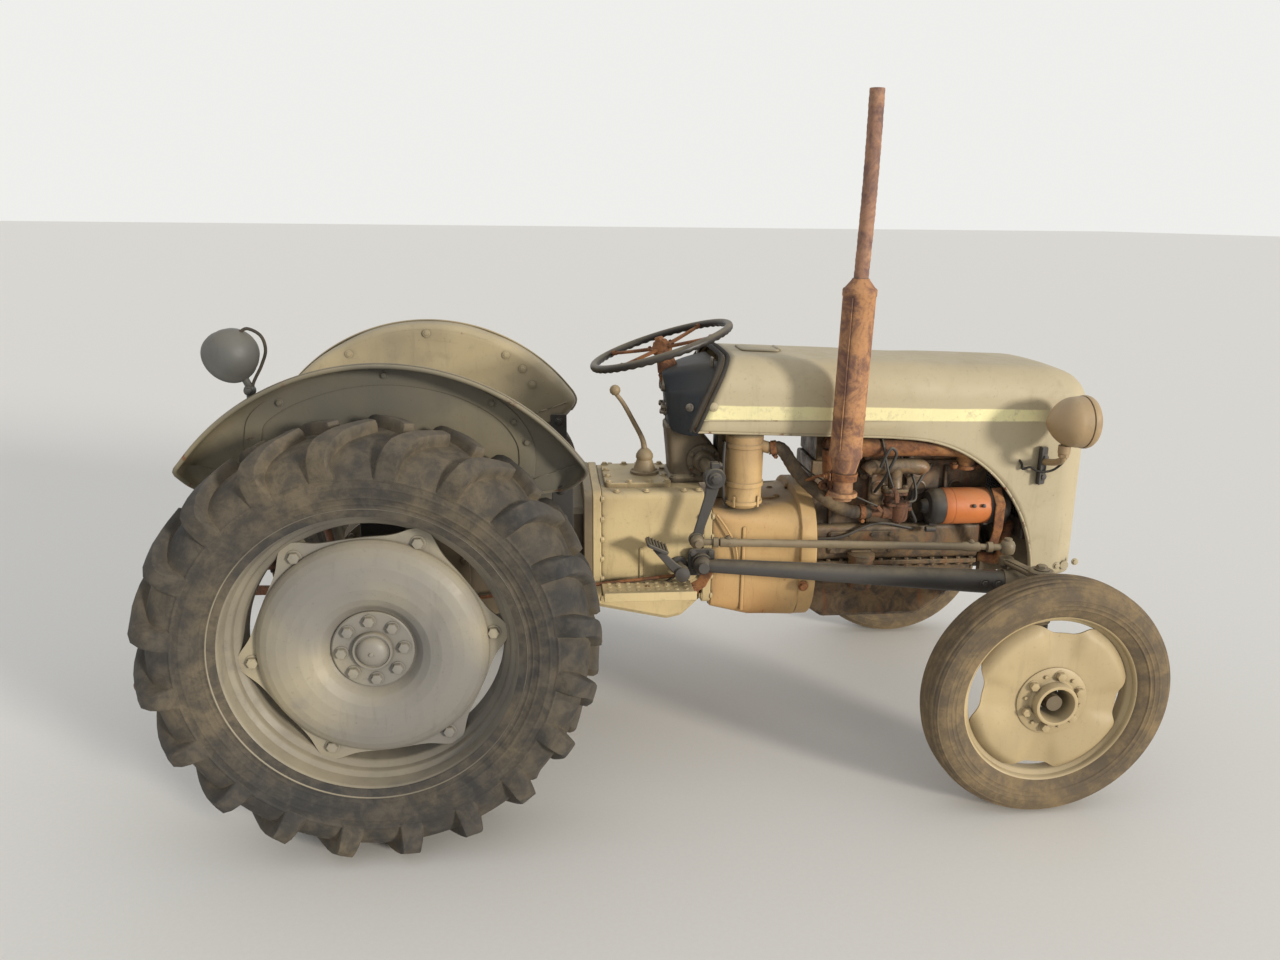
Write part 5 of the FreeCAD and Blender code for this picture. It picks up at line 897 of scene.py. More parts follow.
def hood_points():
    """Grid of (along the profile, across): right side from its lower edge up, shoulder arc, top, and the left again."""
    profile, normal = hood_line()
    out = np.stack([np.cos(normal), np.sin(normal)], 1)
    low = side_low_line(profile)
    inner = profile - HOOD_SHOULDER * out
    shear = (HOOD_REAR[0] - HOOD_REAR_LOW[0]) / (HOOD_REAR[1] - HOOD_REAR_LOW[1])
    fade = np.clip(1 - np.arange(len(profile)) / 12, 0, 1)[:, None]

    def slanted(points):
        drop = np.clip(HOOD_REAR[1] - points[:, 1:], 0, None)
        return points - np.concatenate([shear * drop * fade, np.zeros_like(drop)], 1)

    columns = []
    for t in np.linspace(0, 1, 17)[:-1]:
        row = low * (1 - t) + slanted(inner) * t
        tuck = 9 * np.clip((1014 - row[:, 1]) / 30, 0, 1) ** 1.3 * np.clip((1520 - row[:, 0]) / 90, 0, 1)
        columns.append((row, HOOD_HALF - tuck))
    for phi in np.linspace(math.pi / 2, 0, 10):
        row = profile - HOOD_SHOULDER * (1 - math.cos(phi)) * out
        columns.append((slanted(row), np.full(len(profile), HOOD_HALF - HOOD_SHOULDER * (1 - math.sin(phi)))))
    flat = HOOD_HALF - HOOD_SHOULDER
    for y in (105, 80, 56, 28, 0):
        columns.append((profile + out * 3 * (1 - (y / flat) ** 2), np.full(len(profile), y)))
    half = np.stack([np.stack([row[:, 0], -y, row[:, 1]], 1) for row, y in columns], 1)
    other = half[:, -2::-1] * np.array([1, -1, 1])
    return np.concatenate([half, other], 1), low


def hood_shell():
    """Pressed shell with its grille mouth and starting-handle notch left open and a few shallow dents."""
    points, _ = hood_points()
    form = grid(points, wear=0.35 * (np.abs(np.arange(points.shape[0]) / points.shape[0] - 0.5)[:,
        None] > 0.47) * np.ones(points.shape[:2]))
    middle = form.points[form.faces[0]].mean(1)
    mouth = ((middle[:, 0] > 2040) & (np.abs(middle[:, 1]) < 124) & (middle[:, 2] < MOUTH_Z[1]) & (middle[:,
        2] > MOUTH_Z[0]))
    notch = (middle[:, 0] > 2040) & (np.abs(middle[:, 1]) < 56) & (middle[:, 2] <= MOUTH_Z[0])
    form.faces = [form.faces[0][~(mouth | notch)]]
    for centre, radius, push in (((1190, -150, 1190), 110, (0, 1, -4)), ((1620, -120, 1180), 150, (0, 1.5, -4)),
            ((1990, -215, 760), 90, (0, 3.5, 0)), ((1360, -215, 1090), 120, (0, 2.5, 0)),
            ((1500, 140, 1180), 140, (0, -1, -4)), ((1980, 215, 880), 100, (0, -3.5, 0))):
        form = dented(form, centre, radius, push)
    return form


def hood_trim(side):
    """Rolled lip along the lower edge and arch, the flat strip inside it, and the crease under the band."""
    _, low = hood_points()
    tuck = 9 * np.clip((1014 - low[:, 1]) / 30, 0, 1) ** 1.3 * np.clip((1520 - low[:, 0]) / 90, 0, 1)
    lip = np.stack([low[:, 0], side * (HOOD_HALF - 2 - tuck), low[:, 1]], 1)
    forms = [swept(lip, circle(4.2, 12), wear=0.9)]
    inner = lip + np.stack([np.zeros(len(lip)), np.full(len(lip), -side * 9), np.full(len(lip), 2)], 1)
    forms.append(swept(inner, rounded([(-9, -1.2), (9, -1.2), (9, 1.2), (-9, 1.2)], 1), wear=0.6))
    x = np.linspace(HOOD_REAR_LOW[0] + 6, 1500, 40)
    crease = np.stack([x, np.full(40, side * (HOOD_HALF - 0.5)), STRIPE_LOW - 2 + STRIPE_SLOPE * (x - 870)], 1)
    forms.append(swept(crease, circle(2.6, 10), np.linspace(1, 0.1, 40), wear=0.5))
    return merged(forms)


def hood_rear_edge():
    """Double rubber welt between bonnet and panel: two black beads with a metal strip, round the rear opening."""
    points, _ = hood_points()
    rim = points[0]
    middle = np.array([0, 0, 1010])
    inward = middle - rim
    inward[:, 0] = 0
    inward /= np.linalg.norm(inward, axis=1, keepdims=True)
    back = np.array([-1, 0, 0.12])
    front_bead = rim + inward * 2 + back * 4
    strip = rim + inward * 7 + back * 13
    rear_bead = rim + inward * 5 + back * 23
    beads = [swept(front_bead, circle(6.5, 12), wear=0.3), swept(rear_bead, circle(7.5, 12), wear=0.3)]
    return merged(beads), swept(strip, rounded([(-2, -9), (2, -9), (2, 9), (-2, 9)], 1.2), wear=0.8)


def hood_fittings():
    """Hinge ears at the foot, catch knobs at the rear, screws and the fuel filler flap on top."""
    forms = []
    for side in (1, -1):
        forms.append(bar((2020, side * 38, 566), (2020, side * 214, 566), 14, 24))
        forms.append(slab((2012, 2074), span(side, 60, 74), (556, 576), 3))
        forms.append(bolts([(1994, side * 214, 566), (2052, side * 214, 578)], (0, side, 0), 8, 6, 11))
        forms.append(revolved([(-6, 0), (-6, 14), (2, 15), (9, 13), (12, 8), (13, 0)], (905, side * 208, 1074),
            (0, side, 0), 28, wear=0.6))
    x0, x1 = 1010, 1128
    flap = rounded([(x0, -62), (x1, -62), (x1, 62), (x0, 62)], 22, 8)
    slope = math.tan(HOOD_SLOPE)
    form = prism(flap, 0, 7, "z", 2.5, 0.3)
    form.points[:, 2] += HOOD_REAR[1] + 1.5 + slope * (form.points[:, 0] - HOOD_REAR[0])
    forms.append(form)
    hinge = HOOD_REAR[1] + 6 + slope * (x1 - HOOD_REAR[0])
    forms.append(bar((x1 + 2, -40, hinge), (x1 + 2, 40, hinge), 6, 16))
    return merged(forms)


def grille_bars():
    """Upright pressed bars bent from one plate: each bar is a half-round rib carried down the leaning mouth."""
    forms = []
    lean = (COWL_FOOT[0] - COWL_TOP[0]) / (COWL_FOOT[1] - COWL_TOP[1])

    def front_x(z):
        return COWL_FOOT[0] + lean * (z - COWL_FOOT[1]) - 16

    z = np.linspace(MOUTH_Z[0] - 6, MOUTH_Z[1] + 6, 20)
    for y in np.linspace(-118, 118, 17):
        path = np.stack([front_x(z), np.full(20, y), z], 1)
        forms.append(swept(path, rounded([(-3.4, -7), (3.4, -7), (3.4, 7), (-3.4, 7)], 2.8), wear=0.4))
    for level in (MOUTH_Z[0] - 3, 835, MOUTH_Z[1] + 3):
        forms.append(slab((front_x(level) - 14, front_x(level) - 4), (-134, 134), (level - 10, level + 10), 3))
    for side in (1, -1):
        path = np.stack([front_x(z) - 2, np.full(20, side * 131), z], 1)
        forms.append(swept(path, rounded([(-7, -4), (7, -4), (7, 4), (-7, 4)], 2.5), wear=0.4))
    return merged(forms)


LAMP_X = 1904
LAMP_Y = 330
LAMP_Z = 1045
LAMP_R = 74


def lamp_shell(centre, radius, length, axis):
    """Pressed bullet: radius grows as the root of the way from the back, a seam step, then the rolled rim."""
    back = np.asarray(centre, float) - unit(axis) * length * 0.5
    t = np.linspace(0, 1, 18)
    bowl = np.stack([t * length * 0.62, radius * 0.97 * np.sin(t * math.pi / 2) ** 0.8], 1)
    front = np.array([(0.68, 0.985), (0.79, 1), (0.80, 0.975), (0.815, 0.975), (0.82, 1.02), (0.88, 1.03),
        (0.94, 1), (0.985, 0.94), (1, 0.90), (0.985, 0.86)]) * np.array([length, radius])
    shell = revolved(np.concatenate([bowl, front]), back, axis, 72, wear=0.15)
    glass_line = [(length * 0.985, radius * 0.87), (length * 1.01, radius * 0.6), (length * 1.03, radius * 0.3),
        (length * 1.035, 0)]
    return shell, revolved(glass_line, back, axis, 56)


def headlamp(side):
    """Bullet lamp on its stem, with the pad on the bonnet's side, bolts and the looped lead."""
    centre = (LAMP_X, side * LAMP_Y, LAMP_Z)
    shell, glass = lamp_shell(centre, LAMP_R, 130, FORWARD)
    x = LAMP_X
    y = side * LAMP_Y
    stem = tube([(x, y, LAMP_Z - 66), (x, y, LAMP_Z - 98), (x, y - side * 8, LAMP_Z - 114),
        (x, y - side * 40, LAMP_Z - 128), (x, side * 238, LAMP_Z - 140), (x, side * 222, LAMP_Z - 142)], 10, 16,
        6)
    collar = bar((x, y, LAMP_Z - 92), (x, y, LAMP_Z - 68), 17, 24)
    nut = bolts([(x, y, LAMP_Z - 92)], DOWN, 15, 12)
    pad = slab((x - 13, x + 13), span(side, 216, 223), (LAMP_Z - 214, LAMP_Z - 98), 7, across="y")
    rib = slab((x - 13, x - 7), span(side, 218, 236), (LAMP_Z - 212, LAMP_Z - 96), 2, across="x")
    heads = bolts([(x + 5, side * 223, LAMP_Z - 190), (x + 5, side * 223, LAMP_Z - 132)], (0, side, 0), 8, 7,
        11)
    pad = merged([pad, rib])
    lead = tube([(x + 12, side * 326, LAMP_Z - 70), (x + 30, side * 300, LAMP_Z - 100),
        (x + 40, side * 262, LAMP_Z - 136), (x + 22, side * 240, LAMP_Z - 166),
        (x - 16, side * 236, LAMP_Z - 170), (x - 42, side * 230, LAMP_Z - 158),
        (x - 62, side * 226, LAMP_Z - 164), (x - 66, side * 222, LAMP_Z - 148),
        (x - 70, side * 211, LAMP_Z - 138)], 3.6, 10, 8)
    return merged([shell, stem, collar, nut]), glass, merged([pad, heads]), lead


def build_bonnet(p, f):
    """Bonnet with its trim and fittings, and the grille."""
    piece("bonnet_shell", hood_shell(), f["hood"], body="bonnet_body",
        replaces=("bonnet",), sharp=50, wall=2.6)
    for name, side in SIDES:
        piece(f"bonnet_lip_{name}", hood_trim(side), f["hood_edge"], body="bonnet_body",
            sharp=60)
    beads, strip = hood_rear_edge()
    piece("bonnet_rear_welt", beads, f["rubber"], body="bonnet_body", sharp=60)
    piece("bonnet_rear_strip", strip, f["lamp"], body="bonnet_body", sharp=50)
    piece("bonnet_fittings", hood_fittings(), f["hood_edge"], body="bonnet_body",
        sharp=34)
    piece("grille_bars", grille_bars(), f["dark_iron_and_shade"], body="bonnet_body",
        replaces=("grille",), sharp=40)


def build_headlamps(p, f):
    """Both headlamps with glass, pads and leads."""
    shells, glasses, pads, leads = zip(*(headlamp(side) for _, side in SIDES))
    piece("headlamp_shells", list(shells), f["lamp"], body="bonnet_body",
        replaces=("headlamps",), sharp=34)
    piece("headlamp_glasses", list(glasses), f["glass"], body="bonnet_body", sharp=40)
    piece("headlamp_pads", list(pads), f["dark_iron_and_shade"], body="bonnet_body", sharp=34)
    piece("headlamp_leads", list(leads), f["rubber"], body="bonnet_body", sharp=60)


# Fenders

WING_Y = 438
WING_LIP_Y = 524
WING_CENTRE = np.array([25, 627])
WING_R = 613
WING_FLARE = 3
WING_LOW_Z = 890
WING_CORNER = 30
WING_BOLTS = ((28, 1207), (-232, 1138), (293, 1133), (348, 1085), (380, 1030))


def wing_line():
    """Outline of the fender in side view with its outward normal and the depth of its rim at each point.

    The top is an arc about the fender's centre; both ends turn in through a corner to the level foot,
    and the rim's depth falls from its full size to a hem along those corners.
    """
    angle = np.radians(np.linspace(144.5, 35.5, 40))
    arc = WING_CENTRE + WING_R * np.stack([np.cos(angle), np.sin(angle)], 1)
    rear = np.array([(-250, WING_LOW_Z), (-340, 891), (-402, 905), (-446, 936), (-468, 966)])
    front = np.array([(530, 962), (514, 937), (480, 908), (430, 894), (350, WING_LOW_Z)])
    line = curve_through(np.concatenate([rear, arc, front]), 4)
    lengths = np.concatenate([[0], np.cumsum(np.linalg.norm(np.diff(line, axis=0), axis=1))])
    even = np.linspace(0, lengths[-1], 190)
    line = np.stack([np.interp(even, lengths, line[:, 0]), np.interp(even, lengths, line[:, 1])], 1)
    ahead = np.gradient(line, axis=0)
    ahead /= np.linalg.norm(ahead, axis=1, keepdims=True)
    out = np.stack([-ahead[:, 1], ahead[:, 0]], 1)
    depth = WING_LIP_Y - WING_Y
    full = np.clip((line[:, 1] - 898) / 92, 0, 1)
    return line, out, 6 + (depth - 6) * full ** 0.7


def fender_shell(side):
    """Plate and rim as one sheet: rows run from the foot up the plate, round the rolled corner and out to the lip."""
    line, out, depth = wing_line()
    corner = np.minimum(WING_CORNER, depth * 0.75)
    inner = line - out * corner[:, None]
    foot = np.stack([np.linspace(-250, 350, len(line)), np.full(len(line), WING_LOW_Z)], 1)
    foot[0], foot[-1] = inner[0], inner[-1]
    rows = [(foot * (1 - k) + inner * k, np.full(len(line), WING_Y)) for k in np.linspace(0, 1, 18) ** 0.8]
    for turn in np.linspace(0, math.pi / 2, 10)[1:]:
        rows.append((line - out * (corner * (1 - math.sin(turn)))[:, None],
            WING_Y + corner * (1 - math.cos(turn))))
    for share in np.linspace(0, 1, 8)[1:]:
        rows.append((line + out * WING_FLARE * share, WING_Y + corner + (depth - corner) * share))
    form = grid(np.stack([np.stack([xz[:, 0], side * y, xz[:, 1]], 1) for xz, y in rows], 1))
    for centre, radius, push in (((250, side * 500, 1195), 90, (0, 0, -3)),
            ((-260, side * 480, 1160), 100, (2, 0, -3)), ((60, side * 438, 1060), 170, (0, side * 5, 0)),
            ((-190, side * 438, 1000), 130, (0, side * -4, 0))):
        form = dented(form, centre, radius, push)
    return form


def fender_beads(side):
    """Rolled lip round the free edge with a raised line inside it, and the hem of the foot."""
    line, out, depth = wing_line()
    taper = np.clip(depth / 30, 0.35, 1)

    def along(back, lift):
        flat = line + out * (WING_FLARE + lift)
        return np.stack([flat[:, 0], side * (WING_Y + depth - back), flat[:, 1]], 1)
    forms = [swept(along(1, -3), circle(5.6, 12), taper, wear=0.8),
        swept(along(15, 1.2)[20:-20], circle(3.2, 10), taper[20:-20], wear=0.4)]
    hem = np.linspace((-255, side * WING_Y, WING_LOW_Z), (355, side * WING_Y, WING_LOW_Z), 30)
    forms.append(swept(hem, circle(4, 12), wear=0.8))
    return merged(forms)


def fender_strap(side):
    """Joint strap on the tyre's side of the plate, with its bolts and their nuts."""
    line = curve_through([(-306, 1000), (-304, 1052), (-288, 1098), (-232, 1139), (-160, 1170), (-70, 1194),
        (28, 1202), (125, 1193), (215, 1168), (293, 1128), (343, 1084), (374, 1032), (380, 985), (376, 940)], 8)
    path = np.stack([line[:, 0], np.full(len(line), side * (WING_Y + 3.6)), line[:, 1]], 1)
    half = rounded([(-2.2, -21), (2.2, -21), (2.2, 21), (-2.2, 21)], 1.4)
    forms = [swept(path, half, wear=0.35)]
    face = WING_Y + 5.6
    forms.append(bolts([(x, side * face, z) for x, z in WING_BOLTS], (0, side, 0), 8, 7, 11))
    forms.append(bolts([(x, side * (WING_Y - 2.6), z) for x, z in WING_BOLTS], (0, -side, 0), 8.5, 5, 13, 0.9))
    return merged(forms)


def fender_fixings(side):
    """Stays, brackets and bolts that hold the fender to the trumpet and the step."""
    inner = side * (WING_Y - 2)
    forms = []
    low = 566 + 84
    forms.append(slab((-58, 58), sorted((inner, inner - side * 7)), (low, 1006), 10, across="y"))
    forms.append(slab((-46, 46), sorted((inner - side * 8, inner - side * 38)), (low - 2, low + 12), 5))
    forms.append(slab((442, 498), sorted((inner, inner - side * 6)), (754, 926), 7, across="y"))
    forms.append(slab((454, 486), sorted((inner - side * 6, side * 156)), (752, 758), 4))
    spots = [(x, inner - side * 7, z) for x, z in ((-36, 960), (36, 960), (-36, 840), (36, 840), (-36, 720),
        (36, 720), (470, 900), (470, 820))]
    forms.append(bolts(spots, (0, -side, 0), 10, 8, 14))
    forms.append(bolts([(x, side * (WING_Y + 3), z) for x, _, z in spots], (0, side, 0), 9, 6, 13))
    return merged(forms)


def build_fenders(p, f):
    """Both fenders with their beads, straps and fixings."""
    for name, side in SIDES:
        # The right fender, nearest the camera, takes a darker paint than the left: partly dirt, partly painted shade.
        finish = f["fender"] if side > 0 else f["near_fender_dirt_and_shade"]
        piece(f"fender_sheet_{name}", fender_shell(side), finish,
            replaces=(f"fender_{name}",), sharp=60, wall=2.4)
        piece(f"fender_beads_{name}", fender_beads(side), finish, sharp=60)
        piece(f"fender_strap_{name}", fender_strap(side), finish, sharp=34)
        piece(f"fender_fixings_{name}", fender_fixings(side), f["dark_iron_and_shade"], sharp=34)


# Steering: wheel, column, panel, arms, links, knuckles, axle and radius rods

GRIP_CENTRE = np.array([776, 0, 1222])
GRIP_TILT = math.radians(17.7)
GRIP_R = 212
GRIP_AXIS = np.array([-math.sin(GRIP_TILT), 0, math.cos(GRIP_TILT)])
ARM_PIVOT = np.array([905, 262, 878])
ARM_BALL = np.array([858, 262, 692])
LINK_FRONT = np.array([1740, 385, 692])
KINGPIN = np.array([1778, 515, 345])
ROD_REAR = np.array([885, 225, 598])
ROD_FRONT = np.array([1722, 412, 596])
BAR_SECTION = rounded([(-1, -0.5), (1, -0.5), (1, 0.5), (-1, 0.5)], 0.3)


def tilted(form):
    """Form about the origin leaned back with the steering column and moved to the wheel's centre."""
    c, s = math.cos(GRIP_TILT), math.sin(GRIP_TILT)
    return form.placed([[c, 0, -s], [0, 1, 0], [s, 0, c]], GRIP_CENTRE)


def grip_rim():
    """Ring of radius R whose section r grows and falls on the underside: r + 1.3 cos(48 angle) where sin(turn) < 0."""
    angle = np.linspace(0, TAU, 288, endpoint=False)[:, None]
    turn = np.linspace(0, TAU, 20, endpoint=False)[None, :]
    under = np.clip(-np.sin(turn), 0, 1)
    section = 11.5 + 1.3 * under * np.cos(48 * angle)
    out = GRIP_R + section * np.cos(turn)
    points = np.stack([out * np.cos(angle), out * np.sin(angle), section * np.sin(turn) * np.ones_like(angle)],
        -1)
    worn = 0.75 * np.clip(np.sin(angle * 1.5 + 0.6), 0, 1) * np.clip(np.sin(turn) + 0.4, 0, 1)
    return tilted(grid(points, close_u=True, close_v=True, wear=worn))


def grip_spokes():
    """Four flat steel spokes that droop to the hub, each ending in a ferrule round the rim."""
    forms = []
    for number in range(4):
        angle = TAU * number / 4 + math.pi / 4
        out = np.array([math.cos(angle), math.sin(angle), 0])
        reach = np.linspace(20, GRIP_R - 2, 14)[:, None]
        path = out * reach + np.array([0, 0, 1]) * (-7 * np.cos(reach / GRIP_R * math.pi / 2))
        forms.append(swept(path, BAR_SECTION * np.array([7.5, 8.5]), np.linspace(1.15, 0.85, 14), wear=0.6))
        forms.append(bar(out * (GRIP_R - 26), out * (GRIP_R - 4), 8, 20, wear=0.4))
        forms.append(bolts([out * 46 + np.array([0, 0, -2])], UP, 5, 5))
    hub = [(-24, 0), (-24, 27), (-16, 31), (-4, 32), (2, 29), (6, 24), (12, 22), (14, 16), (14, 0)]
    forms.append(revolved(hub, (0, 0, 0), UP, 48, wear=0.3))
    forms.append(bolts([(0, 0, 13)], UP, 15, 14, 20, 0.9))
    return tilted(merged(forms))


def column_parts():
    """Column tube with its rusty cone and clamp, and the throttle lever with its knob."""
    foot = GRIP_CENTRE - GRIP_AXIS * 370
    low = GRIP_CENTRE - GRIP_AXIS * 96
    high = GRIP_CENTRE - GRIP_AXIS * 21
    tube_form = bar(foot, low, 17, 32)
    cone = bar(low - GRIP_AXIS * 14, high, [(0, 17), (0, 28), (5, 33), (26, 34), (30, 30), (34, 33), (72, 25),
        (86, 23), (88, 17)], 40, 0.5)
    x, y, z = low - GRIP_AXIS * 24
    lever = tube([(x, y + 16, z), (x - 6, y + 60, z + 14), (x - 20, y + 128, z + 52)], 4.5, 12, 6)
    knob = ball((x - 21, y + 132, z + 54), 11, 20)
    clip = bar((x, y, z) - GRIP_AXIS * 9, (x, y, z) + GRIP_AXIS * 9, 24, 28)
    return tube_form, merged([cone, clip]), merged([lever, knob])


def panel_shell():
    """Dashboard hood: a rounded outline at the driver's face runs out evenly to the wide outline inside the bonnet."""
    near = rounded([(800, -60, 974), (788, -56, 1090), (775, -47, 1152), (775, 47, 1152), (788, 56, 1090),
        (800, 60, 974)], (4, 30, 26, 26, 30, 4), 7)
    far = rounded([(866, -200, 986), (906, -200, 1110), (929, -132, 1188), (929, 132, 1188), (906, 200, 1110),
        (866, 200, 986)], (4, 60, 55, 55, 60, 4), 7)
    share = np.array([0, 0.04, 0.12, 0.3, 0.5, 0.7, 0.88, 1])[:, None, None]
    rows = near * (1 - share) + far * share
    middle = rows.mean(1, keepdims=True)
    swell = 1 + 0.05 * np.sin(share * math.pi) - 0.12 * np.clip(0.05 - share, 0, 0.05) / 0.05
    rows = middle + (rows - middle) * swell
    return grid(rows, close_v=True, cap=True, wear=0.5 * (share[..., 0] > 0.95) * np.ones(rows.shape[:2]))


def panel_fittings():
    """Two plain round gauges, switch knob and screws on the driver's face, and the rim clips at the side."""
    out = unit((-0.99, 0, 0.1))
    forms, faces = [], []
    for y, z, radius in ((-22, 1108, 23), (24, 1108, 23)):
        place = (783, y, z)
        forms.append(revolved([(-4, radius), (3, radius), (6, radius - 3), (6, radius - 6), (2, radius - 6.5)],
            place, out, 40, wear=0.6))
        faces.append(revolved([(1, radius - 6), (2.2, radius - 10), (2.4, 0)], place, out, 32))
    for y, z in ((-30, 1040), (30, 1040), (0, 1020)):
        forms.append(revolved([(-3, 13), (3, 13), (5, 9), (14, 9), (17, 6), (17, 0)], (792, y, z), out, 24,
            wear=0.5))
    for side in (1, -1):
        side_out = unit((-0.35, side * 0.93, 0.1))
        forms.append(bolts([(846, side * 150, 1060)], side_out, 8, 6, 12))
        forms.append(revolved([(-6, 0), (-6, 12), (4, 12), (8, 8), (8, 0)], (884, side * 190, 1076), side_out,
            24, wear=0.6))
        forms.append(slab((906, 914), span(side, 128, 146), (1178, 1206), 3))
    return merged(forms), merged(faces)


def steering_box():
    """Cast pedestal: base flange, waisted body, top flange, round side covers and their bolts."""
    corners = 9
    def ring(x0, x1, half, z, corner=22):
        flat = rounded([(x0, -half), (x1, -half), (x1, half), (x0, half)], corner, corners)
        return np.concatenate([flat, np.full((len(flat), 1), z)], 1)
    rows = np.stack([ring(796, 950, 74, 812.6), ring(794, 952, 76, 816), ring(794, 952, 76, 826),
        ring(798, 948, 72, 829), ring(804, 942, 62, 836), ring(800, 944, 60, 880), ring(796, 938, 61, 920),
        ring(792, 906, 60, 958), ring(790, 894, 64, 966), ring(790, 892, 65, 982), ring(794, 888, 61, 985)])
    forms = [grid(rows, close_v=True, cap=True, wear=0.1)]
    cover = [(58, 0), (58, 52), (66, 52), (70, 48), (72, 34), (92, 30), (96, 27), (96, 0)]
    for side in (1, -1):
        forms.append(revolved(cover, (905, 0, 878), (0, side, 0), 48))
        forms.append(bolts(ringed(6, 44, (905, side * 69, 878), 30), (0, side, 0), 7.5, 7))
        forms.append(bar((905, side * 90, 878), (905, side * 246, 878), 18, 28))
        forms.append(bolts([(x, side * 66, 827) for x in (812, 872, 934)], UP, 8.5, 8, 12))
    forms.append(bolts([(x, y, 984) for x in (804, 878) for y in (-48, 48)], UP, 8, 7, 11))
    return merged(forms)


def forged(points, widths, thick, up, steps=8, wear=0.3):
    """Forged bar along points: width from the list, thickness constant, edges round."""
    path = curve_through(points, steps)
    width = np.interp(np.linspace(0, 1, len(path)), np.linspace(0, 1, len(widths)), widths)
    section = BAR_SECTION[None] * np.stack([width / 2, np.full(len(path), thick)], 1)[:, None]
    ahead = np.gradient(path, axis=0)
    ahead /= np.linalg.norm(ahead, axis=1, keepdims=True)
    top = np.asarray(up, float) - ahead * (ahead @ np.asarray(up, float))[:, None]
    top /= np.linalg.norm(top, axis=1, keepdims=True)
    side = np.cross(ahead, top)
    rows = path[:, None] + section[..., :1] * side[:, None] + section[..., 1:] * top[:, None]
    return grid(rows, close_v=True, cap=True, wear=np.full(rows.shape[:2], wear))


def ball_joint(centre, axis, radius=21):
    """Socket with a sprung cap on one side, a dust collar on the other and the nut of its stud."""
    profile = [(-radius * 1.25, 0), (-radius * 1.25, radius * 0.5), (-radius * 1.05, radius * 0.66),
        (-radius * 0.95, radius * 0.92), (-radius * 0.4, radius * 1.03), (radius * 0.35, radius * 1.03),
        (radius * 0.8, radius * 0.85), (radius * 0.95, radius * 0.6), (radius * 1.3, radius * 0.52),
        (radius * 1.35, 0)]
    return merged([revolved(profile, centre, axis, 40, wear=0.2),
        bolts([np.asarray(centre, float) - unit(axis) * radius * 1.2], -unit(axis), radius * 0.36, 5)])


def drop_arm(side):
    """Pitman arm: split clamp round the cross shaft, tapered shank and the ball eye with its nut."""
    flip = np.array([1, side, 1])
    top, low = ARM_PIVOT * flip, ARM_BALL * flip
    along = unit(low - top)
    forms = [forged([top + along * 6, top + along * 60 + (4, 0, 0), low - along * 50, low], (44, 34, 28, 30), 9,
        (0, side, 0))]
    forms.append(bar(top - (0, side * 17, 0), top + (0, side * 17, 0),
        [(0, 0), (0, 28), (3, 31), (31, 31), (34, 28), (34, 20), (40, 19), (42, 15), (42, 0)], 40))
    forms.append(slab((top[0] - 12, top[0] + 12), sorted((top[1] - 14, top[1] + 14)),
        (top[2] + 24, top[2] + 46), 5, across="y"))
    forms.append(bolts([top + (14, 0, 36)], FORWARD, 8, 8, 11))
    forms.append(bolts([top + (0, side * 24, 0)], (0, side, 0), 13, 9, 0, 0.9))
    forms.append(bar(low - (0, side * 10, 0), low + (0, side * 10, 0), 22, 32))
    forms.append(bolts([low - (0, side * 8, 0)], (0, -side, 0), 12, 12, 15))
    return merged(forms)


def drag_link(side):
    """Long tube with ball sockets, lock nuts, clamps and threaded ends."""
    flip = np.array([1, side, 1])
    rear, front = ARM_BALL * flip + (0, side * 20, 0), LINK_FRONT * flip
    along = unit(front - rear)
    length = np.linalg.norm(front - rear)
    profile = [(16, 0), (16, 10), (44, 9), (46, 15), (60, 15), (62, 9), (66, 13.5), (110, 13.5), (114, 11.5),
        (length - 130, 11.5), (length - 126, 14), (length - 82, 14), (length - 78, 9), (length - 60, 9),
        (length - 58, 15), (length - 44, 15), (length - 42, 9.5), (length - 16, 10), (length - 16, 0)]
    forms = [revolved(profile, rear, along, 28, wear=0.25)]
    forms.append(ball_joint(rear, (0, side, 0), 19))
    forms.append(revolved([(-20, 0), (-20, 10), (-17, 18), (-8, 21), (8, 21), (17, 17), (20, 12), (27, 11),
        (28, 0)], front, UP, 40, wear=0.2))
    for back in (88, length - 104):
        place = rear + along * back
        forms.append(bolts([place + (0, 0, 15)], UP, 6, 6, 9))
    return merged(forms)


def knuckle_parts(side):
    """Kingpin post, stub axle with its collar, and the steering arm with the ball's seat."""
    x, y, z = KINGPIN * np.array([1, side, 1])
    post = [(-46, 0), (-46, 24), (-40, 31), (24, 34), (60, 32), (120, 27), (152, 27), (156, 34), (168, 34),
        (170, 26)]
    forms = [revolved(post, (x, y, z), UP, 40)]
    stub = [(0, 30), (34, 32), (46, 44), (54, 44), (58, 26)]
    forms.append(revolved(stub, (x, y, z), (0, side, 0), 40))
    top = 634
    forms.append(revolved([(0, 0), (0, 32), (4, 34), (34, 34), (38, 30), (38, 18), (46, 16), (46, 0)],
        (x, y, top), UP, 40, wear=0.2))
    forms.append(bolts([(x, y, top + 40)], UP, 15, 12, 20))
    end = np.array([LINK_FRONT[0], side * LINK_FRONT[1], 652])
    forms.append(forged([(x, y, 652), (x - 14, y - side * 40, 654), (x - 30, y - side * 90, 653), end],
        (56, 44, 34, 34), 9, UP))
    forms.append(bar(end - (0, 0, 12), end + (0, 0, 9), 20, 28))
    forms.append(bolts([end - (0, 0, 11)], DOWN, 13, 12, 16))
    return merged(forms)


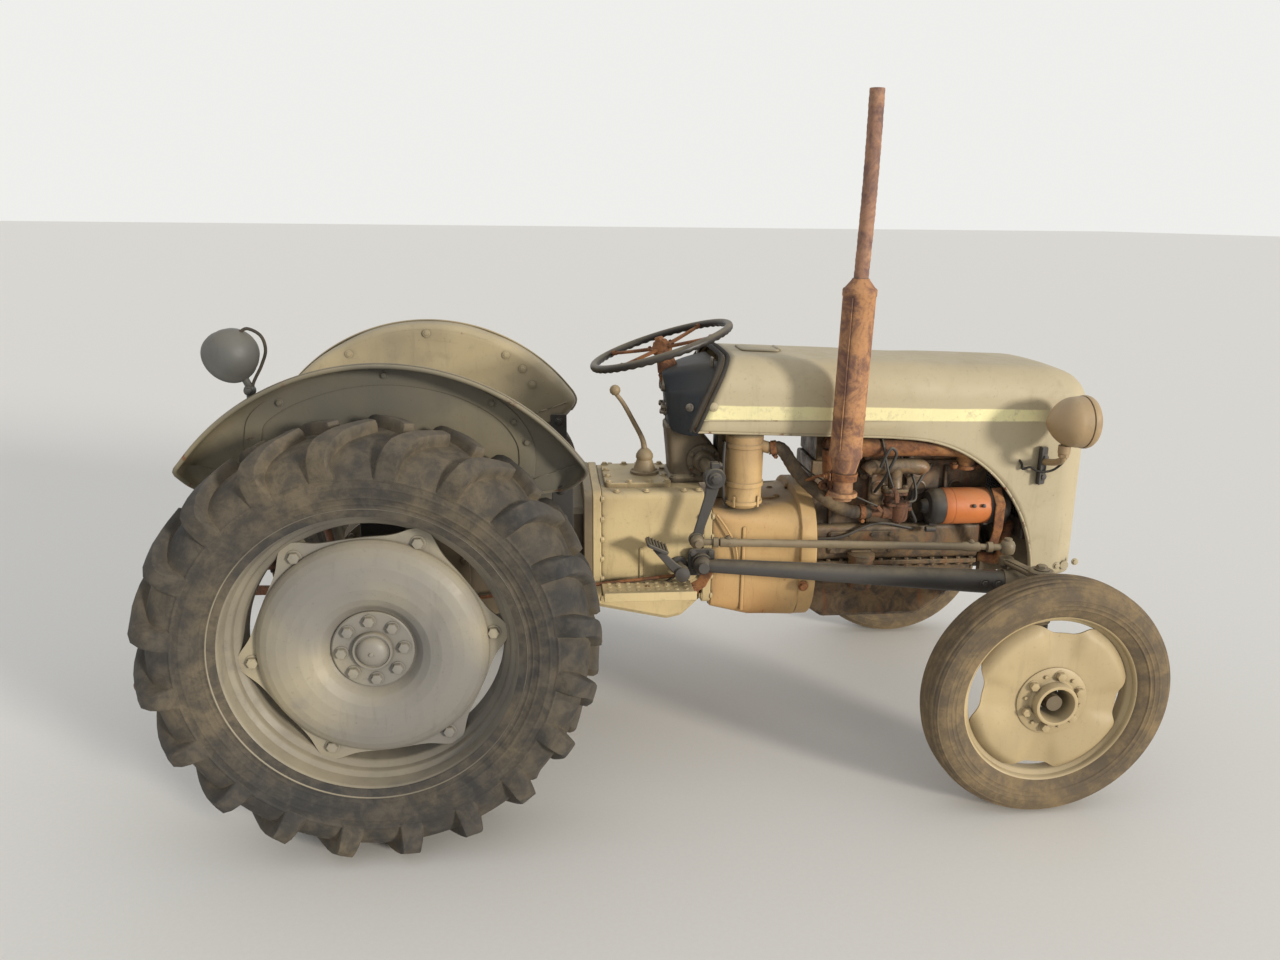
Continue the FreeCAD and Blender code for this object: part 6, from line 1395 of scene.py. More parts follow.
def radius_rod(side):
    """Tapered pressed tube from the gearbox to the axle with its welded seam, rear ball cap and front yoke bolts."""
    flip = np.array([1, side, 1])
    rear, front = ROD_REAR * flip, ROD_FRONT * flip
    length = np.linalg.norm(front - rear)
    profile = [(14, 0), (14, 17), (30, 20), (0.2 * length, 22), (0.5 * length, 27.5), (0.8 * length, 32),
        (length - 20, 34), (length, 33), (length + 8, 26), (length + 10, 0)]
    forms = [revolved(profile, rear, front - rear, 40, wear=0.1)]
    seam = np.stack([rear + (front - rear) * t + (0, -side * 2, 20 + 13.5 * t)
        for t in np.linspace(0.05, 0.98, 30)])
    forms.append(swept(seam, circle(2.4, 8), wear=0.7))
    forms.append(ball(rear, 27, 28))
    forms.append(bar((rear[0], side * 192, rear[2]), (rear[0], side * 212, rear[2]), 30, 32))
    forms.append(slab((rear[0] - 40, rear[0] + 40), span(side, 189.4, 197), (rear[2] - 42, rear[2] + 42), 14,
        across="y"))
    forms.append(bolts([(rear[0] + dx, side * 197, rear[2] + dz) for dx in (-27, 27) for dz in (-28, 28)],
        (0, side, 0), 8.5, 7, 12))
    forms.append(bar((rear[0], side * 240, rear[2]), (rear[0], side * 254, rear[2]), 17, 24))
    forms.append(bolts([front + (-30, side * 34, 10), front + (-66, side * 30, 10)], (0, side, 0), 9, 7, 13))
    return merged(forms)


def axle_bolts():
    """Bolts through the overlapping axle beams, clamp plates, kingpin collars and the pivot's cap."""
    forms = []
    for side in (1, -1):
        spots = [(x, side * y, 478 + 10 * (y > 180)) for x in (2011,) for y in (88, 130, 172, 208)]
        forms.append(bolts(spots, FORWARD, 11, 9, 16))
        forms.append(bolts([(1959, y, z) for _, y, z in spots], BACKWARD, 11, 10, 15))
        forms.append(revolved([(0, 34), (0, 38), (10, 38), (12, 34)], (1778, side * 515, 524), UP, 40))
        forms.append(revolved([(0, 34), (0, 38), (10, 38), (12, 34)], (1778, side * 515, 610), UP, 40))
        forms.append(bolts([(1778 + 30, side * 515, 570)], FORWARD, 8, 10, 12))
    forms.append(revolved([(0, 30), (6, 30), (9, 24), (9, 0)], (2040, 0, 478), FORWARD, 32))
    return merged(forms)


def build_steering(p, f):
    """Steering wheel, column, dashboard, pedestal, drop arms and drag links."""
    piece("steering_rim", grip_rim(), f["wheel_grip"], body="steering_wheel_body",
        replaces=("steering_wheel",), sharp=60)
    piece("steering_spokes", grip_spokes(), f["rust"], body="steering_wheel_body")
    tube_form, cone, lever = column_parts()
    piece("column_tube", tube_form, f["dark_iron_and_shade"], replaces=("steering_column",))
    piece("column_cone", cone, f["rust"])
    piece("throttle_lever", lever, f["steel"])
    # The dashboard's dark blue-grey is painted shade.
    piece("dashboard", panel_shell(), f["panel"], sharp=40)
    rims, faces = panel_fittings()
    piece("dashboard_fittings", rims, f["steel"])
    piece("gauge_faces", faces, f["glass"])
    piece("steering_pedestal", steering_box(), f["low_casting"])
    for name, side in SIDES:
        piece(f"pitman_{name}", drop_arm(side), f["dark_iron_and_shade"], body=f"drop_arm_{name}_body",
            replaces=(f"drop_arm_{name}",))
        piece(f"link_{name}", drag_link(side), f["low_casting"], body=f"drag_link_{name}_body",
            replaces=(f"drag_link_{name}",))


def build_front_axle(p, f):
    """Knuckles, radius rods and the bolts of the front axle."""
    for name, side in SIDES:
        piece(f"knuckle_forging_{name}", knuckle_parts(side), f["low_casting"], body=f"knuckle_{name}_body")
    # The radius rods take the dark iron tone, which is their shade painted in; where lit they are tan.
    piece("radius_rod_tubes", [radius_rod(1), radius_rod(-1)], f["dark_iron_and_shade"], replaces=("radius_rods",))
    piece("axle_bolts", axle_bolts(), f["low_casting"])


# Engine bay: exhaust, manifold, carburettor, air cleaner, hose, dynamo, belt, fan, radiator and engine

STACK = np.array([1271, -300, 822])
STACK_AXIS = np.array([math.sin(math.radians(1)), 0, math.cos(math.radians(1))])
LOG_Y = -170
PORTS = (1300, 1400, 1519.8, 1629.9)
CARB = np.array([1470, -182])
CLEANER = np.array([1012, -150, 0])
DYNAMO = np.array([1592, -152, 748])
PULLEY_X = 1826
PULLEYS = ((0, 880, 50), (0, 560, 62), (-152, 748, 38))


def silencer():
    """Turned silencer: neck, cone, ring step, can with two raised seams and the upper cone."""
    profile = [(-4, 0), (-4, 27), (8, 27), (8, 40), (10, 41.5), (18, 41.5), (20, 40), (20, 28), (44, 27),
        (66, 30), (90, 35), (114, 41), (121, 42.5), (121, 45.5), (124, 47), (140, 47), (143, 45.5), (146, 45),
        (240, 44.6), (242, 45.8), (247, 45.8), (249, 44.6), (420, 44.8), (570, 44.8), (573, 46.6), (588, 46.6),
        (592, 45), (594, 41), (604, 33), (614, 25), (618, 23.5)]
    form = revolved(profile, STACK, STACK_AXIS, 64)
    for z, angle, push in ((1050, -1.9, 3), (1190, -1.2, 2.2), (1310, -2.3, 2.6), (980, -0.9, 2)):
        out = np.array([math.cos(angle), math.sin(angle), 0])
        form = dented(form, STACK + STACK_AXIS * (z - 822) + out * 45, 70, -out * push)
    strip = [STACK + STACK_AXIS * z + (-30, -33.5, 0) for z in np.linspace(146, 570, 12)]
    return merged([form, swept(strip, BAR_SECTION * np.array([6, 3]), wear=0.6)])


def tail_pipe():
    """Long pipe with a weld collar, scaled rings of rust, a slight bow and an open worn mouth."""
    z = np.concatenate([np.linspace(608, 1098, 120)])
    scale = 20 + 0.35 * np.sin(z * 0.37) + 0.3 * np.sin(z * 0.113 + 1)
    outer = np.stack([z, scale], 1)
    profile = np.concatenate([[(604, 18), (604, 25), (612, 25.5), (616, 22)], outer[2:],
        [(1098, 19.4), (1097, 17.6), (900, 17.4), (890, 0)]])
    form = revolved(profile, STACK, STACK_AXIS, 40)
    bow = np.sin(np.clip((form.points[:, 2] - 1436) / 484, 0, 1) * math.pi) * 3
    form.points[:, 0] += bow
    return form


def stack_clamp():
    """Rusty strap round the silencer with its two ears, bolt and the strut to the engine."""
    place = STACK + STACK_AXIS * 66
    ring = revolved([(-11, 30), (-11, 36.5), (11, 38.5), (11, 32)], place, STACK_AXIS, 48, True, 0.4)
    x, y, z = place
    forms = [ring]
    for dx in (-4, 4):
        forms.append(slab((x + dx - 2 - 40, x + dx + 2 - 40), (y - 14, y + 14), (z - 11, z + 11), 3, 0.8, "x"))
    forms.append(bar((x - 60, y, z), (x - 26, y, z), 4.5, 12))
    forms.append(bolts([(x - 47, y, z)], BACKWARD, 8, 8))
    forms.append(swept([(x - 38, y + 10, z - 4), (x - 60, y + 34, z - 6), (x - 74, y + 80, z - 30),
        (x - 66, y + 122, z - 50)], BAR_SECTION * np.array([15, 5]), wear=0.3))
    forms.append(swept([(x + 4, y + 28, z - 8), (x - 8, y + 60, z - 52), (x - 12, y + 92, z - 84)],
        BAR_SECTION * np.array([14, 5]), wear=0.3))
    return merged(forms)


def flange_pair(centre, axis, radius, spread, across):
    """Oval joint flange with two bolts: a disc and two ears drawn out along one direction."""
    centre, axis, across = np.asarray(centre, float), unit(axis), unit(across)
    forms = [revolved([(-6, 0), (-6, radius - 1.5), (-4.5, radius), (4.5, radius), (6, radius - 1.5), (6, 0)],
        centre, axis, 40, wear=0.3)]
    for way in (1, -1):
        ear = centre + across * spread * way
        forms.append(revolved([(-6, 0), (-6, 11.5), (-5, 13), (5, 13), (6, 11.5), (6, 0)], ear, axis, 24,
            wear=0.3))
        forms.append(bolts([ear + axis * 5], axis, 8, 7, 11))
        forms.append(bolts([ear - axis * 5], -axis, 8, 7))
    return merged(forms)


def manifold_parts():
    """Exhaust log with swelling branches, end elbow, joint flanges, and the downpipe to the silencer."""
    forms = []
    log = [(1258, 0), (1258, 24), (1264, 30), (1330, 31), (1352, 28), (1376, 30.5), (1470, 28.5), (1560, 30),
        (1600, 29), (1642, 31), (1650, 27), (1650, 0)]
    forms.append(revolved(log, (0, LOG_Y, 940), FORWARD, 40))
    for x in PORTS:
        forms.append(bar((x, -95.2, 938), (x, LOG_Y, 938),
            [(0, 0), (0, 33), (10, 34), (14, 27), (40, 24), (74.8, 27)], 32))
        forms.append(bolts([(x - 29, -110, 938), (x + 29, -110, 938)], (0, -1, 0), 8.5, 9, 12))
    forms.append(tube([(1636, LOG_Y, 940), (1668, LOG_Y, 936), (1690, LOG_Y + 4, 916), (1694, -162, 878)],
        (31, 31, 29, 27), 28, 8))
    forms.append(flange_pair((1694, -162, 878), (0.1, 0.1, -1), 31, 36, FORWARD))
    forms.append(tube([(1271, LOG_Y, 934), (1271, LOG_Y - 2, 900), (1271, LOG_Y - 12, 866), (1271, -206, 851),
        (1271, -250, 850), (1271, -276, 850)], (27, 26, 26, 25, 23.5, 23.5), 32, 8))
    forms.append(flange_pair((1271, -222, 850), LEFT, 32, 37, (1, 0, 0.3)))
    return merged(forms)


def intake_parts():
    """Intake tube over the carburettor with its branches and riser."""
    forms = [tube([(1380, -174, 866), (1392, -174, 878), (1425, -174, 881), (1515, -174, 881),
        (1548, -174, 878), (1560, -174, 866)], (20, 23, 24, 24, 23, 20), 28, 8)]
    for x in (1400, 1540):
        forms.append(tube([(x, -92.4, 863), (x, -140, 863), (x, -174, 868)], (17, 17, 20), 24, 6))
        forms.append(flange_pair((x, -100, 863), (0, -1, 0), 26, 28, UP))
    forms.append(tube([(1470, -174, 884), (1470, -176, 850), (1470, -181, 816)], (24, 21, 21), 28, 6))
    forms.append(slab((1432, 1508), (-206, -156), (806, 816), 14))
    forms.append(bolts([(1440, -181, 816), (1500, -181, 816)], UP, 9, 8, 12))
    return merged(forms)


def carburettor():
    """Cast body, float bowl, throat, levers with their rods and jets."""
    x, y = CARB
    forms = [slab((x - 36, x + 36), (y - 22, y + 24), (796, 806), 12)]
    forms.append(revolved([(712, 0), (712, 12), (716, 22), (724, 27), (764, 28), (766, 32), (774, 32),
        (776, 26), (780, 12), (780, 0)], (x + 14, y - 8, 0), UP, 44))
    forms.append(bar((x - 6, y, 724), (x - 6, y, 798), 23, 36))
    forms.append(bar((x - 70, y, 742), (x - 12, y, 742), [(0, 0), (0, 17), (30, 17), (34, 21), (58, 22)], 32))
    forms.append(slab((x - 30, x + 34), (y - 34, y + 20), (766, 775), 14))
    forms.append(bolts([(x + dx, y + dy, 775) for dx, dy in ((-20, -26), (26, -28), (30, 14), (-22, 12))], UP,
        4.5, 4))
    forms.append(bar((x - 6, y - 44, 790), (x - 6, y + 28, 790), 4.5, 14))
    forms.append(bar((x - 46, y - 34, 752), (x - 46, y + 26, 752), 4, 14))
    forms.append(swept([(x - 6, y - 42, 782), (x - 10, y - 43, 812), (x - 22, y - 43, 830)],
        BAR_SECTION * np.array([4, 12]), wear=0.5))
    forms.append(swept([(x - 46, y - 33, 752), (x - 62, y - 34, 770)], BAR_SECTION * np.array([4, 11]),
        wear=0.5))
    forms.append(bolts([(x + 14, y - 8, 714)], DOWN, 10, 8))
    forms.append(bolts([(x + 42, y - 8, 752)], FORWARD, 7, 12))
    return merged(forms)


def rods_and_pipes():
    """Throttle rods, choke wire, fuel pipe with its filter bowl, oil pipe and the loop of cable."""
    x, y = CARB
    forms = [tube([(x - 22, y - 44, 830), (x - 40, y - 40, 880), (x - 52, y - 20, 952), (x - 50, y + 40, 1000)],
        3.4, 10, 6), tube([(x - 62, y - 34, 770), (x - 130, y - 26, 800), (x - 240, y + 30, 850),
        (1150, -70, 900), (960, -60, 940)], 2.6, 10, 8),
        tube([(x + 40, y - 4, 770), (x + 70, y + 6, 780), (x + 66, y + 30, 840), (x + 30, y + 50, 900),
        (x - 20, y + 66, 990), (1336, -92, 1010)], 4, 12, 8),
        tube([(1409, -214, 888), (1420, -222, 925), (1436, -222, 948), (1452, -220, 930), (1440, -214, 890),
        (1426, -206, 850), (1412, -170, 800)], 4.6, 12, 8),
        tube([(1560, -100, 690), (1556, -150, 700), (1530, -160, 760), (1560, -150, 830), (1610, -110, 870)], 5,
        12, 8), tube([(1240, -128, 640), (1330, -140, 650), (1440, -136, 690), (1560, -128, 668)], 4.4, 12, 8)]
    forms.append(bar((1336, -92, 975), (1336, -92, 1030),
        [(0, 0), (2, 14), (26, 20), (28, 24), (40, 24), (44, 12), (55, 9), (55, 0)], 28))
    return merged(forms)


def air_cleaner_parts():
    """Rolled can with three bands, a clipped bowl, cap, bracket straps and the outlet elbow."""
    z = [(757, 0), (757, 22), (760, 40), (766, 50), (772, 53), (774, 58.5), (783, 58.5), (785, 55), (826, 55),
        (828, 59.5), (840, 59.5), (842, 56), (930, 56), (943, 56), (945, 59), (955, 59), (957, 56), (978, 56),
        (986, 50), (990, 40), (994, 32), (1012, 30), (1015, 26), (1015, 0)]
    forms = [dented(revolved(z, CLEANER, UP, 64, wear=0.15), (1000, -205, 890), 45, (0, 3, 0))]
    forms.append(slab((982, 1042), (-150, -84), (753, 797), 4))
    for angle in (-2.2, -0.9):
        out = np.array([math.cos(angle), math.sin(angle), 0])
        forms.append(slab((-4, 4), (0, 6), (0, 34), 2).placed([[-out[1], out[0], 0], [out[0], out[1], 0],
            [0, 0, 1]], CLEANER + out * 56 + (0, 0, 768)))
    forms.append(tube([(1030, -156, 950), (1056, -166, 948), (1084, -172, 942)], (20, 18, 17.5), 28, 6))
    forms.append(bolts([(954, -160, 834)], (-0.6, -0.8, 0), 7, 10))
    thin = tube([(950, -168, 960), (946, -176, 900), (948, -176, 820), (960, -160, 770), (1000, -110, 756)], 5,
        12, 8)
    return merged(forms), thin


HOSE_LINE = ((1084.4, -172.1, 941.9), (1120, -180.6, 936.9), (1168, -188, 868), (1240, -191, 800),
    (1322, -185, 749), (1398, -182, 742))


def hose_parts():
    """Rubber hose along the smooth line, its radius rising in shallow wraps, with a clamp at each end."""
    path = curve_through(HOSE_LINE, 26)
    along = np.arange(len(path))
    radius = 19.6 + 0.55 * np.cos(along * 1.1)
    forms = [swept(path, circle(1, 28), radius)]
    clamps = []
    for spot, ahead in ((8, 1), (len(path) - 10, 1)):
        axis = unit(path[spot + ahead] - path[spot - ahead])
        clamps.append(revolved([(-8, 19), (-8, 22.4), (8, 22.4), (8, 19)], path[spot], axis, 40, True, 0.4))
        top = path[spot] + np.cross(axis, LEFT) * -24
        clamps.append(bar(top - (0, 13, 0), top + (0, 13, 0), 6.5, 16))
        clamps.append(bolts([top - (0, 12, 0)], (0, -1, 0), 7, 6))
    return merged(forms), merged(clamps)


def dynamo_parts():
    """Painted can with its through bolts, the black commutator end, front plate with lug, and the strap."""
    x, y, z = DYNAMO
    can = [(38, 0), (38, 55), (40, 56), (60, 56), (61, 55.2), (66, 55.2), (67, 56), (176, 56), (178, 55),
        (178, 0)]
    body = [revolved(can, (x, y, z), FORWARD, 56)]
    end = [(-26, 0), (-26, 15), (-22, 20), (-8, 24), (-4, 44), (4, 51), (14, 54.5), (38, 54.5), (38, 0)]
    front = [(178, 0), (178, 56.5), (184, 57.5), (192, 56), (200, 44), (208, 26), (224, 22), (224, 0)]
    dark = [revolved(end, (x, y, z), FORWARD, 48), revolved(front, (x, y, z), FORWARD, 48)]
    for angle in (0.9, 2.5, 4.2, 5.5):
        out = np.array([0, math.cos(angle), math.sin(angle)])
        dark.append(bolts([np.array([x + 6, y, z]) + out * 44], BACKWARD, 5, 8))
    for low, high in ((10, 30), (184, 198)):
        dark.append(slab((x + low, x + high), (-147, -92.3), (680.3, 712), 5, across="x"))
    dark.append(bar((x - 6, y - 8, z - 72), (x + 26, y - 8, z - 72), 9, 16))
    dark.append(bolts([(x + 120, y - 54, z + 14), (x + 150, y - 54, z + 14)], (0, -1, 0.2), 6, 10))
    strap = swept([(x + 196, y - 30, z + 62), (x + 200, y - 62, z + 20), (x + 202, y - 58, z - 60),
        (x + 206, y - 30, z - 118), (x + 206, -124, z - 150)], BAR_SECTION * np.array([16, 5]), wear=0.3)
    return merged(body), merged(dark), strap


def belt_parts():
    """Pulleys, and the V belt: for each direction the belt touches the pulley whose centre + radius reaches furthest."""
    forms = []
    for y, z, radius in PULLEYS:
        groove = [(-12, 0), (-12, radius + 2), (-9, radius + 3), (-3, radius - 7), (3, radius - 7),
            (9, radius + 3), (12, radius + 2), (12, radius * 0.5), (22, radius * 0.4), (22, 0)]
        forms.append(revolved(groove, (PULLEY_X, y, z), FORWARD, 56, wear=0.5))
    forms.append(bar((1800.4, 0, 560), (PULLEY_X - 8, 0, 560), 34, 36))
    forms.append(bar((1800.4, 0, 880), (PULLEY_X - 8, 0, 880), 27, 36))
    way = np.linspace(0, TAU, 300, endpoint=False)
    normal = np.stack([np.cos(way), np.sin(way)], 1)
    centres = np.array([(y, z) for y, z, _ in PULLEYS])
    radii = np.array([radius for _, _, radius in PULLEYS]) - 1
    chosen = np.argmax(normal @ centres.T + radii, 1)
    line = centres[chosen] + normal * radii[chosen][:, None]
    levels = ((-4, -4), (4, -4), (8, 5), (-8, 5))
    rows = np.stack([np.concatenate([np.full((300, 1), PULLEY_X + dx), line + normal * out], 1)
        for dx, out in levels], 1)
    return merged(forms), grid(rows, close_u=True, close_v=True)


def fan_parts():
    """Four twisted blades: chord and pitch change evenly from root to tip; riveted to a cross on the hub."""
    forms = [revolved([(0, 0), (0, 36), (20, 38), (30, 30), (38, 18), (38, 0)], (PULLEY_X + 10, 0, 880),
        FORWARD, 40)]
    reach = np.linspace(22, 150, 14)[:, None]
    chord = np.linspace(-1, 1, 12)[None, :]
    half = 26 + 18 * np.sin(np.clip((reach - 22) / 128, 0, 1) * math.pi * 0.55)
    pitch = np.radians(40 - 16 * (reach - 22) / 128)
    for number in range(4):
        angle = TAU * number / 4 + 0.35
        along_y, along_z = math.cos(angle), math.sin(angle)
        x = 1850 + half * chord * np.sin(pitch) + 4 * chord ** 2
        tangent = half * chord * np.cos(pitch)
        rows = np.stack([x, along_y * reach - along_z * tangent, 880 + along_z * reach + along_y * tangent], -1)
        back = rows + np.array([2.4, 0, 0])
        forms.append(grid(np.concatenate([rows, back[:, ::-1]], 1), close_v=True, cap=True, wear=0.3))
    return merged(forms)


def radiator_parts():
    """Finned core: thin level plates between tubes, soldered tanks with rolled seams, cap, hoses and the lower pipe."""
    metal = [slab((1885.5, 1964.5), (-181, 181), (640.2, 698), 9, 4, "x"),
        slab((1885.5, 1964.5), (-181, 181), (1056, 1124), 14, 6, "x")]
    for z in (699, 1055):
        metal.append(slab((1883, 1967), (-184, 184), (z - 3, z + 3), 6, 1))
    for side in (1, -1):
        metal.append(slab((1887, 1963), span(side, 174, 182), (692, 1062), 2))
    metal.append(revolved([(0, 0), (0, 30), (14, 30), (14, 38), (22, 38), (26, 30), (26, 0)], (1925, 0, 1122),
        UP, 40))
    fins = [slab((1894, 1956), (-172, 172), (z, z + 1.6), 1, 0.4) for z in np.arange(704, 1052, 8)]
    for x in (1898, 1925, 1952):
        fins += [bar((x, y, 700), (x, y, 1054), 3.4, 8) for y in np.linspace(-164, 164, 24)]
    hoses = [tube([(1765, 0, 978), (1765, 0, 1040), (1772, 0, 1070), (1800, 0, 1084), (1888, 0, 1085)], 24, 28,
        8)]
    pipe = tube([(1888, -112, 668), (1872, -122, 664), (1860, -134, 640), (1858, -138, 600), (1846, -120, 560),
        (1800, -88, 556)], 17, 24, 8)
    rings = [revolved([(-7, 17), (-7, 20), (7, 20), (7, 17)], (1859, -136, 622), UP, 32, True)]
    for x in (1868, 1800):
        rings.append(revolved([(-7, 24), (-7, 27), (7, 27), (7, 24)], (x, 0, 1084.6), FORWARD, 36, True))
    return merged(metal), merged(fins), merged(hoses), merged([pipe] + rings)


def engine_parts():
    """Block, head and sump as rounded castings with ribs, plugs, covers, studs and their nuts."""
    forms = [slab((1235.3, 1799), (-92, 92), (560, 880), 10, 4, "x"),
        slab((1236, 1779), (-124, 124), (566, 680), 16, 5, "x"),
        slab((1247, 1788), (-95, 95), (880, 974), 9, 4, "x")]
    sump = rounded([(1236, 562), (1236, 410), (1290, 373), (1600, 373), (1718, 456), (1773, 520), (1773, 562)],
        (4, 26, 26, 40, 30, 12, 4))
    forms.append(prism(sump, -117, 117, "y", 12))
    forms.append(slab((1236, 1774), (-134, 134), (552, 566), 8, 2))
    cover = rounded([(-68, 974), (-64, 1024), (-44, 1044), (44, 1044), (64, 1024), (68, 974)],
        (2, 14, 18, 18, 14, 2))
    rocker = prism(cover, 1291, 1729, "x", 10)
    rim = slab((1286, 1734), (-74, 74), (974, 981), 16)
    caps = [revolved([(0, 12), (4, 14), (10, 12), (14, 6), (14, 0)], (x, 0, 1043), UP, 28)
        for x in (1360, 1510, 1660)]
    filler = revolved([(0, 20), (22, 20), (24, 27), (36, 27), (40, 22), (40, 0)], (1690, 30, 1040), UP, 32)
    for side in (1, -1):
        x = np.linspace(1254, 1756, 13)
        forms.append(bolts([(value, side * 126, 552) for value in x], DOWN, 7.5, 8, 10))
        forms.append(bolts([(value, side * 126, 566) for value in x], UP, 7.5, 6))
        forms.append(bolts([(value, side * 82, 974) for value in np.linspace(1266, 1768, 8)], UP, 10, 11, 13))
        plugs = [revolved([(0, 24), (3, 24), (4, 20), (2, 17), (2, 0)], (value, side * 91, 790), (0, side, 0),
            32, wear=0.4) for value in (1330, 1450, 1580, 1700)]
        forms += plugs
        for value in (1300, 1420, 1540, 1660):
            forms.append(slab((value - 5, value + 5), span(side, 92, 106), (680, 862), 3, 2))
        forms.append(slab((1290, 1500), span(side, 123, 130), (590, 662), 14, 2, "y"))
        forms.append(bolts([(value, side * 129, height) for value in (1302, 1360, 1430, 1488)
            for height in (600, 652)], (0, side, 0), 6.5, 6, 9))
    can = [(0, 0), (0, 30), (6, 38), (96, 38), (98, 42), (112, 42), (116, 30), (116, 0)]
    forms.append(revolved(can, (1392, -150, 486), UP, 40))
    forms.append(slab((1360, 1424), (-150, -116), (574, 606), 8, 3))
    forms.append(revolved([(0, 0), (0, 17), (16, 17), (18, 13), (18, 0)], (1440, 0, 374), DOWN, 24))
    spark = []
    for x in (1350, 1460, 1580, 1690):
        spark.append(revolved([(0, 12), (8, 12), (8, 9), (12, 7), (40, 6), (42, 3), (50, 3), (50, 0)],
            (x, 84, 960), (0, 0.5, 0.86), 18))
    leads = [tube([(x, 110, 1002), (x + 6, 128, 1030), (0.5 * (x + 1530), 138, 1016), (1530, 140, 960)], 3.6,
        10, 8) for x in (1350, 1460, 1580, 1690)]
    head = revolved([(0, 0), (0, 20), (40, 22), (60, 36), (92, 38), (96, 30), (112, 24), (118, 0)],
        (1530, 138, 842), UP, 32)
    return merged(forms), merged([rocker, rim, filler] + caps), merged(spark), merged(leads + [head])


def build_exhaust(p, f):
    """Silencer, tail pipe, clamp, manifold and intake."""
    piece("silencer", silencer(), f["exhaust"], replaces=("exhaust",), sharp=34)
    piece("tail_pipe", tail_pipe(), f["stack"], sharp=34)
    piece("silencer_clamp", stack_clamp(), f["rust"], sharp=34)
    piece("exhaust_log", manifold_parts(), f["rust"], replaces=("manifold",), sharp=38)
    piece("intake_tube", intake_parts(), f["engine"], sharp=38)
    piece("carburettor", carburettor(), f["brown_rust"])
    piece("rods_and_pipes", rods_and_pipes(), f["dark_iron_and_shade"], sharp=50)


def build_air(p, f):
    """Air cleaner and its hose."""
    can, thin = air_cleaner_parts()
    piece("cleaner_can", can, f["cleaner"], replaces=("air_cleaner",))
    piece("cleaner_pipe", thin, f["dark_iron_and_shade"], sharp=50)
    hose, clamps = hose_parts()
    piece("intake_hose", hose, f["hose"], replaces=("air_hose",), sharp=60)
    piece("hose_clamps", clamps, f["rust"])


def build_dynamo(p, f):
    """Dynamo, pulleys, belt and fan."""
    can, dark, strap = dynamo_parts()
    piece("dynamo_can", can, f["dynamo"], replaces=("dynamo",))
    piece("dynamo_ends", dark, f["dark_iron_and_shade"])
    piece("dynamo_strap", strap, f["rust"])
    wheels, belt = belt_parts()
    piece("pulleys", [wheels, fan_parts()], f["dark_engine"], replaces=("fan_and_belt",),
        sharp=34)
    piece("drive_belt", belt, f["rubber"], sharp=40)


def build_engine(p, f):
    """Engine castings, plugs with their leads, and the radiator."""
    castings, rocker, spark, leads = engine_parts()
    piece("engine_castings", castings, f["engine"], replaces=("engine_block",), sharp=34)
    piece("rocker_cover", rocker, f["low_casting"], sharp=34)
    piece("spark_plugs", spark, f["steel"])
    piece("plug_leads", leads, f["rubber"], sharp=50)
    metal, fins, hoses, pipe = radiator_parts()
    piece("radiator_tanks", metal, f["dark_engine"], replaces=("radiator",), sharp=34)
    piece("radiator_core", fins, f["dark_iron_and_shade"], sharp=34)
    piece("radiator_hoses", hoses, f["rubber"], sharp=50)
    piece("radiator_pipe", pipe, f["rust"], sharp=40)


# Drive line, lift gear, driver's place and work lamp

CASE_JOINT = 560
SHELF_Z = 500
CASE_TOP = 812


def gearbox_parts():
    """Gearbox with rounded edges, its lower sump, joint flanges, top plate and the bolts of all of them."""
    forms = [slab((584, 893), (-175, 175), (SHELF_Z, CASE_TOP), 22, 5, "x"),
        slab((586, 892), (-162, 162), (490, 502), 8, 3)]
    sump = rounded([(CASE_JOINT, 494), (CASE_JOINT, 444), (790, 393), (835, 403), (904, 470), (904, 494)],
        (4, 20, 30, 30, 20, 4))
    forms.append(prism(sump, -149, 149, "y", 14))
    forms.append(slab((CASE_JOINT, 586), (-189, 189), (460, 820), 30, 2.5, "x"))
    forms.append(slab((891, 917), (-189, 189), (460, 756), 30, 2.5, "x"))
    forms.append(slab((600, 800), (-120, 120), (CASE_TOP - 4, 826), 16, 2.5))
    around = [(x, y, 826) for x in (612, 674, 736, 788) for y in (-108, 108)]
    around += [(x, y, 826) for x in (612, 788) for y in (-36, 36)]
    forms.append(bolts(around, UP, 8.5, 8, 12))
    forms.append(bolts([(x, y, CASE_TOP) for x in (632, 720, 832, 876) for y in (-158, 158)], UP, 8, 7, 11))
    for side in (1, -1):
        heights = np.linspace(486, 796, 6)
        forms.append(bolts([(586, side * 181, z) for z in heights], FORWARD, 8.5, 9, 11))
        forms.append(bolts([(891, side * 181, z) for z in np.linspace(486, 736, 5)], BACKWARD, 8.5, 9, 11))
        forms.append(bolts([(917, side * 181, z) for z in np.linspace(486, 736, 5)], FORWARD, 8.5, 7, 11))
        forms.append(bolts([(x, side * 157, 490) for x in (620, 690, 760, 830, 880)], DOWN, 8, 8))
        forms.append(revolved([(0, 34), (5, 34), (8, 30), (8, 16), (6, 14), (6, 0)], (846, side * 174, 566),
            (0, side, 0), 36, wear=0.3))
        forms.append(bolts([(846, side * 180, 566)], (0, side, 0), 11, 8))
        forms.append(slab((596, 884), span(side, 173, 181), (505, 519), 5, 2, "y"))
        forms.append(slab((700, 712), span(side, 173, 180), (519, 640), 4, 2, "y"))
    forms.append(revolved([(0, 0), (0, 22), (12, 22), (12, 16), (22, 16), (24, 0)], (812, 0, 396), DOWN, 28))
    return merged(forms)


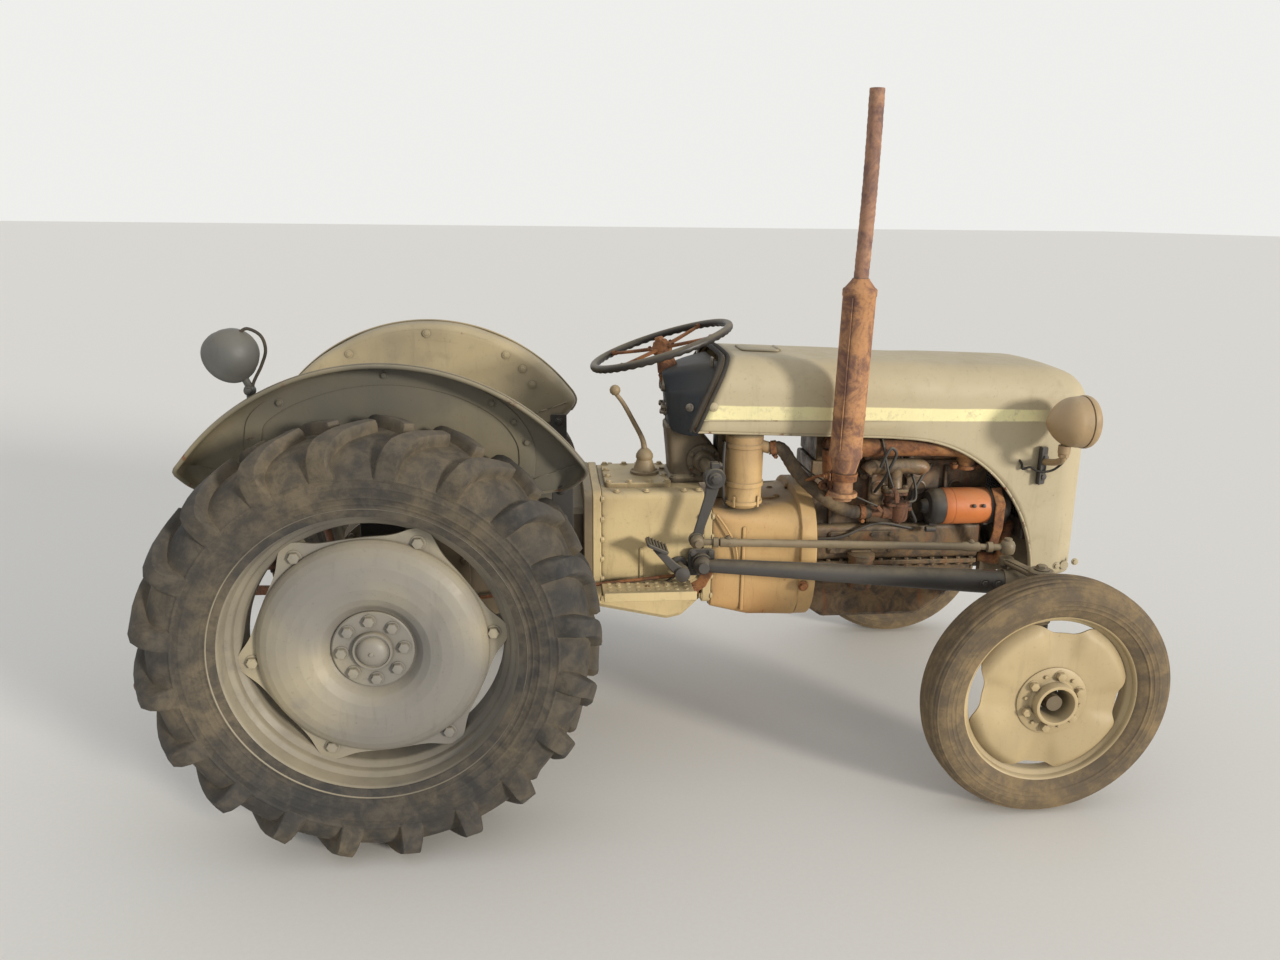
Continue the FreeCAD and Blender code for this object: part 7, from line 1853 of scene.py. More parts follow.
def bell_parts():
    """Bell housing: its outline grows evenly from the gearbox's rounded box to the engine's round flange."""
    rows = []
    for x, half, low, high, corner in ((916, 166, 444, 746, 26), (922, 172, 438, 751, 32),
            (1040, 176, 404, 752, 52), (1120, 178, 396, 752, 74), (1166, 190, 388, 760, 110),
            (1184, 197, 384, 768, 130), (1187, 210, 376, 794, 188), (1190, 212, 374, 796, 190),
            (1231, 212, 374, 796, 190), (1234.8, 209, 377, 793, 188)):
        flat = rounded([(-half, low), (half, low), (half, high), (-half, high)], corner, 12)
        rows.append(np.concatenate([np.full((len(flat), 1), x), flat], 1))
    form = grid(np.stack(rows), close_v=True, cap=True, wear=0.1)
    angle = np.radians(np.linspace(0, 360, 14, endpoint=False) + 12)
    spots = np.stack([np.full(14, 1187), 190 * np.cos(angle), 585 + 190 * np.sin(angle)], 1)
    forms = [form, bolts(spots, BACKWARD, 9, 9, 12)]
    for side in (1, -1):
        forms.append(slab((1010, 1022), span(side, 170, 180), (430, 700), 5, 3))
    forms.append(slab((1060, 1150), (-60, 60), (750, 758), 18, 2))
    forms.append(bolts([(x, y, 757) for x in (1070, 1140) for y in (-48, 48)], UP, 8, 7, 11))
    for side in (1, -1):
        forms.append(tube([(930, side * 184, 742), (960, side * 190, 700), (990, side * 188, 640),
            (1000, side * 184, 560)], 3.2, 10, 6))
    return merged(forms)


def axle_case_parts():
    """Centre housing, bells, ribbed trumpets, backing plates with their bolts, shaft with splines and drain plug."""
    outline = rounded([(-165, 420), (-165, 700), (-105, 759), (560, 759), (560, 444), (330, 400), (150, 331),
        (-70, 331)], (40, 50, 40, 3, 3, 60, 60, 60))
    forms = [prism(outline, -155, 155, "y", 16), slab((534, 560), (-189, 189), (460, 820), 30, 2.5, "x")]
    profile = [(100, 192), (150, 190), (168, 186), (170, 200), (184, 200), (186, 172), (192, 140), (204, 110),
        (216, 103), (250, 101), (430, 90), (520, 82), (540, 84), (546, 120), (549, 176), (552, 182), (558, 182),
        (558, 46), (559.5, 46)]
    for side in (1, -1):
        forms.append(revolved(profile, (0, 0, 566), (0, side, 0), 72))
        forms.append(bolts(ringed(12, 189, (0, side * 184, 566), 15), (0, side, 0), 9, 9, 12))
        forms.append(bolts(ringed(6, 108, (0, side * 545, 566)), (0, -side, 0), 9, 10, 13))
        for angle in (math.pi / 2, 0):
            c, s = math.cos(angle), math.sin(angle)
            fin = prism(rounded([(188, 100), (188, 158), (226, 122), (400, 98), (400, 88)], 4), -5, 5, "x", 2)
            y, z, x = fin.points[:, 1], fin.points[:, 2], fin.points[:, 0]
            fin.points = np.stack([x * s + z * c, side * y, 566 + z * s - x * c], 1)
            forms.append(fin)
        pin = [(0, 32), (56, 30), (58, 22), (60, 11), (114, 11), (116, 9), (116, 0)]
        forms.append(revolved(pin, (90, side * 146, 365), (0, side, 0), 36))
    forms.append(revolved([(-4, 82), (4, 82), (8, 76), (10, 60), (16, 58), (18, 50), (18, 0)], (-165, 0, 520),
        BACKWARD, 48))
    forms.append(bolts([(-169, 70 * math.cos(a), 520 + 70 * math.sin(a))
        for a in np.radians((45, 135, 225, 315))], BACKWARD, 8.5, 8, 11))
    turn = np.linspace(0, TAU, 144, endpoint=False)
    spline = (13.4 + 0.8 * np.sign(np.cos(6 * turn)))[:, None] * np.stack([np.cos(turn), np.sin(turn)], 1)
    rows = np.stack([np.concatenate([np.full((144, 1), x), np.array([0, 520]) + spline * k], 1)
        for x, k in ((-180, 1), (-255, 1), (-259, 0.86))])
    forms.append(grid(rows, close_v=True, cap=True, wear=0.7))
    forms.append(revolved([(0, 0), (0, 24), (10, 24), (10, 16), (20, 16), (20, 0)], (40, 0, 332), DOWN, 28))
    return merged(forms)


def lift_cover_parts():
    """Lift cover with its rim of bolts, shaft housing, spring housing, link ears and the control quadrant."""
    outline = rounded([(-140, 760.2), (-140, 806), (-95, 848), (-5, 850), (60, 812), (360, 811), (400, 784),
        (400, 760.2)], (3, 18, 26, 26, 26, 20, 12, 3))
    forms = [prism(outline, -134, 134, "y", 12), slab((-143, 403), (-144, 144), (760.2, 775), 16, 2)]
    spots = [(x, y, 775) for x in np.linspace(-100, 380, 6) for y in (-139, 139)]
    forms.append(bolts(spots, UP, 8, 9))
    for side in (1, -1):
        forms.append(revolved([(120, 52), (140, 48), (204, 42), (206, 45), (214, 45), (216, 38), (216, 19),
            (256, 18.5), (258, 16), (258, 0)], (-50, 0, 806), (0, side, 0), 44))
        forms.append(slab((-215, -120), span(side, 19.5, 33), (762, 838), 12, 2, "y"))
    forms.append(revolved([(0, 0), (0, 36), (30, 34), (44, 26), (48, 0)], (-140, 0, 820), (-1, 0, 0.2), 36))
    forms.append(revolved([(0, 26), (10, 26), (12, 20), (16, 18), (22, 12), (22, 0)], (300, -96, 810), UP, 32))
    arc = np.radians(np.linspace(20, 150, 18))
    plate = np.stack([150 + 92 * np.cos(arc), np.full(18, -150), 800 + 92 * np.sin(arc)], 1)
    forms.append(swept(plate, BAR_SECTION * np.array([5, 22]), wear=0.4))
    for end in (0, 17):
        forms.append(swept([plate[end], (plate[end][0] * 0.6 + 60, -146, 800)],
            BAR_SECTION * np.array([5, 16])))
    forms.append(swept([(150, -160, 800), (164, -162, 850), (190, -164, 920)], BAR_SECTION * np.array([5, 14]),
        wear=0.7))
    forms.append(ball((192, -164, 930), 14, 20))
    return merged(forms)


def lever_parts():
    """Gear lever: bolted tower with a dust cup, cranked tapering lever and its round knob."""
    tower = [(0, 0), (0, 44), (8, 44), (10, 36), (24, 30), (44, 24), (50, 27), (60, 26), (70, 20), (78, 12),
        (80, 0)]
    forms = [revolved(tower, (730, 0, 826), UP, 40, wear=0.2)]
    forms.append(bolts([(730 + 34 * math.cos(a), 34 * math.sin(a), 833) for a in np.radians((0, 90, 180, 270))],
        UP, 7, 7))
    forms.append(tube([(730, 0, 880), (728, 0, 912), (720, 0, 940), (694, 0, 990), (664, 0, 1044),
        (640, 0, 1076)], (10, 9, 8, 7.5, 7, 6.5), 20, 8, wear=0.5))
    knob = revolved([(-16, 0), (-15, 7), (-9, 14), (0, 17), (9, 14.5), (15, 8), (17, 0)], (638, 0, 1086),
        (-0.45, 0, 0.9), 32, wear=0.5)
    return merged(forms), knob


def pedal_parts(side):
    """Pedal: cross shaft with its collar, forged arm, ribbed pad and return spring."""
    shaft_y = side * 175
    y = side * 255
    forms = [bar((820, shaft_y, 585), (820, side * 272, 585),
        [(0, 0), (0, 26), (8, 26), (10, 14), (60, 14), (62, 22), (92, 22), (94, 12), (97, 0)], 32)]
    forms.append(forged([(820, y, 585), (790, y, 612), (764, y, 640), (742, y, 667)], (34, 26, 22, 24), 8,
        (0, side, 0)))
    lean = math.radians(25)
    c, s = math.cos(lean), math.sin(lean)
    pad = [slab((-34, 34), (-36, 36), (-6, 4), 9, 2)]
    pad += [slab((at - 2.5, at + 2.5), (-31, 31), (3, 8), 2, 1) for at in np.linspace(-26, 26, 6)]
    forms.append(merged(pad).placed([[c, 0, s], [0, 1, 0], [-s, 0, c]], (744, y, 674)))
    coil = np.linspace(0, TAU * 9, 180)
    spring = np.stack([800 + 4 * np.cos(coil) - coil * 0.5, side * 214 + 6 * np.sin(coil), 560 - coil * 0.35],
        1)
    forms.append(swept(spring, circle(1.4, 6), wear=0.4))
    return merged(forms)


def footrest_parts(side):
    """Pressed step: raised studs in rows on a plate whose outer edge is turned up, on two strap arms."""
    forms = [slab((585, 850), span(side, 205, 345), (540, 546), 12, 1.5),
        slab((585, 850), span(side, 344, 350), (540, 566), 4, 1.5)]
    x, y = [value.ravel() for value in np.meshgrid(np.linspace(606, 830, 9), side * np.linspace(222, 328, 5),
        indexing="ij")]
    forms.append(merged([revolved([(0, 8), (2, 6.5), (3, 0)], (a, b, 545.5), UP, 12, wear=0.8)
        for a, b in zip(x, y)]))
    for at in (632, 777):
        forms.append(swept([(at, side * 175, 512), (at, side * 190, 516), (at, side * 214, 534),
            (at, side * 300, 536.5)], BAR_SECTION * np.array([34, 7]), wear=0.2))
        forms.append(bolts([(at, side * 240, 545), (at, side * 310, 545)], UP, 8, 6, 11))
        forms.append(bolts([(at, side * 181, 505)], (0, side, 0), 9, 8, 13))
    return merged(forms)


def side_brackets():
    """Bent strap with its two-hole plate and bright bolt below the drag link, and the brake rod."""
    forms = [swept([(905, -214, 600), (900, -232, 580), (880, -240, 548), (852, -238, 530)],
        BAR_SECTION * np.array([16, 5]), wear=0.5)]
    forms.append(slab((818, 872), (-243, -236), (512, 540), 8, 1.5, "y"))
    forms.append(bolts([(832, -243, 526), (858, -243, 526)], (0, -1, 0), 7, 5, 10))
    forms.append(bar((830, -214, 566), (120, -214, 500), 5.5, 14))
    forms.append(bar((830, 214, 566), (120, 214, 500), 5.5, 14))
    forms.append(bolts([(1196, -214, 520)], (0, -1, 0), 12, 12, 16, 1))
    return merged(forms)


def seat_parts():
    """Pressed pan: a bowl whose rim rises behind the driver, with a rolled edge and its leaf spring."""
    angle = np.linspace(0, TAU, 120, endpoint=False)[:, None]
    share = np.linspace(0, 1, 22)[None, :]
    back = np.clip(0.2 - np.cos(angle), 0, 1.2) / 1.2
    reach = 205 * (1 + 0.11 * back * share ** 3) * (1 - 0.10 * np.clip(np.cos(angle), 0, 1) ** 4)
    swell = 6 * np.cos(2 * angle) * np.sin(share * math.pi) ** 2
    height = 904 + 54 * share ** 2.2 + 88 * back ** 0.8 * np.clip((share - 0.6) / 0.4, 0, 1) ** 1.5 + swell
    pan = np.stack([205 + reach * share * np.cos(angle), reach * share * np.sin(angle),
        height * np.ones_like(angle)], -1)
    shell = grid(pan, close_u=True, wear=0.5 * (share > 0.9) * np.ones_like(angle))
    edge = np.concatenate([pan[:, -1], pan[:1, -1]])
    rim = grid(np.stack([edge[:-1] + 6 * (math.cos(a) * unit_rows(edge[:-1] - (205, 0, edge[:-1, 2].mean()))
        + math.sin(a) * np.array([0, 0, 1])) for a in np.linspace(0, TAU, 12, endpoint=False)], 1),
        close_u=True, close_v=True, wear=0.9)
    spring = swept([(340, 0, 820), (296, 0, 822), (262, 0, 842), (222, 0, 886), (190, 0, 900), (150, 0, 902)],
        BAR_SECTION * np.array([60, 8]), wear=0.2)
    heads = bolts([(326, -14, 824), (326, 14, 824)], UP, 9, 8, 13)
    top = bolts([(190, -16, 906), (190, 16, 906)], UP, 10, 5)
    return shell, merged([rim]), merged([spring, heads, top])


def unit_rows(rows):
    """Rows turned level and made one long."""
    flat = rows * np.array([1, 1, 0])
    return flat / np.linalg.norm(flat, axis=1, keepdims=True)


def work_lamp_parts():
    """Bowl lamp aimed back and down, with its rim, swivel, post, clamp on the fender and the looped lead."""
    centre = np.array([-330, -452, 1262])
    axis = unit((-0.62, 0.62, -0.48))
    profile = [(-64, 0), (-63, 12), (-58, 28), (-46, 44), (-30, 55), (-10, 62), (8, 64.5), (12, 66.5),
        (26, 66.5), (31, 63), (31, 57)]
    shell = revolved(profile, centre, axis, 56, wear=0.2)
    glass = revolved([(30, 57.5), (35, 40), (37, 18), (37.5, 0)], centre, axis, 48)
    low = np.array([-304, -428.8, 1168])
    forms = [shell, tube([centre + (18, 6, -54), centre + (24, 14, -74), low + (0, 0, 8)], 9, 18, 6),
        ball(low, 15, 24), bar(low - (0, 0, 60), low, 9.5, 20)]
    forms.append(slab((-326, -282), (-436.5, -428), (1066, 1128), 7, 1.5, "y"))
    forms.append(bolts([(-304, -428, 1082)], LEFT, 8, 7, 11))
    forms.append(bolts([low + (0, -12, 0)], (0, -1, 0), 9, 9, 12))
    loop = tube([(-308, -462, 1314), (-286, -462, 1324), (-258, -456, 1306), (-252, -448, 1270),
        (-268, -440, 1230), (-296, -431, 1178), (-300, -424, 1120), (-292, -425, 1050)], 4, 12, 10)
    return merged(forms), glass, loop


def lower_link(side):
    """Lower link: flat forged bar that swells at both eyes, each with its ball and shoulder."""
    front = np.array([90, side * 228, 365])
    rear = np.array([-688, side * 345, 332])
    share = np.array([0.02, 0.08, 0.2, 0.5, 0.8, 0.92, 0.975])[:, None]
    forms = [forged(front + (rear - front) * share, (42, 36, 33, 40, 34, 38, 42), 8.5, (0, side, 0))]
    for place, radius, wide, hole in ((front, 28, 15, 11.1), (rear, 27, 22, 11.2)):
        ring = [(-wide, hole + 1), (-wide, radius * 0.7), (-wide * 0.6, radius * 0.96), (0, radius),
            (wide * 0.6, radius * 0.96), (wide, radius * 0.7), (wide, hole + 1), (wide - 1, hole),
            (-wide + 1, hole)]
        forms.append(revolved(ring, place, LEFT, 44, True, 0.3))
    middle = front + (rear - front) * 0.4756
    forms.append(bar(middle - (0, side * 10, 0), middle + (0, side * 24, 0), 11, 20))
    return merged(forms)


def lift_arm(side):
    """Lift arm: splined boss on the cross shaft, bowed forging and the fork pin."""
    root = np.array([-50, side * 236, 806])
    end = np.array([-348.9, side * 236, 780])
    forms = [forged([root + (-18, 0, 0), root + (-100, 0, 2), root + (-200, 0, -6), end + (10, 0, 0)],
        (62, 50, 40, 38), 10, (0, side, 0))]
    forms.append(revolved([(-19, 19.2), (-19, 34), (-16, 37), (16, 37), (19, 34), (19, 19.2)], root, LEFT, 44,
        True, 0.2))
    forms.append(revolved([(-13, 0), (-13, 22), (-10, 25), (10, 25), (13, 22), (13, 9), (36, 9), (39, 7),
        (39, 0)], end, (0, side, 0), 36, wear=0.3))
    return merged(forms)


def lift_rod(side):
    """Lift rod with fork eyes and, on the right, the cranked levelling box with its handle."""
    top = np.array([-348.9, side * 263, 780])
    low = np.array([-280, side * 318.6, 349.3])
    length = np.linalg.norm(low - top)
    profile = [(16, 0), (16, 12), (60, 12), (64, 16), (150, 16), (154, 12), (length - 110, 11.5),
        (length - 106, 14), (length - 60, 14), (length - 56, 11), (length - 16, 12), (length - 16, 0)]
    forms = [revolved(profile, top, low - top, 24, wear=0.3)]
    for place, radius, wide, hole in ((top, 22, 8, 9.1), (low, 22, 10, 11.2)):
        forms.append(revolved([(-wide, hole), (-wide, radius - 2), (-wide + 2, radius), (wide - 2, radius),
            (wide, radius - 2), (wide, hole)], place, LEFT, 36, True, 0.3))
    if side < 0:
        box = top + (low - top) * 0.24
        forms.append(bar(box - unit(low - top) * 34, box + unit(low - top) * 34, 27, 36))
        forms.append(tube([box + (0, 0, 10), box + (46, 12, 40), box + (120, 30, 150)], 7, 14, 6))
        forms.append(tube([box + (120, 30, 150), box + (134, 8, 156), box + (140, -40, 154)], 6.5, 14, 6))
    return merged(forms)


def tank_parts():
    """Fuel tank under the bonnet: rounded outline with pressed ends, seam, filler neck and straps."""
    outline = rounded([(-168, 1075), (-168, 1130), (-110, 1170), (110, 1170), (168, 1130), (168, 1075),
        (110, 1053), (-110, 1053)], (24, 30, 40, 40, 30, 24, 30, 30))
    forms = [prism(outline, 938, 1328, "x", 14), slab((936, 1330), (-174, 174), (1092, 1097), 24, 1)]
    for x, z in ((1253, 975.2), (950, 752.2)):
        forms.append(slab((x, x + 28), (-40, 40), (z, 1056), 5))
    forms.append(revolved([(0, 30), (18, 30), (20, 34), (30, 34), (33, 26), (33, 0)], (1066, 0, 1166), UP, 36))
    return merged(forms)


def build_drive_line(p, f):
    """Gearbox, bell housing, rear axle case and lift cover."""
    piece("gearbox_castings", gearbox_parts(), f["casting"], replaces=("gearbox_case",),
        sharp=34)
    piece("bell_housing", bell_parts(), f["bell"], sharp=34)
    piece("axle_housings", axle_case_parts(), f["low_casting"],
        replaces=("rear_axle_case",), sharp=34)
    piece("lift_cover", lift_cover_parts(), f["low_casting"],
        replaces=("hydraulic_cover",), sharp=34)
    piece("tank_shell", tank_parts(), f["cover"], replaces=("fuel_tank",), sharp=34)


def build_driver_place(p, f):
    """Gear lever, pedals, footrests, side brackets, seat and work lamp."""
    lever, knob = lever_parts()
    piece("gear_lever_rod", lever, f["lever"], replaces=("gear_lever",))
    piece("gear_knob", knob, f["lever"], sharp=50)
    piece("pedal_forgings", [pedal_parts(1), pedal_parts(-1)], f["dark_iron_and_shade"], replaces=("pedals",))
    piece("footrest_plates", [footrest_parts(1), footrest_parts(-1)], f["casting"], replaces=("footrests",))
    piece("side_brackets", side_brackets(), f["rust"])
    pan, rim, spring = seat_parts()
    piece("seat_pan_shell", pan, f["paint"], replaces=("seat",), sharp=60, wall=3)
    piece("seat_rim", rim, f["paint"], sharp=60)
    piece("seat_spring", spring, f["dark_iron_and_shade"])
    lamp, glass, lead = work_lamp_parts()
    piece("work_lamp_shell", lamp, f["work_lamp"], replaces=("work_lamp",))
    piece("work_lamp_glass", glass, f["glass"], sharp=40)
    piece("work_lamp_lead", lead, f["rubber"], sharp=50)


def build_lift_gear(p, f):
    """Lower links, lift arms and lift rods."""
    piece("lower_link_bars", [lower_link(1), lower_link(-1)], f["brown_rust"], body="lower_links_body",
        replaces=("lower_links",))
    piece("lift_arm_forgings", [lift_arm(1), lift_arm(-1)], f["low_casting"], body="lift_arms_body",
        replaces=("lift_arms",))
    piece("lift_rod_bars", [lift_rod(1), lift_rod(-1)], f["brown_rust"], body="lift_rods_body",
        replaces=("lift_rods",))


# Finishes of the tractor

def make_finishes(p):
    """Every finish by name, from the settings' paint colours."""
    paint = tuple(p.paint)
    wheel = tuple(p.wheel_paint)
    shade = tuple(0.72 * c for c in paint)
    return {"hood": hood_paint("hood paint", paint, p.rust),
        "hood_edge": weathered("hood edge paint", paint, shade, p.rust + 0.1, 12, dust=p.dust),
        # Right fender paint: darker than the left fender's, partly dirt and partly painted shade.
        "near_fender_dirt_and_shade": weathered("near fender paint with dirt and painted shade", tone(126, 116, 92), tone(90, 86, 76), 0.4, 8, dust=0.35),
        "paint": weathered("old paint", paint, shade, p.rust, 11, dust=p.dust),
        "fender": weathered("fender paint", tone(170, 154, 120), tone(128, 118, 96), 0.38, 8, dust=0.45),
        "cover": weathered("cover paint", tone(150, 136, 104), tone(112, 98, 74), 0.3, 14, dust=0.55),
        # Dashboard and column: the dark blue-grey is painted shade.
        "panel": weathered("panel paint as painted shade", tone(46, 52, 60), tone(34, 38, 43), 0.22, 16, dust=0.12),
        "casting": weathered("casting paint", tone(206, 184, 136), tone(160, 138, 100), 0.28, 15, grime_and_shade=0.8,
        dust=0.45, grain=0.7), "bell": weathered("bell housing paint", tone(202, 166, 112), tone(172, 126, 74),
        0.62, 9, grime_and_shade=0.9, dust=0.35, rust_colour=tone(172, 102, 48), grain=0.7),
        "lever": weathered("lever paint", tone(168, 146, 108), tone(112, 96, 76), 0.44, 26, dust=0.3),
        "low_casting": weathered("low casting", tone(122, 106, 80), tone(84, 74, 60), 0.42, 12, grime_and_shade=0.9,
        dust=0.4, grain=0.8), "disc": weathered("disc paint", tone(170, 158, 130), tone(124, 120, 113), 0.3, 9,
        grime_and_shade=0.5, dust=0.35), "rim": weathered("rim paint", tone(142, 133, 114), tone(92, 88, 82), 0.4, 8,
        dust=0.3), "front_wheel": weathered("front wheel paint", wheel, tuple(0.74 * c for c in wheel), 0.3, 12,
        dust=0.45), "rear_rubber": rubber("rear rubber", tone(44, 43, 42), tone(82, 77, 70), tone(134, 117, 88),
        p.tyre_dust), "front_rubber": rubber("front rubber", tone(86, 74, 58), tone(132, 112, 82),
        tone(150, 126, 88), p.tyre_dust), "rust": rusty("rusted iron", tone(150, 98, 56), tone(92, 58, 38),
        tone(186, 138, 84)), "brown_rust": rusty("brown rust", tone(112, 74, 50), tone(66, 46, 36),
        tone(146, 104, 70), 22), "exhaust": rusty("exhaust rust", tone(178, 130, 88), tone(110, 78, 66),
        tone(204, 160, 110), 11, 0.86, 0.5), "stack": rusty("stack rust", tone(158, 118, 92), tone(106, 80, 74),
        tone(194, 150, 110), 9, 0.8, 0.4), "engine": greasy("engine iron", tone(124, 100, 70), tone(62, 52, 42),
        tone(130, 78, 42)), "dark_engine": greasy("dark engine", tone(78, 68, 56), tone(44, 40, 36),
        tone(96, 62, 40), 0.35), "rubber": rubber("black rubber", tone(30, 29, 28), tone(58, 54, 50),
        tone(96, 84, 66), 0.35, 0.3), "hose": rubber("hose rubber", tone(58, 50, 42), tone(112, 94, 70),
        tone(150, 124, 86), 0.6, 0.5), "dynamo": weathered("dynamo paint", tone(212, 124, 62),
        tone(178, 98, 50), 0.22, 18, grime_and_shade=0.6, dust=0.25, rust_colour=DEEP_RUST),
        "lamp": weathered("lamp shell", tone(164, 138, 102), tone(118, 100, 78), 0.46, 20, dust=0.3, gloss=0.5),
        "work_lamp": weathered("work lamp shell", tone(90, 90, 86), tone(66, 64, 60), 0.3, 18, dust=0.14),
        "glass": lens("lamp glass"), "steel": bare_steel("bare steel", tone(148, 140, 128), tone(96, 84, 70)),
        "wheel_grip": weathered("wheel grip", tone(52, 46, 40), tone(30, 28, 26), 0.34, 30, dust=0.3,
        # Dark iron; on the radius rods this dark tone is painted shade, as they are tan where lit.
        rust_colour=tone(140, 104, 76), gloss=0.45), "dark_iron_and_shade": weathered("dark iron and painted shade", tone(74, 70, 66),
        tone(50, 47, 44), 0.3, 16, dust=0.3), "cleaner": weathered("air cleaner paint", tone(206, 172, 118),
        tone(152, 122, 84), 0.36, 13, grime_and_shade=0.8), "ground": pale_floor("studio floor"),}


def lens(name):
    """Lamp glass: pale, dusty and clear underneath."""
    r = Recipe(name)
    dirt = r.between(r.noise(60, 6, 0.7), 0.35, 0.75)
    r.feed(r.shader.inputs["Transmission Weight"], 0.25)
    body = r.blend(dirt, tone(150, 150, 140), tone(120, 108, 86))
    return r.finished(body, r.between(dirt, 0, 1, 0.12, 0.5), dirt, 0.05)


def bare_steel(name, bright, dull):
    """Rubbed steel: bright where it is handled, brown stains between."""
    r = Recipe(name)
    middle = r.noise(30, 8, 0.7)
    fine = r.noise(220, 4, 0.6)
    body = r.blend(r.between(middle, 0.4, 0.7), bright, dull)
    body = r.blend(r.between(fine, 0.55, 0.75, 0, 0.6), body, RUST)
    return r.finished(body, r.between(middle, 0.3, 0.7, 0.28, 0.55), fine, 0.2, 0.001, 0.85)


def pale_floor(name):
    """Plain pale studio floor with the faintest grain."""
    r = Recipe(name)
    fine = r.noise(90, 4, 0.6)
    body = r.blend(r.between(fine, 0.3, 0.7, 0, 0.25), tone(226, 223, 216), tone(218, 214, 206))
    return r.finished(body, 0.9)


def hood_paint(name, paint, rust):
    """Sheet paint with a pale band along the side, worn through at its edges."""
    r = Recipe(name)
    place = r.split(r.place)
    along = r.maths("SUBTRACT", place["X"], (AXLE_X + 870) * MM)
    line = r.maths("SUBTRACT", place["Z"], r.maths("MULTIPLY", along, STRIPE_SLOPE))
    wobble = r.maths("MULTIPLY", r.maths("SUBTRACT", r.noise(9, 5, 0.6), 0.5), 0.006)
    line = r.maths("ADD", line, wobble)
    low = r.between(line, STRIPE_LOW * MM - 0.002, STRIPE_LOW * MM + 0.002)
    upper = r.maths("SUBTRACT", line, r.maths("MULTIPLY", along, STRIPE_NARROWING))
    high = r.between(upper, STRIPE_HIGH * MM - 0.002, STRIPE_HIGH * MM + 0.002, 1, 0)
    upright = r.maths("SUBTRACT", 1, r.upward())
    scuff = r.between(r.noise(26, 8, 0.75), 0.32, 0.46, 0.45, 1)
    ends = r.between(along, -0.012, 0)
    front = r.between(along, 0.98, 1.06, 1, 0)
    band = r.maths("MULTIPLY", r.maths("MULTIPLY", low, high), r.maths("MULTIPLY", upright, scuff))
    band = r.maths("MULTIPLY", r.maths("MULTIPLY", band, ends), front)
    painted = r.blend(band, paint, tone(240, 230, 172))
    return weathered(name, paint, tuple(0.8 * c for c in paint), rust, 8, dust=0.32, recipe=r,
        paint_socket=painted)


NODE_FINISHES = {"brake_drum": "brown_rust", "knuckle": "low_casting", "drop_arm": "dark_iron_and_shade",
    "drag_link": "dark_iron_and_shade", "front_axle": "low_casting", "radius_rods": "dark_iron_and_shade",
    "front_support": "low_casting", "steering_column": "panel", "steering_wheel": "wheel_grip",
    "gearbox_case": "casting", "rear_axle_case": "low_casting", "hydraulic_cover": "casting",
    "engine_block": "engine", "manifold": "rust", "exhaust": "exhaust", "air_cleaner": "cleaner",
    "air_hose": "rubber", "dynamo": "dynamo", "fan_and_belt": "dark_engine", "radiator": "dark_engine",
    "fuel_tank": "cover", "bonnet": "hood", "grille": "dark_iron_and_shade", "headlamps": "lamp",
    "footrests": "dark_iron_and_shade", "seat": "paint", "work_lamp": "work_lamp", "pedals": "rubber",
    "gear_lever": "steel", "lower_links": "brown_rust", "lift_arms": "low_casting", "lift_rods": "brown_rust",
    "rear_tyre": "rear_rubber", "rear_rim": "rim", "rear_disc": "disc", "front_tyre": "front_rubber",
    "front_wheel": "front_wheel", "fender": "fender",}


def dress_nodes(f):
    """Give every carried-over CAD node its finish."""
    for name, thing in frame["nodes"].items():
        key = name.removesuffix("_left").removesuffix("_right")
        for slot in thing.material_slots:
            slot.material = f[NODE_FINISHES[key]]


# Stage

CAMERA_PLACE = (440.1, -2875.2, 1596)
CAMERA_YAW = 5.498
CAMERA_PITCH = 15.37
CAMERA_ROLL = 0.609
CAMERA_LENS = 26.98


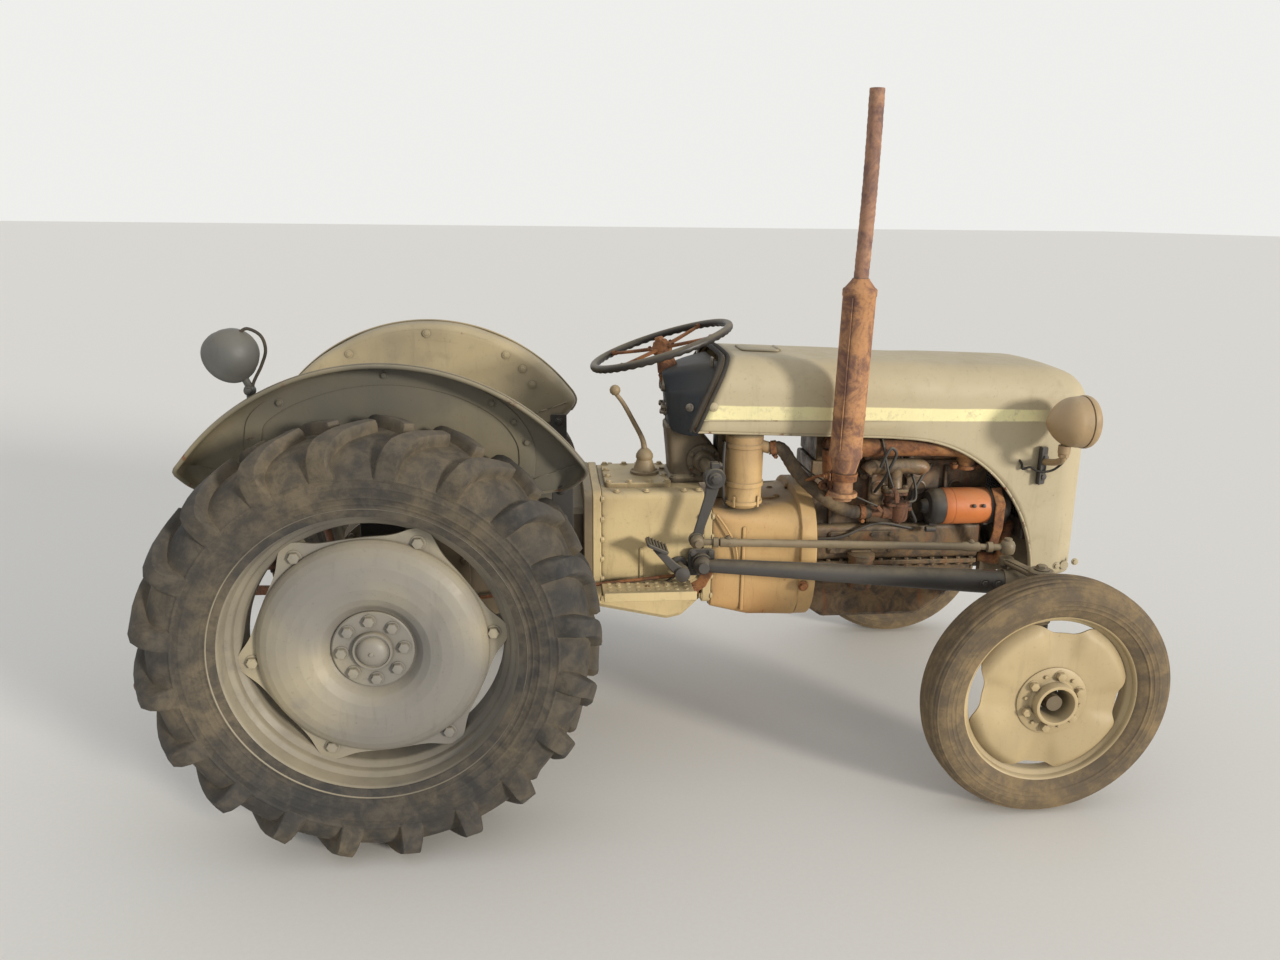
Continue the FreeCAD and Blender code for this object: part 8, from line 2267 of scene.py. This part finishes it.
def build_stage(p, f):
    """Ground, soft low sun from the right, sky fill, and the camera of the photograph."""
    scene = bpy.context.scene
    x, y = np.meshgrid(np.linspace(-90000, 90000, 60), np.linspace(-30000, 150000, 60), indexing="ij")
    ground = grid(np.stack([x, y, np.zeros_like(x)], -1))
    mesh = bpy.data.meshes.new("ground")
    mesh.from_pydata((ground.points * MM).tolist(), [], ground.faces[0].tolist())
    floor = bpy.data.objects.new("ground", mesh)
    scene.collection.objects.link(floor)
    mesh.materials.append(f["ground"])
    yaw, pitch, roll = (math.radians(value) for value in (CAMERA_YAW, CAMERA_PITCH, CAMERA_ROLL))
    right = np.array([math.cos(yaw), -math.sin(yaw), 0])
    level = np.array([math.sin(yaw), math.cos(yaw), 0])
    ahead = math.cos(pitch) * level - math.sin(pitch) * np.array([0, 0, 1])
    up = math.sin(pitch) * level + math.cos(pitch) * np.array([0, 0, 1])
    across = math.cos(roll) * right + math.sin(roll) * up
    top = -math.sin(roll) * right + math.cos(roll) * up
    place = (np.array(CAMERA_PLACE) + np.array([AXLE_X, 0, 0])) * MM
    data = bpy.data.cameras.new("camera")
    data.sensor_fit = "HORIZONTAL"
    data.sensor_width = 36
    data.lens = CAMERA_LENS
    data.clip_start = 0.05
    data.clip_end = 500
    camera = bpy.data.objects.new("camera", data)
    camera.matrix_world = Matrix([(*row, shift) for row,
        shift in zip(np.stack([across, top, -ahead], 1).tolist(), place.tolist())] + [(0, 0, 0, 1)])
    scene.collection.objects.link(camera)
    scene.camera = camera
    lamp = bpy.data.lights.new("sun", "SUN")
    lamp.energy = p.sun
    lamp.color = (1, 0.95, 0.86)
    lamp.angle = math.radians(9)
    sun = bpy.data.objects.new("sun", lamp)
    sun.rotation_euler = Vector((-0.68, 0.70, -0.20)).to_track_quat("-Z", "Y").to_euler()
    scene.collection.objects.link(sun)
    world = bpy.data.worlds.new("sky")
    scene.world = world
    world.use_nodes = True
    tree = world.node_tree
    back = tree.nodes["Background"]
    back.inputs["Color"].default_value = (0.94, 0.96, 1, 1)
    back.inputs["Strength"].default_value = p.sky
    seen = tree.nodes.new("ShaderNodeLightPath")
    pale = tree.nodes.new("ShaderNodeBackground")
    pale.inputs["Color"].default_value = (0.86, 0.86, 0.84, 1)
    rays = seen.outputs["Is Camera Ray"]
    for other in ("Is Glossy Ray", "Is Transmission Ray"):
        either = tree.nodes.new("ShaderNodeMath")
        either.operation = "MAXIMUM"
        tree.links.new(rays, either.inputs[0])
        tree.links.new(seen.outputs[other], either.inputs[1])
        rays = either.outputs[0]
    mix = tree.nodes.new("ShaderNodeMixShader")
    tree.links.new(rays, mix.inputs[0])
    tree.links.new(back.outputs[0], mix.inputs[1])
    tree.links.new(pale.outputs[0], mix.inputs[2])
    tree.links.new(mix.outputs[0], tree.nodes["World Output"].inputs["Surface"])
    scene.view_settings.view_transform = "Standard"


# Settings, operators and panel


class TractorSettings(bpy.types.PropertyGroup):
    """Colours, wear and light that change the tractor's look."""
    paint: FloatVectorProperty(name="Paint", description="Old grey paint of the sheet metal", subtype="COLOR",
        default=tone(182, 168, 136), min=0, max=1)
    wheel_paint: FloatVectorProperty(name="Wheel paint", description="Paint of the front wheels",
        subtype="COLOR", default=tone(190, 168, 126), min=0, max=1)
    rust: FloatProperty(name="Rust", description="Share of the sheet metal that rust has broken through",
        subtype="FACTOR", default=0.3, min=0, max=1)
    dust: FloatProperty(name="Dust", description="Dust that lies on what faces up", subtype="FACTOR",
        default=0.35, min=0, max=1)
    tyre_dust: FloatProperty(name="Tyre dust", description="Dried mud and dust on the tyres", subtype="FACTOR",
        default=0.38, min=0, max=1)
    sun: FloatProperty(name="Sun", description="Strength of the low sun", default=2.9, min=0, max=20)
    sky: FloatProperty(name="Sky", description="Strength of the sky's fill light", default=0.74, min=0, max=5)
    lug_seed: IntProperty(name="Lug wear seed", description="Start value of the tread lugs' uneven wear",
        default=3, min=0)


FINISHES = {}


def finishes(context):
    """Finishes, made once from the settings."""
    if not FINISHES:
        FINISHES.update(make_finishes(context.scene.tractor))
    return FINISHES


class TRACTOR_OT_nodes(bpy.types.Operator):
    """Give the carried-over CAD parts their paint, iron and rubber"""
    bl_idname = "tractor.nodes"
    bl_label = "Finishes of the frame"

    def execute(self, context):
        dress_nodes(finishes(context))
        return {"FINISHED"}


class TRACTOR_OT_wheels(bpy.types.Operator):
    """Build the lugged rear tyres, ribbed front tyres, rims, discs, hubs and axle nuts"""
    bl_idname = "tractor.wheels"
    bl_label = "Wheels and tyres"

    def execute(self, context):
        build_wheels(context.scene.tractor, finishes(context))
        return {"FINISHED"}


class TRACTOR_OT_bonnet(bpy.types.Operator):
    """Build the pressed bonnet with its welt, fittings and grille bars"""
    bl_idname = "tractor.bonnet"
    bl_label = "Bonnet and grille"

    def execute(self, context):
        build_bonnet(context.scene.tractor, finishes(context))
        return {"FINISHED"}


class TRACTOR_OT_headlamps(bpy.types.Operator):
    """Build both headlamps with glass, pads and leads"""
    bl_idname = "tractor.headlamps"
    bl_label = "Headlamps"

    def execute(self, context):
        build_headlamps(context.scene.tractor, finishes(context))
        return {"FINISHED"}


class TRACTOR_OT_fenders(bpy.types.Operator):
    """Build both curled fenders with beads, straps and stays"""
    bl_idname = "tractor.fenders"
    bl_label = "Fenders"

    def execute(self, context):
        build_fenders(context.scene.tractor, finishes(context))
        return {"FINISHED"}


class TRACTOR_OT_steering(bpy.types.Operator):
    """Build the steering wheel, column, dashboard, pedestal, drop arms and drag links"""
    bl_idname = "tractor.steering"
    bl_label = "Steering"

    def execute(self, context):
        build_steering(context.scene.tractor, finishes(context))
        return {"FINISHED"}


class TRACTOR_OT_front_axle(bpy.types.Operator):
    """Build the knuckles, radius rods and axle bolts"""
    bl_idname = "tractor.front_axle"
    bl_label = "Front axle"

    def execute(self, context):
        build_front_axle(context.scene.tractor, finishes(context))
        return {"FINISHED"}


class TRACTOR_OT_exhaust(bpy.types.Operator):
    """Build the silencer, tail pipe, manifold, intake and carburettor"""
    bl_idname = "tractor.exhaust"
    bl_label = "Exhaust and intake"

    def execute(self, context):
        build_exhaust(context.scene.tractor, finishes(context))
        return {"FINISHED"}


class TRACTOR_OT_air(bpy.types.Operator):
    """Build the air cleaner, its hose and clamps"""
    bl_idname = "tractor.air"
    bl_label = "Air cleaner and hose"

    def execute(self, context):
        build_air(context.scene.tractor, finishes(context))
        return {"FINISHED"}


class TRACTOR_OT_dynamo(bpy.types.Operator):
    """Build the dynamo, pulleys, belt and fan"""
    bl_idname = "tractor.dynamo"
    bl_label = "Dynamo and fan"

    def execute(self, context):
        build_dynamo(context.scene.tractor, finishes(context))
        return {"FINISHED"}


class TRACTOR_OT_engine(bpy.types.Operator):
    """Build the engine castings, plugs, leads and radiator"""
    bl_idname = "tractor.engine"
    bl_label = "Engine and radiator"

    def execute(self, context):
        build_engine(context.scene.tractor, finishes(context))
        return {"FINISHED"}


class TRACTOR_OT_drive_line(bpy.types.Operator):
    """Build the gearbox, bell housing, rear axle case, lift cover and tank"""
    bl_idname = "tractor.drive_line"
    bl_label = "Gearbox and axle case"

    def execute(self, context):
        build_drive_line(context.scene.tractor, finishes(context))
        return {"FINISHED"}


class TRACTOR_OT_driver_place(bpy.types.Operator):
    """Build the lever, pedals, footrests, seat and work lamp"""
    bl_idname = "tractor.driver_place"
    bl_label = "Driver's place"

    def execute(self, context):
        build_driver_place(context.scene.tractor, finishes(context))
        return {"FINISHED"}


class TRACTOR_OT_lift_gear(bpy.types.Operator):
    """Build the lower links, lift arms and lift rods"""
    bl_idname = "tractor.lift_gear"
    bl_label = "Lift gear"

    def execute(self, context):
        build_lift_gear(context.scene.tractor, finishes(context))
        return {"FINISHED"}


class TRACTOR_OT_stage(bpy.types.Operator):
    """Set the pale floor, the low sun, the sky and the camera"""
    bl_idname = "tractor.stage"
    bl_label = "Ground, lights and camera"

    def execute(self, context):
        build_stage(context.scene.tractor, finishes(context))
        return {"FINISHED"}


STEPS = ("nodes", "wheels", "bonnet", "headlamps", "fenders", "steering", "front_axle", "exhaust", "air",
         "dynamo", "engine", "drive_line", "driver_place", "lift_gear", "stage")


class TRACTOR_PT_panel(bpy.types.Panel):
    """Sidebar list of the settings and building steps"""
    bl_idname = "TRACTOR_PT_panel"
    bl_label = "Old farm tractor"
    bl_space_type = "VIEW_3D"
    bl_region_type = "UI"
    bl_category = "Tractor"

    def draw(self, context):
        settings = context.scene.tractor
        for name in TractorSettings.__annotations__:
            self.layout.prop(settings, name)
        for step in STEPS:
            self.layout.operator(f"tractor.{step}")


CLASSES = (TractorSettings, TRACTOR_OT_nodes, TRACTOR_OT_wheels, TRACTOR_OT_bonnet, TRACTOR_OT_headlamps,
           TRACTOR_OT_fenders, TRACTOR_OT_steering, TRACTOR_OT_front_axle, TRACTOR_OT_exhaust, TRACTOR_OT_air,
           TRACTOR_OT_dynamo, TRACTOR_OT_engine, TRACTOR_OT_drive_line, TRACTOR_OT_driver_place,
           TRACTOR_OT_lift_gear, TRACTOR_OT_stage, TRACTOR_PT_panel)


def register():
    """Register the classes and hang the settings on the scene."""
    for kind in CLASSES:
        bpy.utils.register_class(kind)
    bpy.types.Scene.tractor = PointerProperty(type=TractorSettings)


def unregister():
    """Take the settings and classes off again."""
    del bpy.types.Scene.tractor
    for kind in reversed(CLASSES):
        bpy.utils.unregister_class(kind)


def main():
    """Build every step in order."""
    register()
    for step in STEPS:
        getattr(bpy.ops.tractor, step)()


if __name__ == "__main__":
    main()
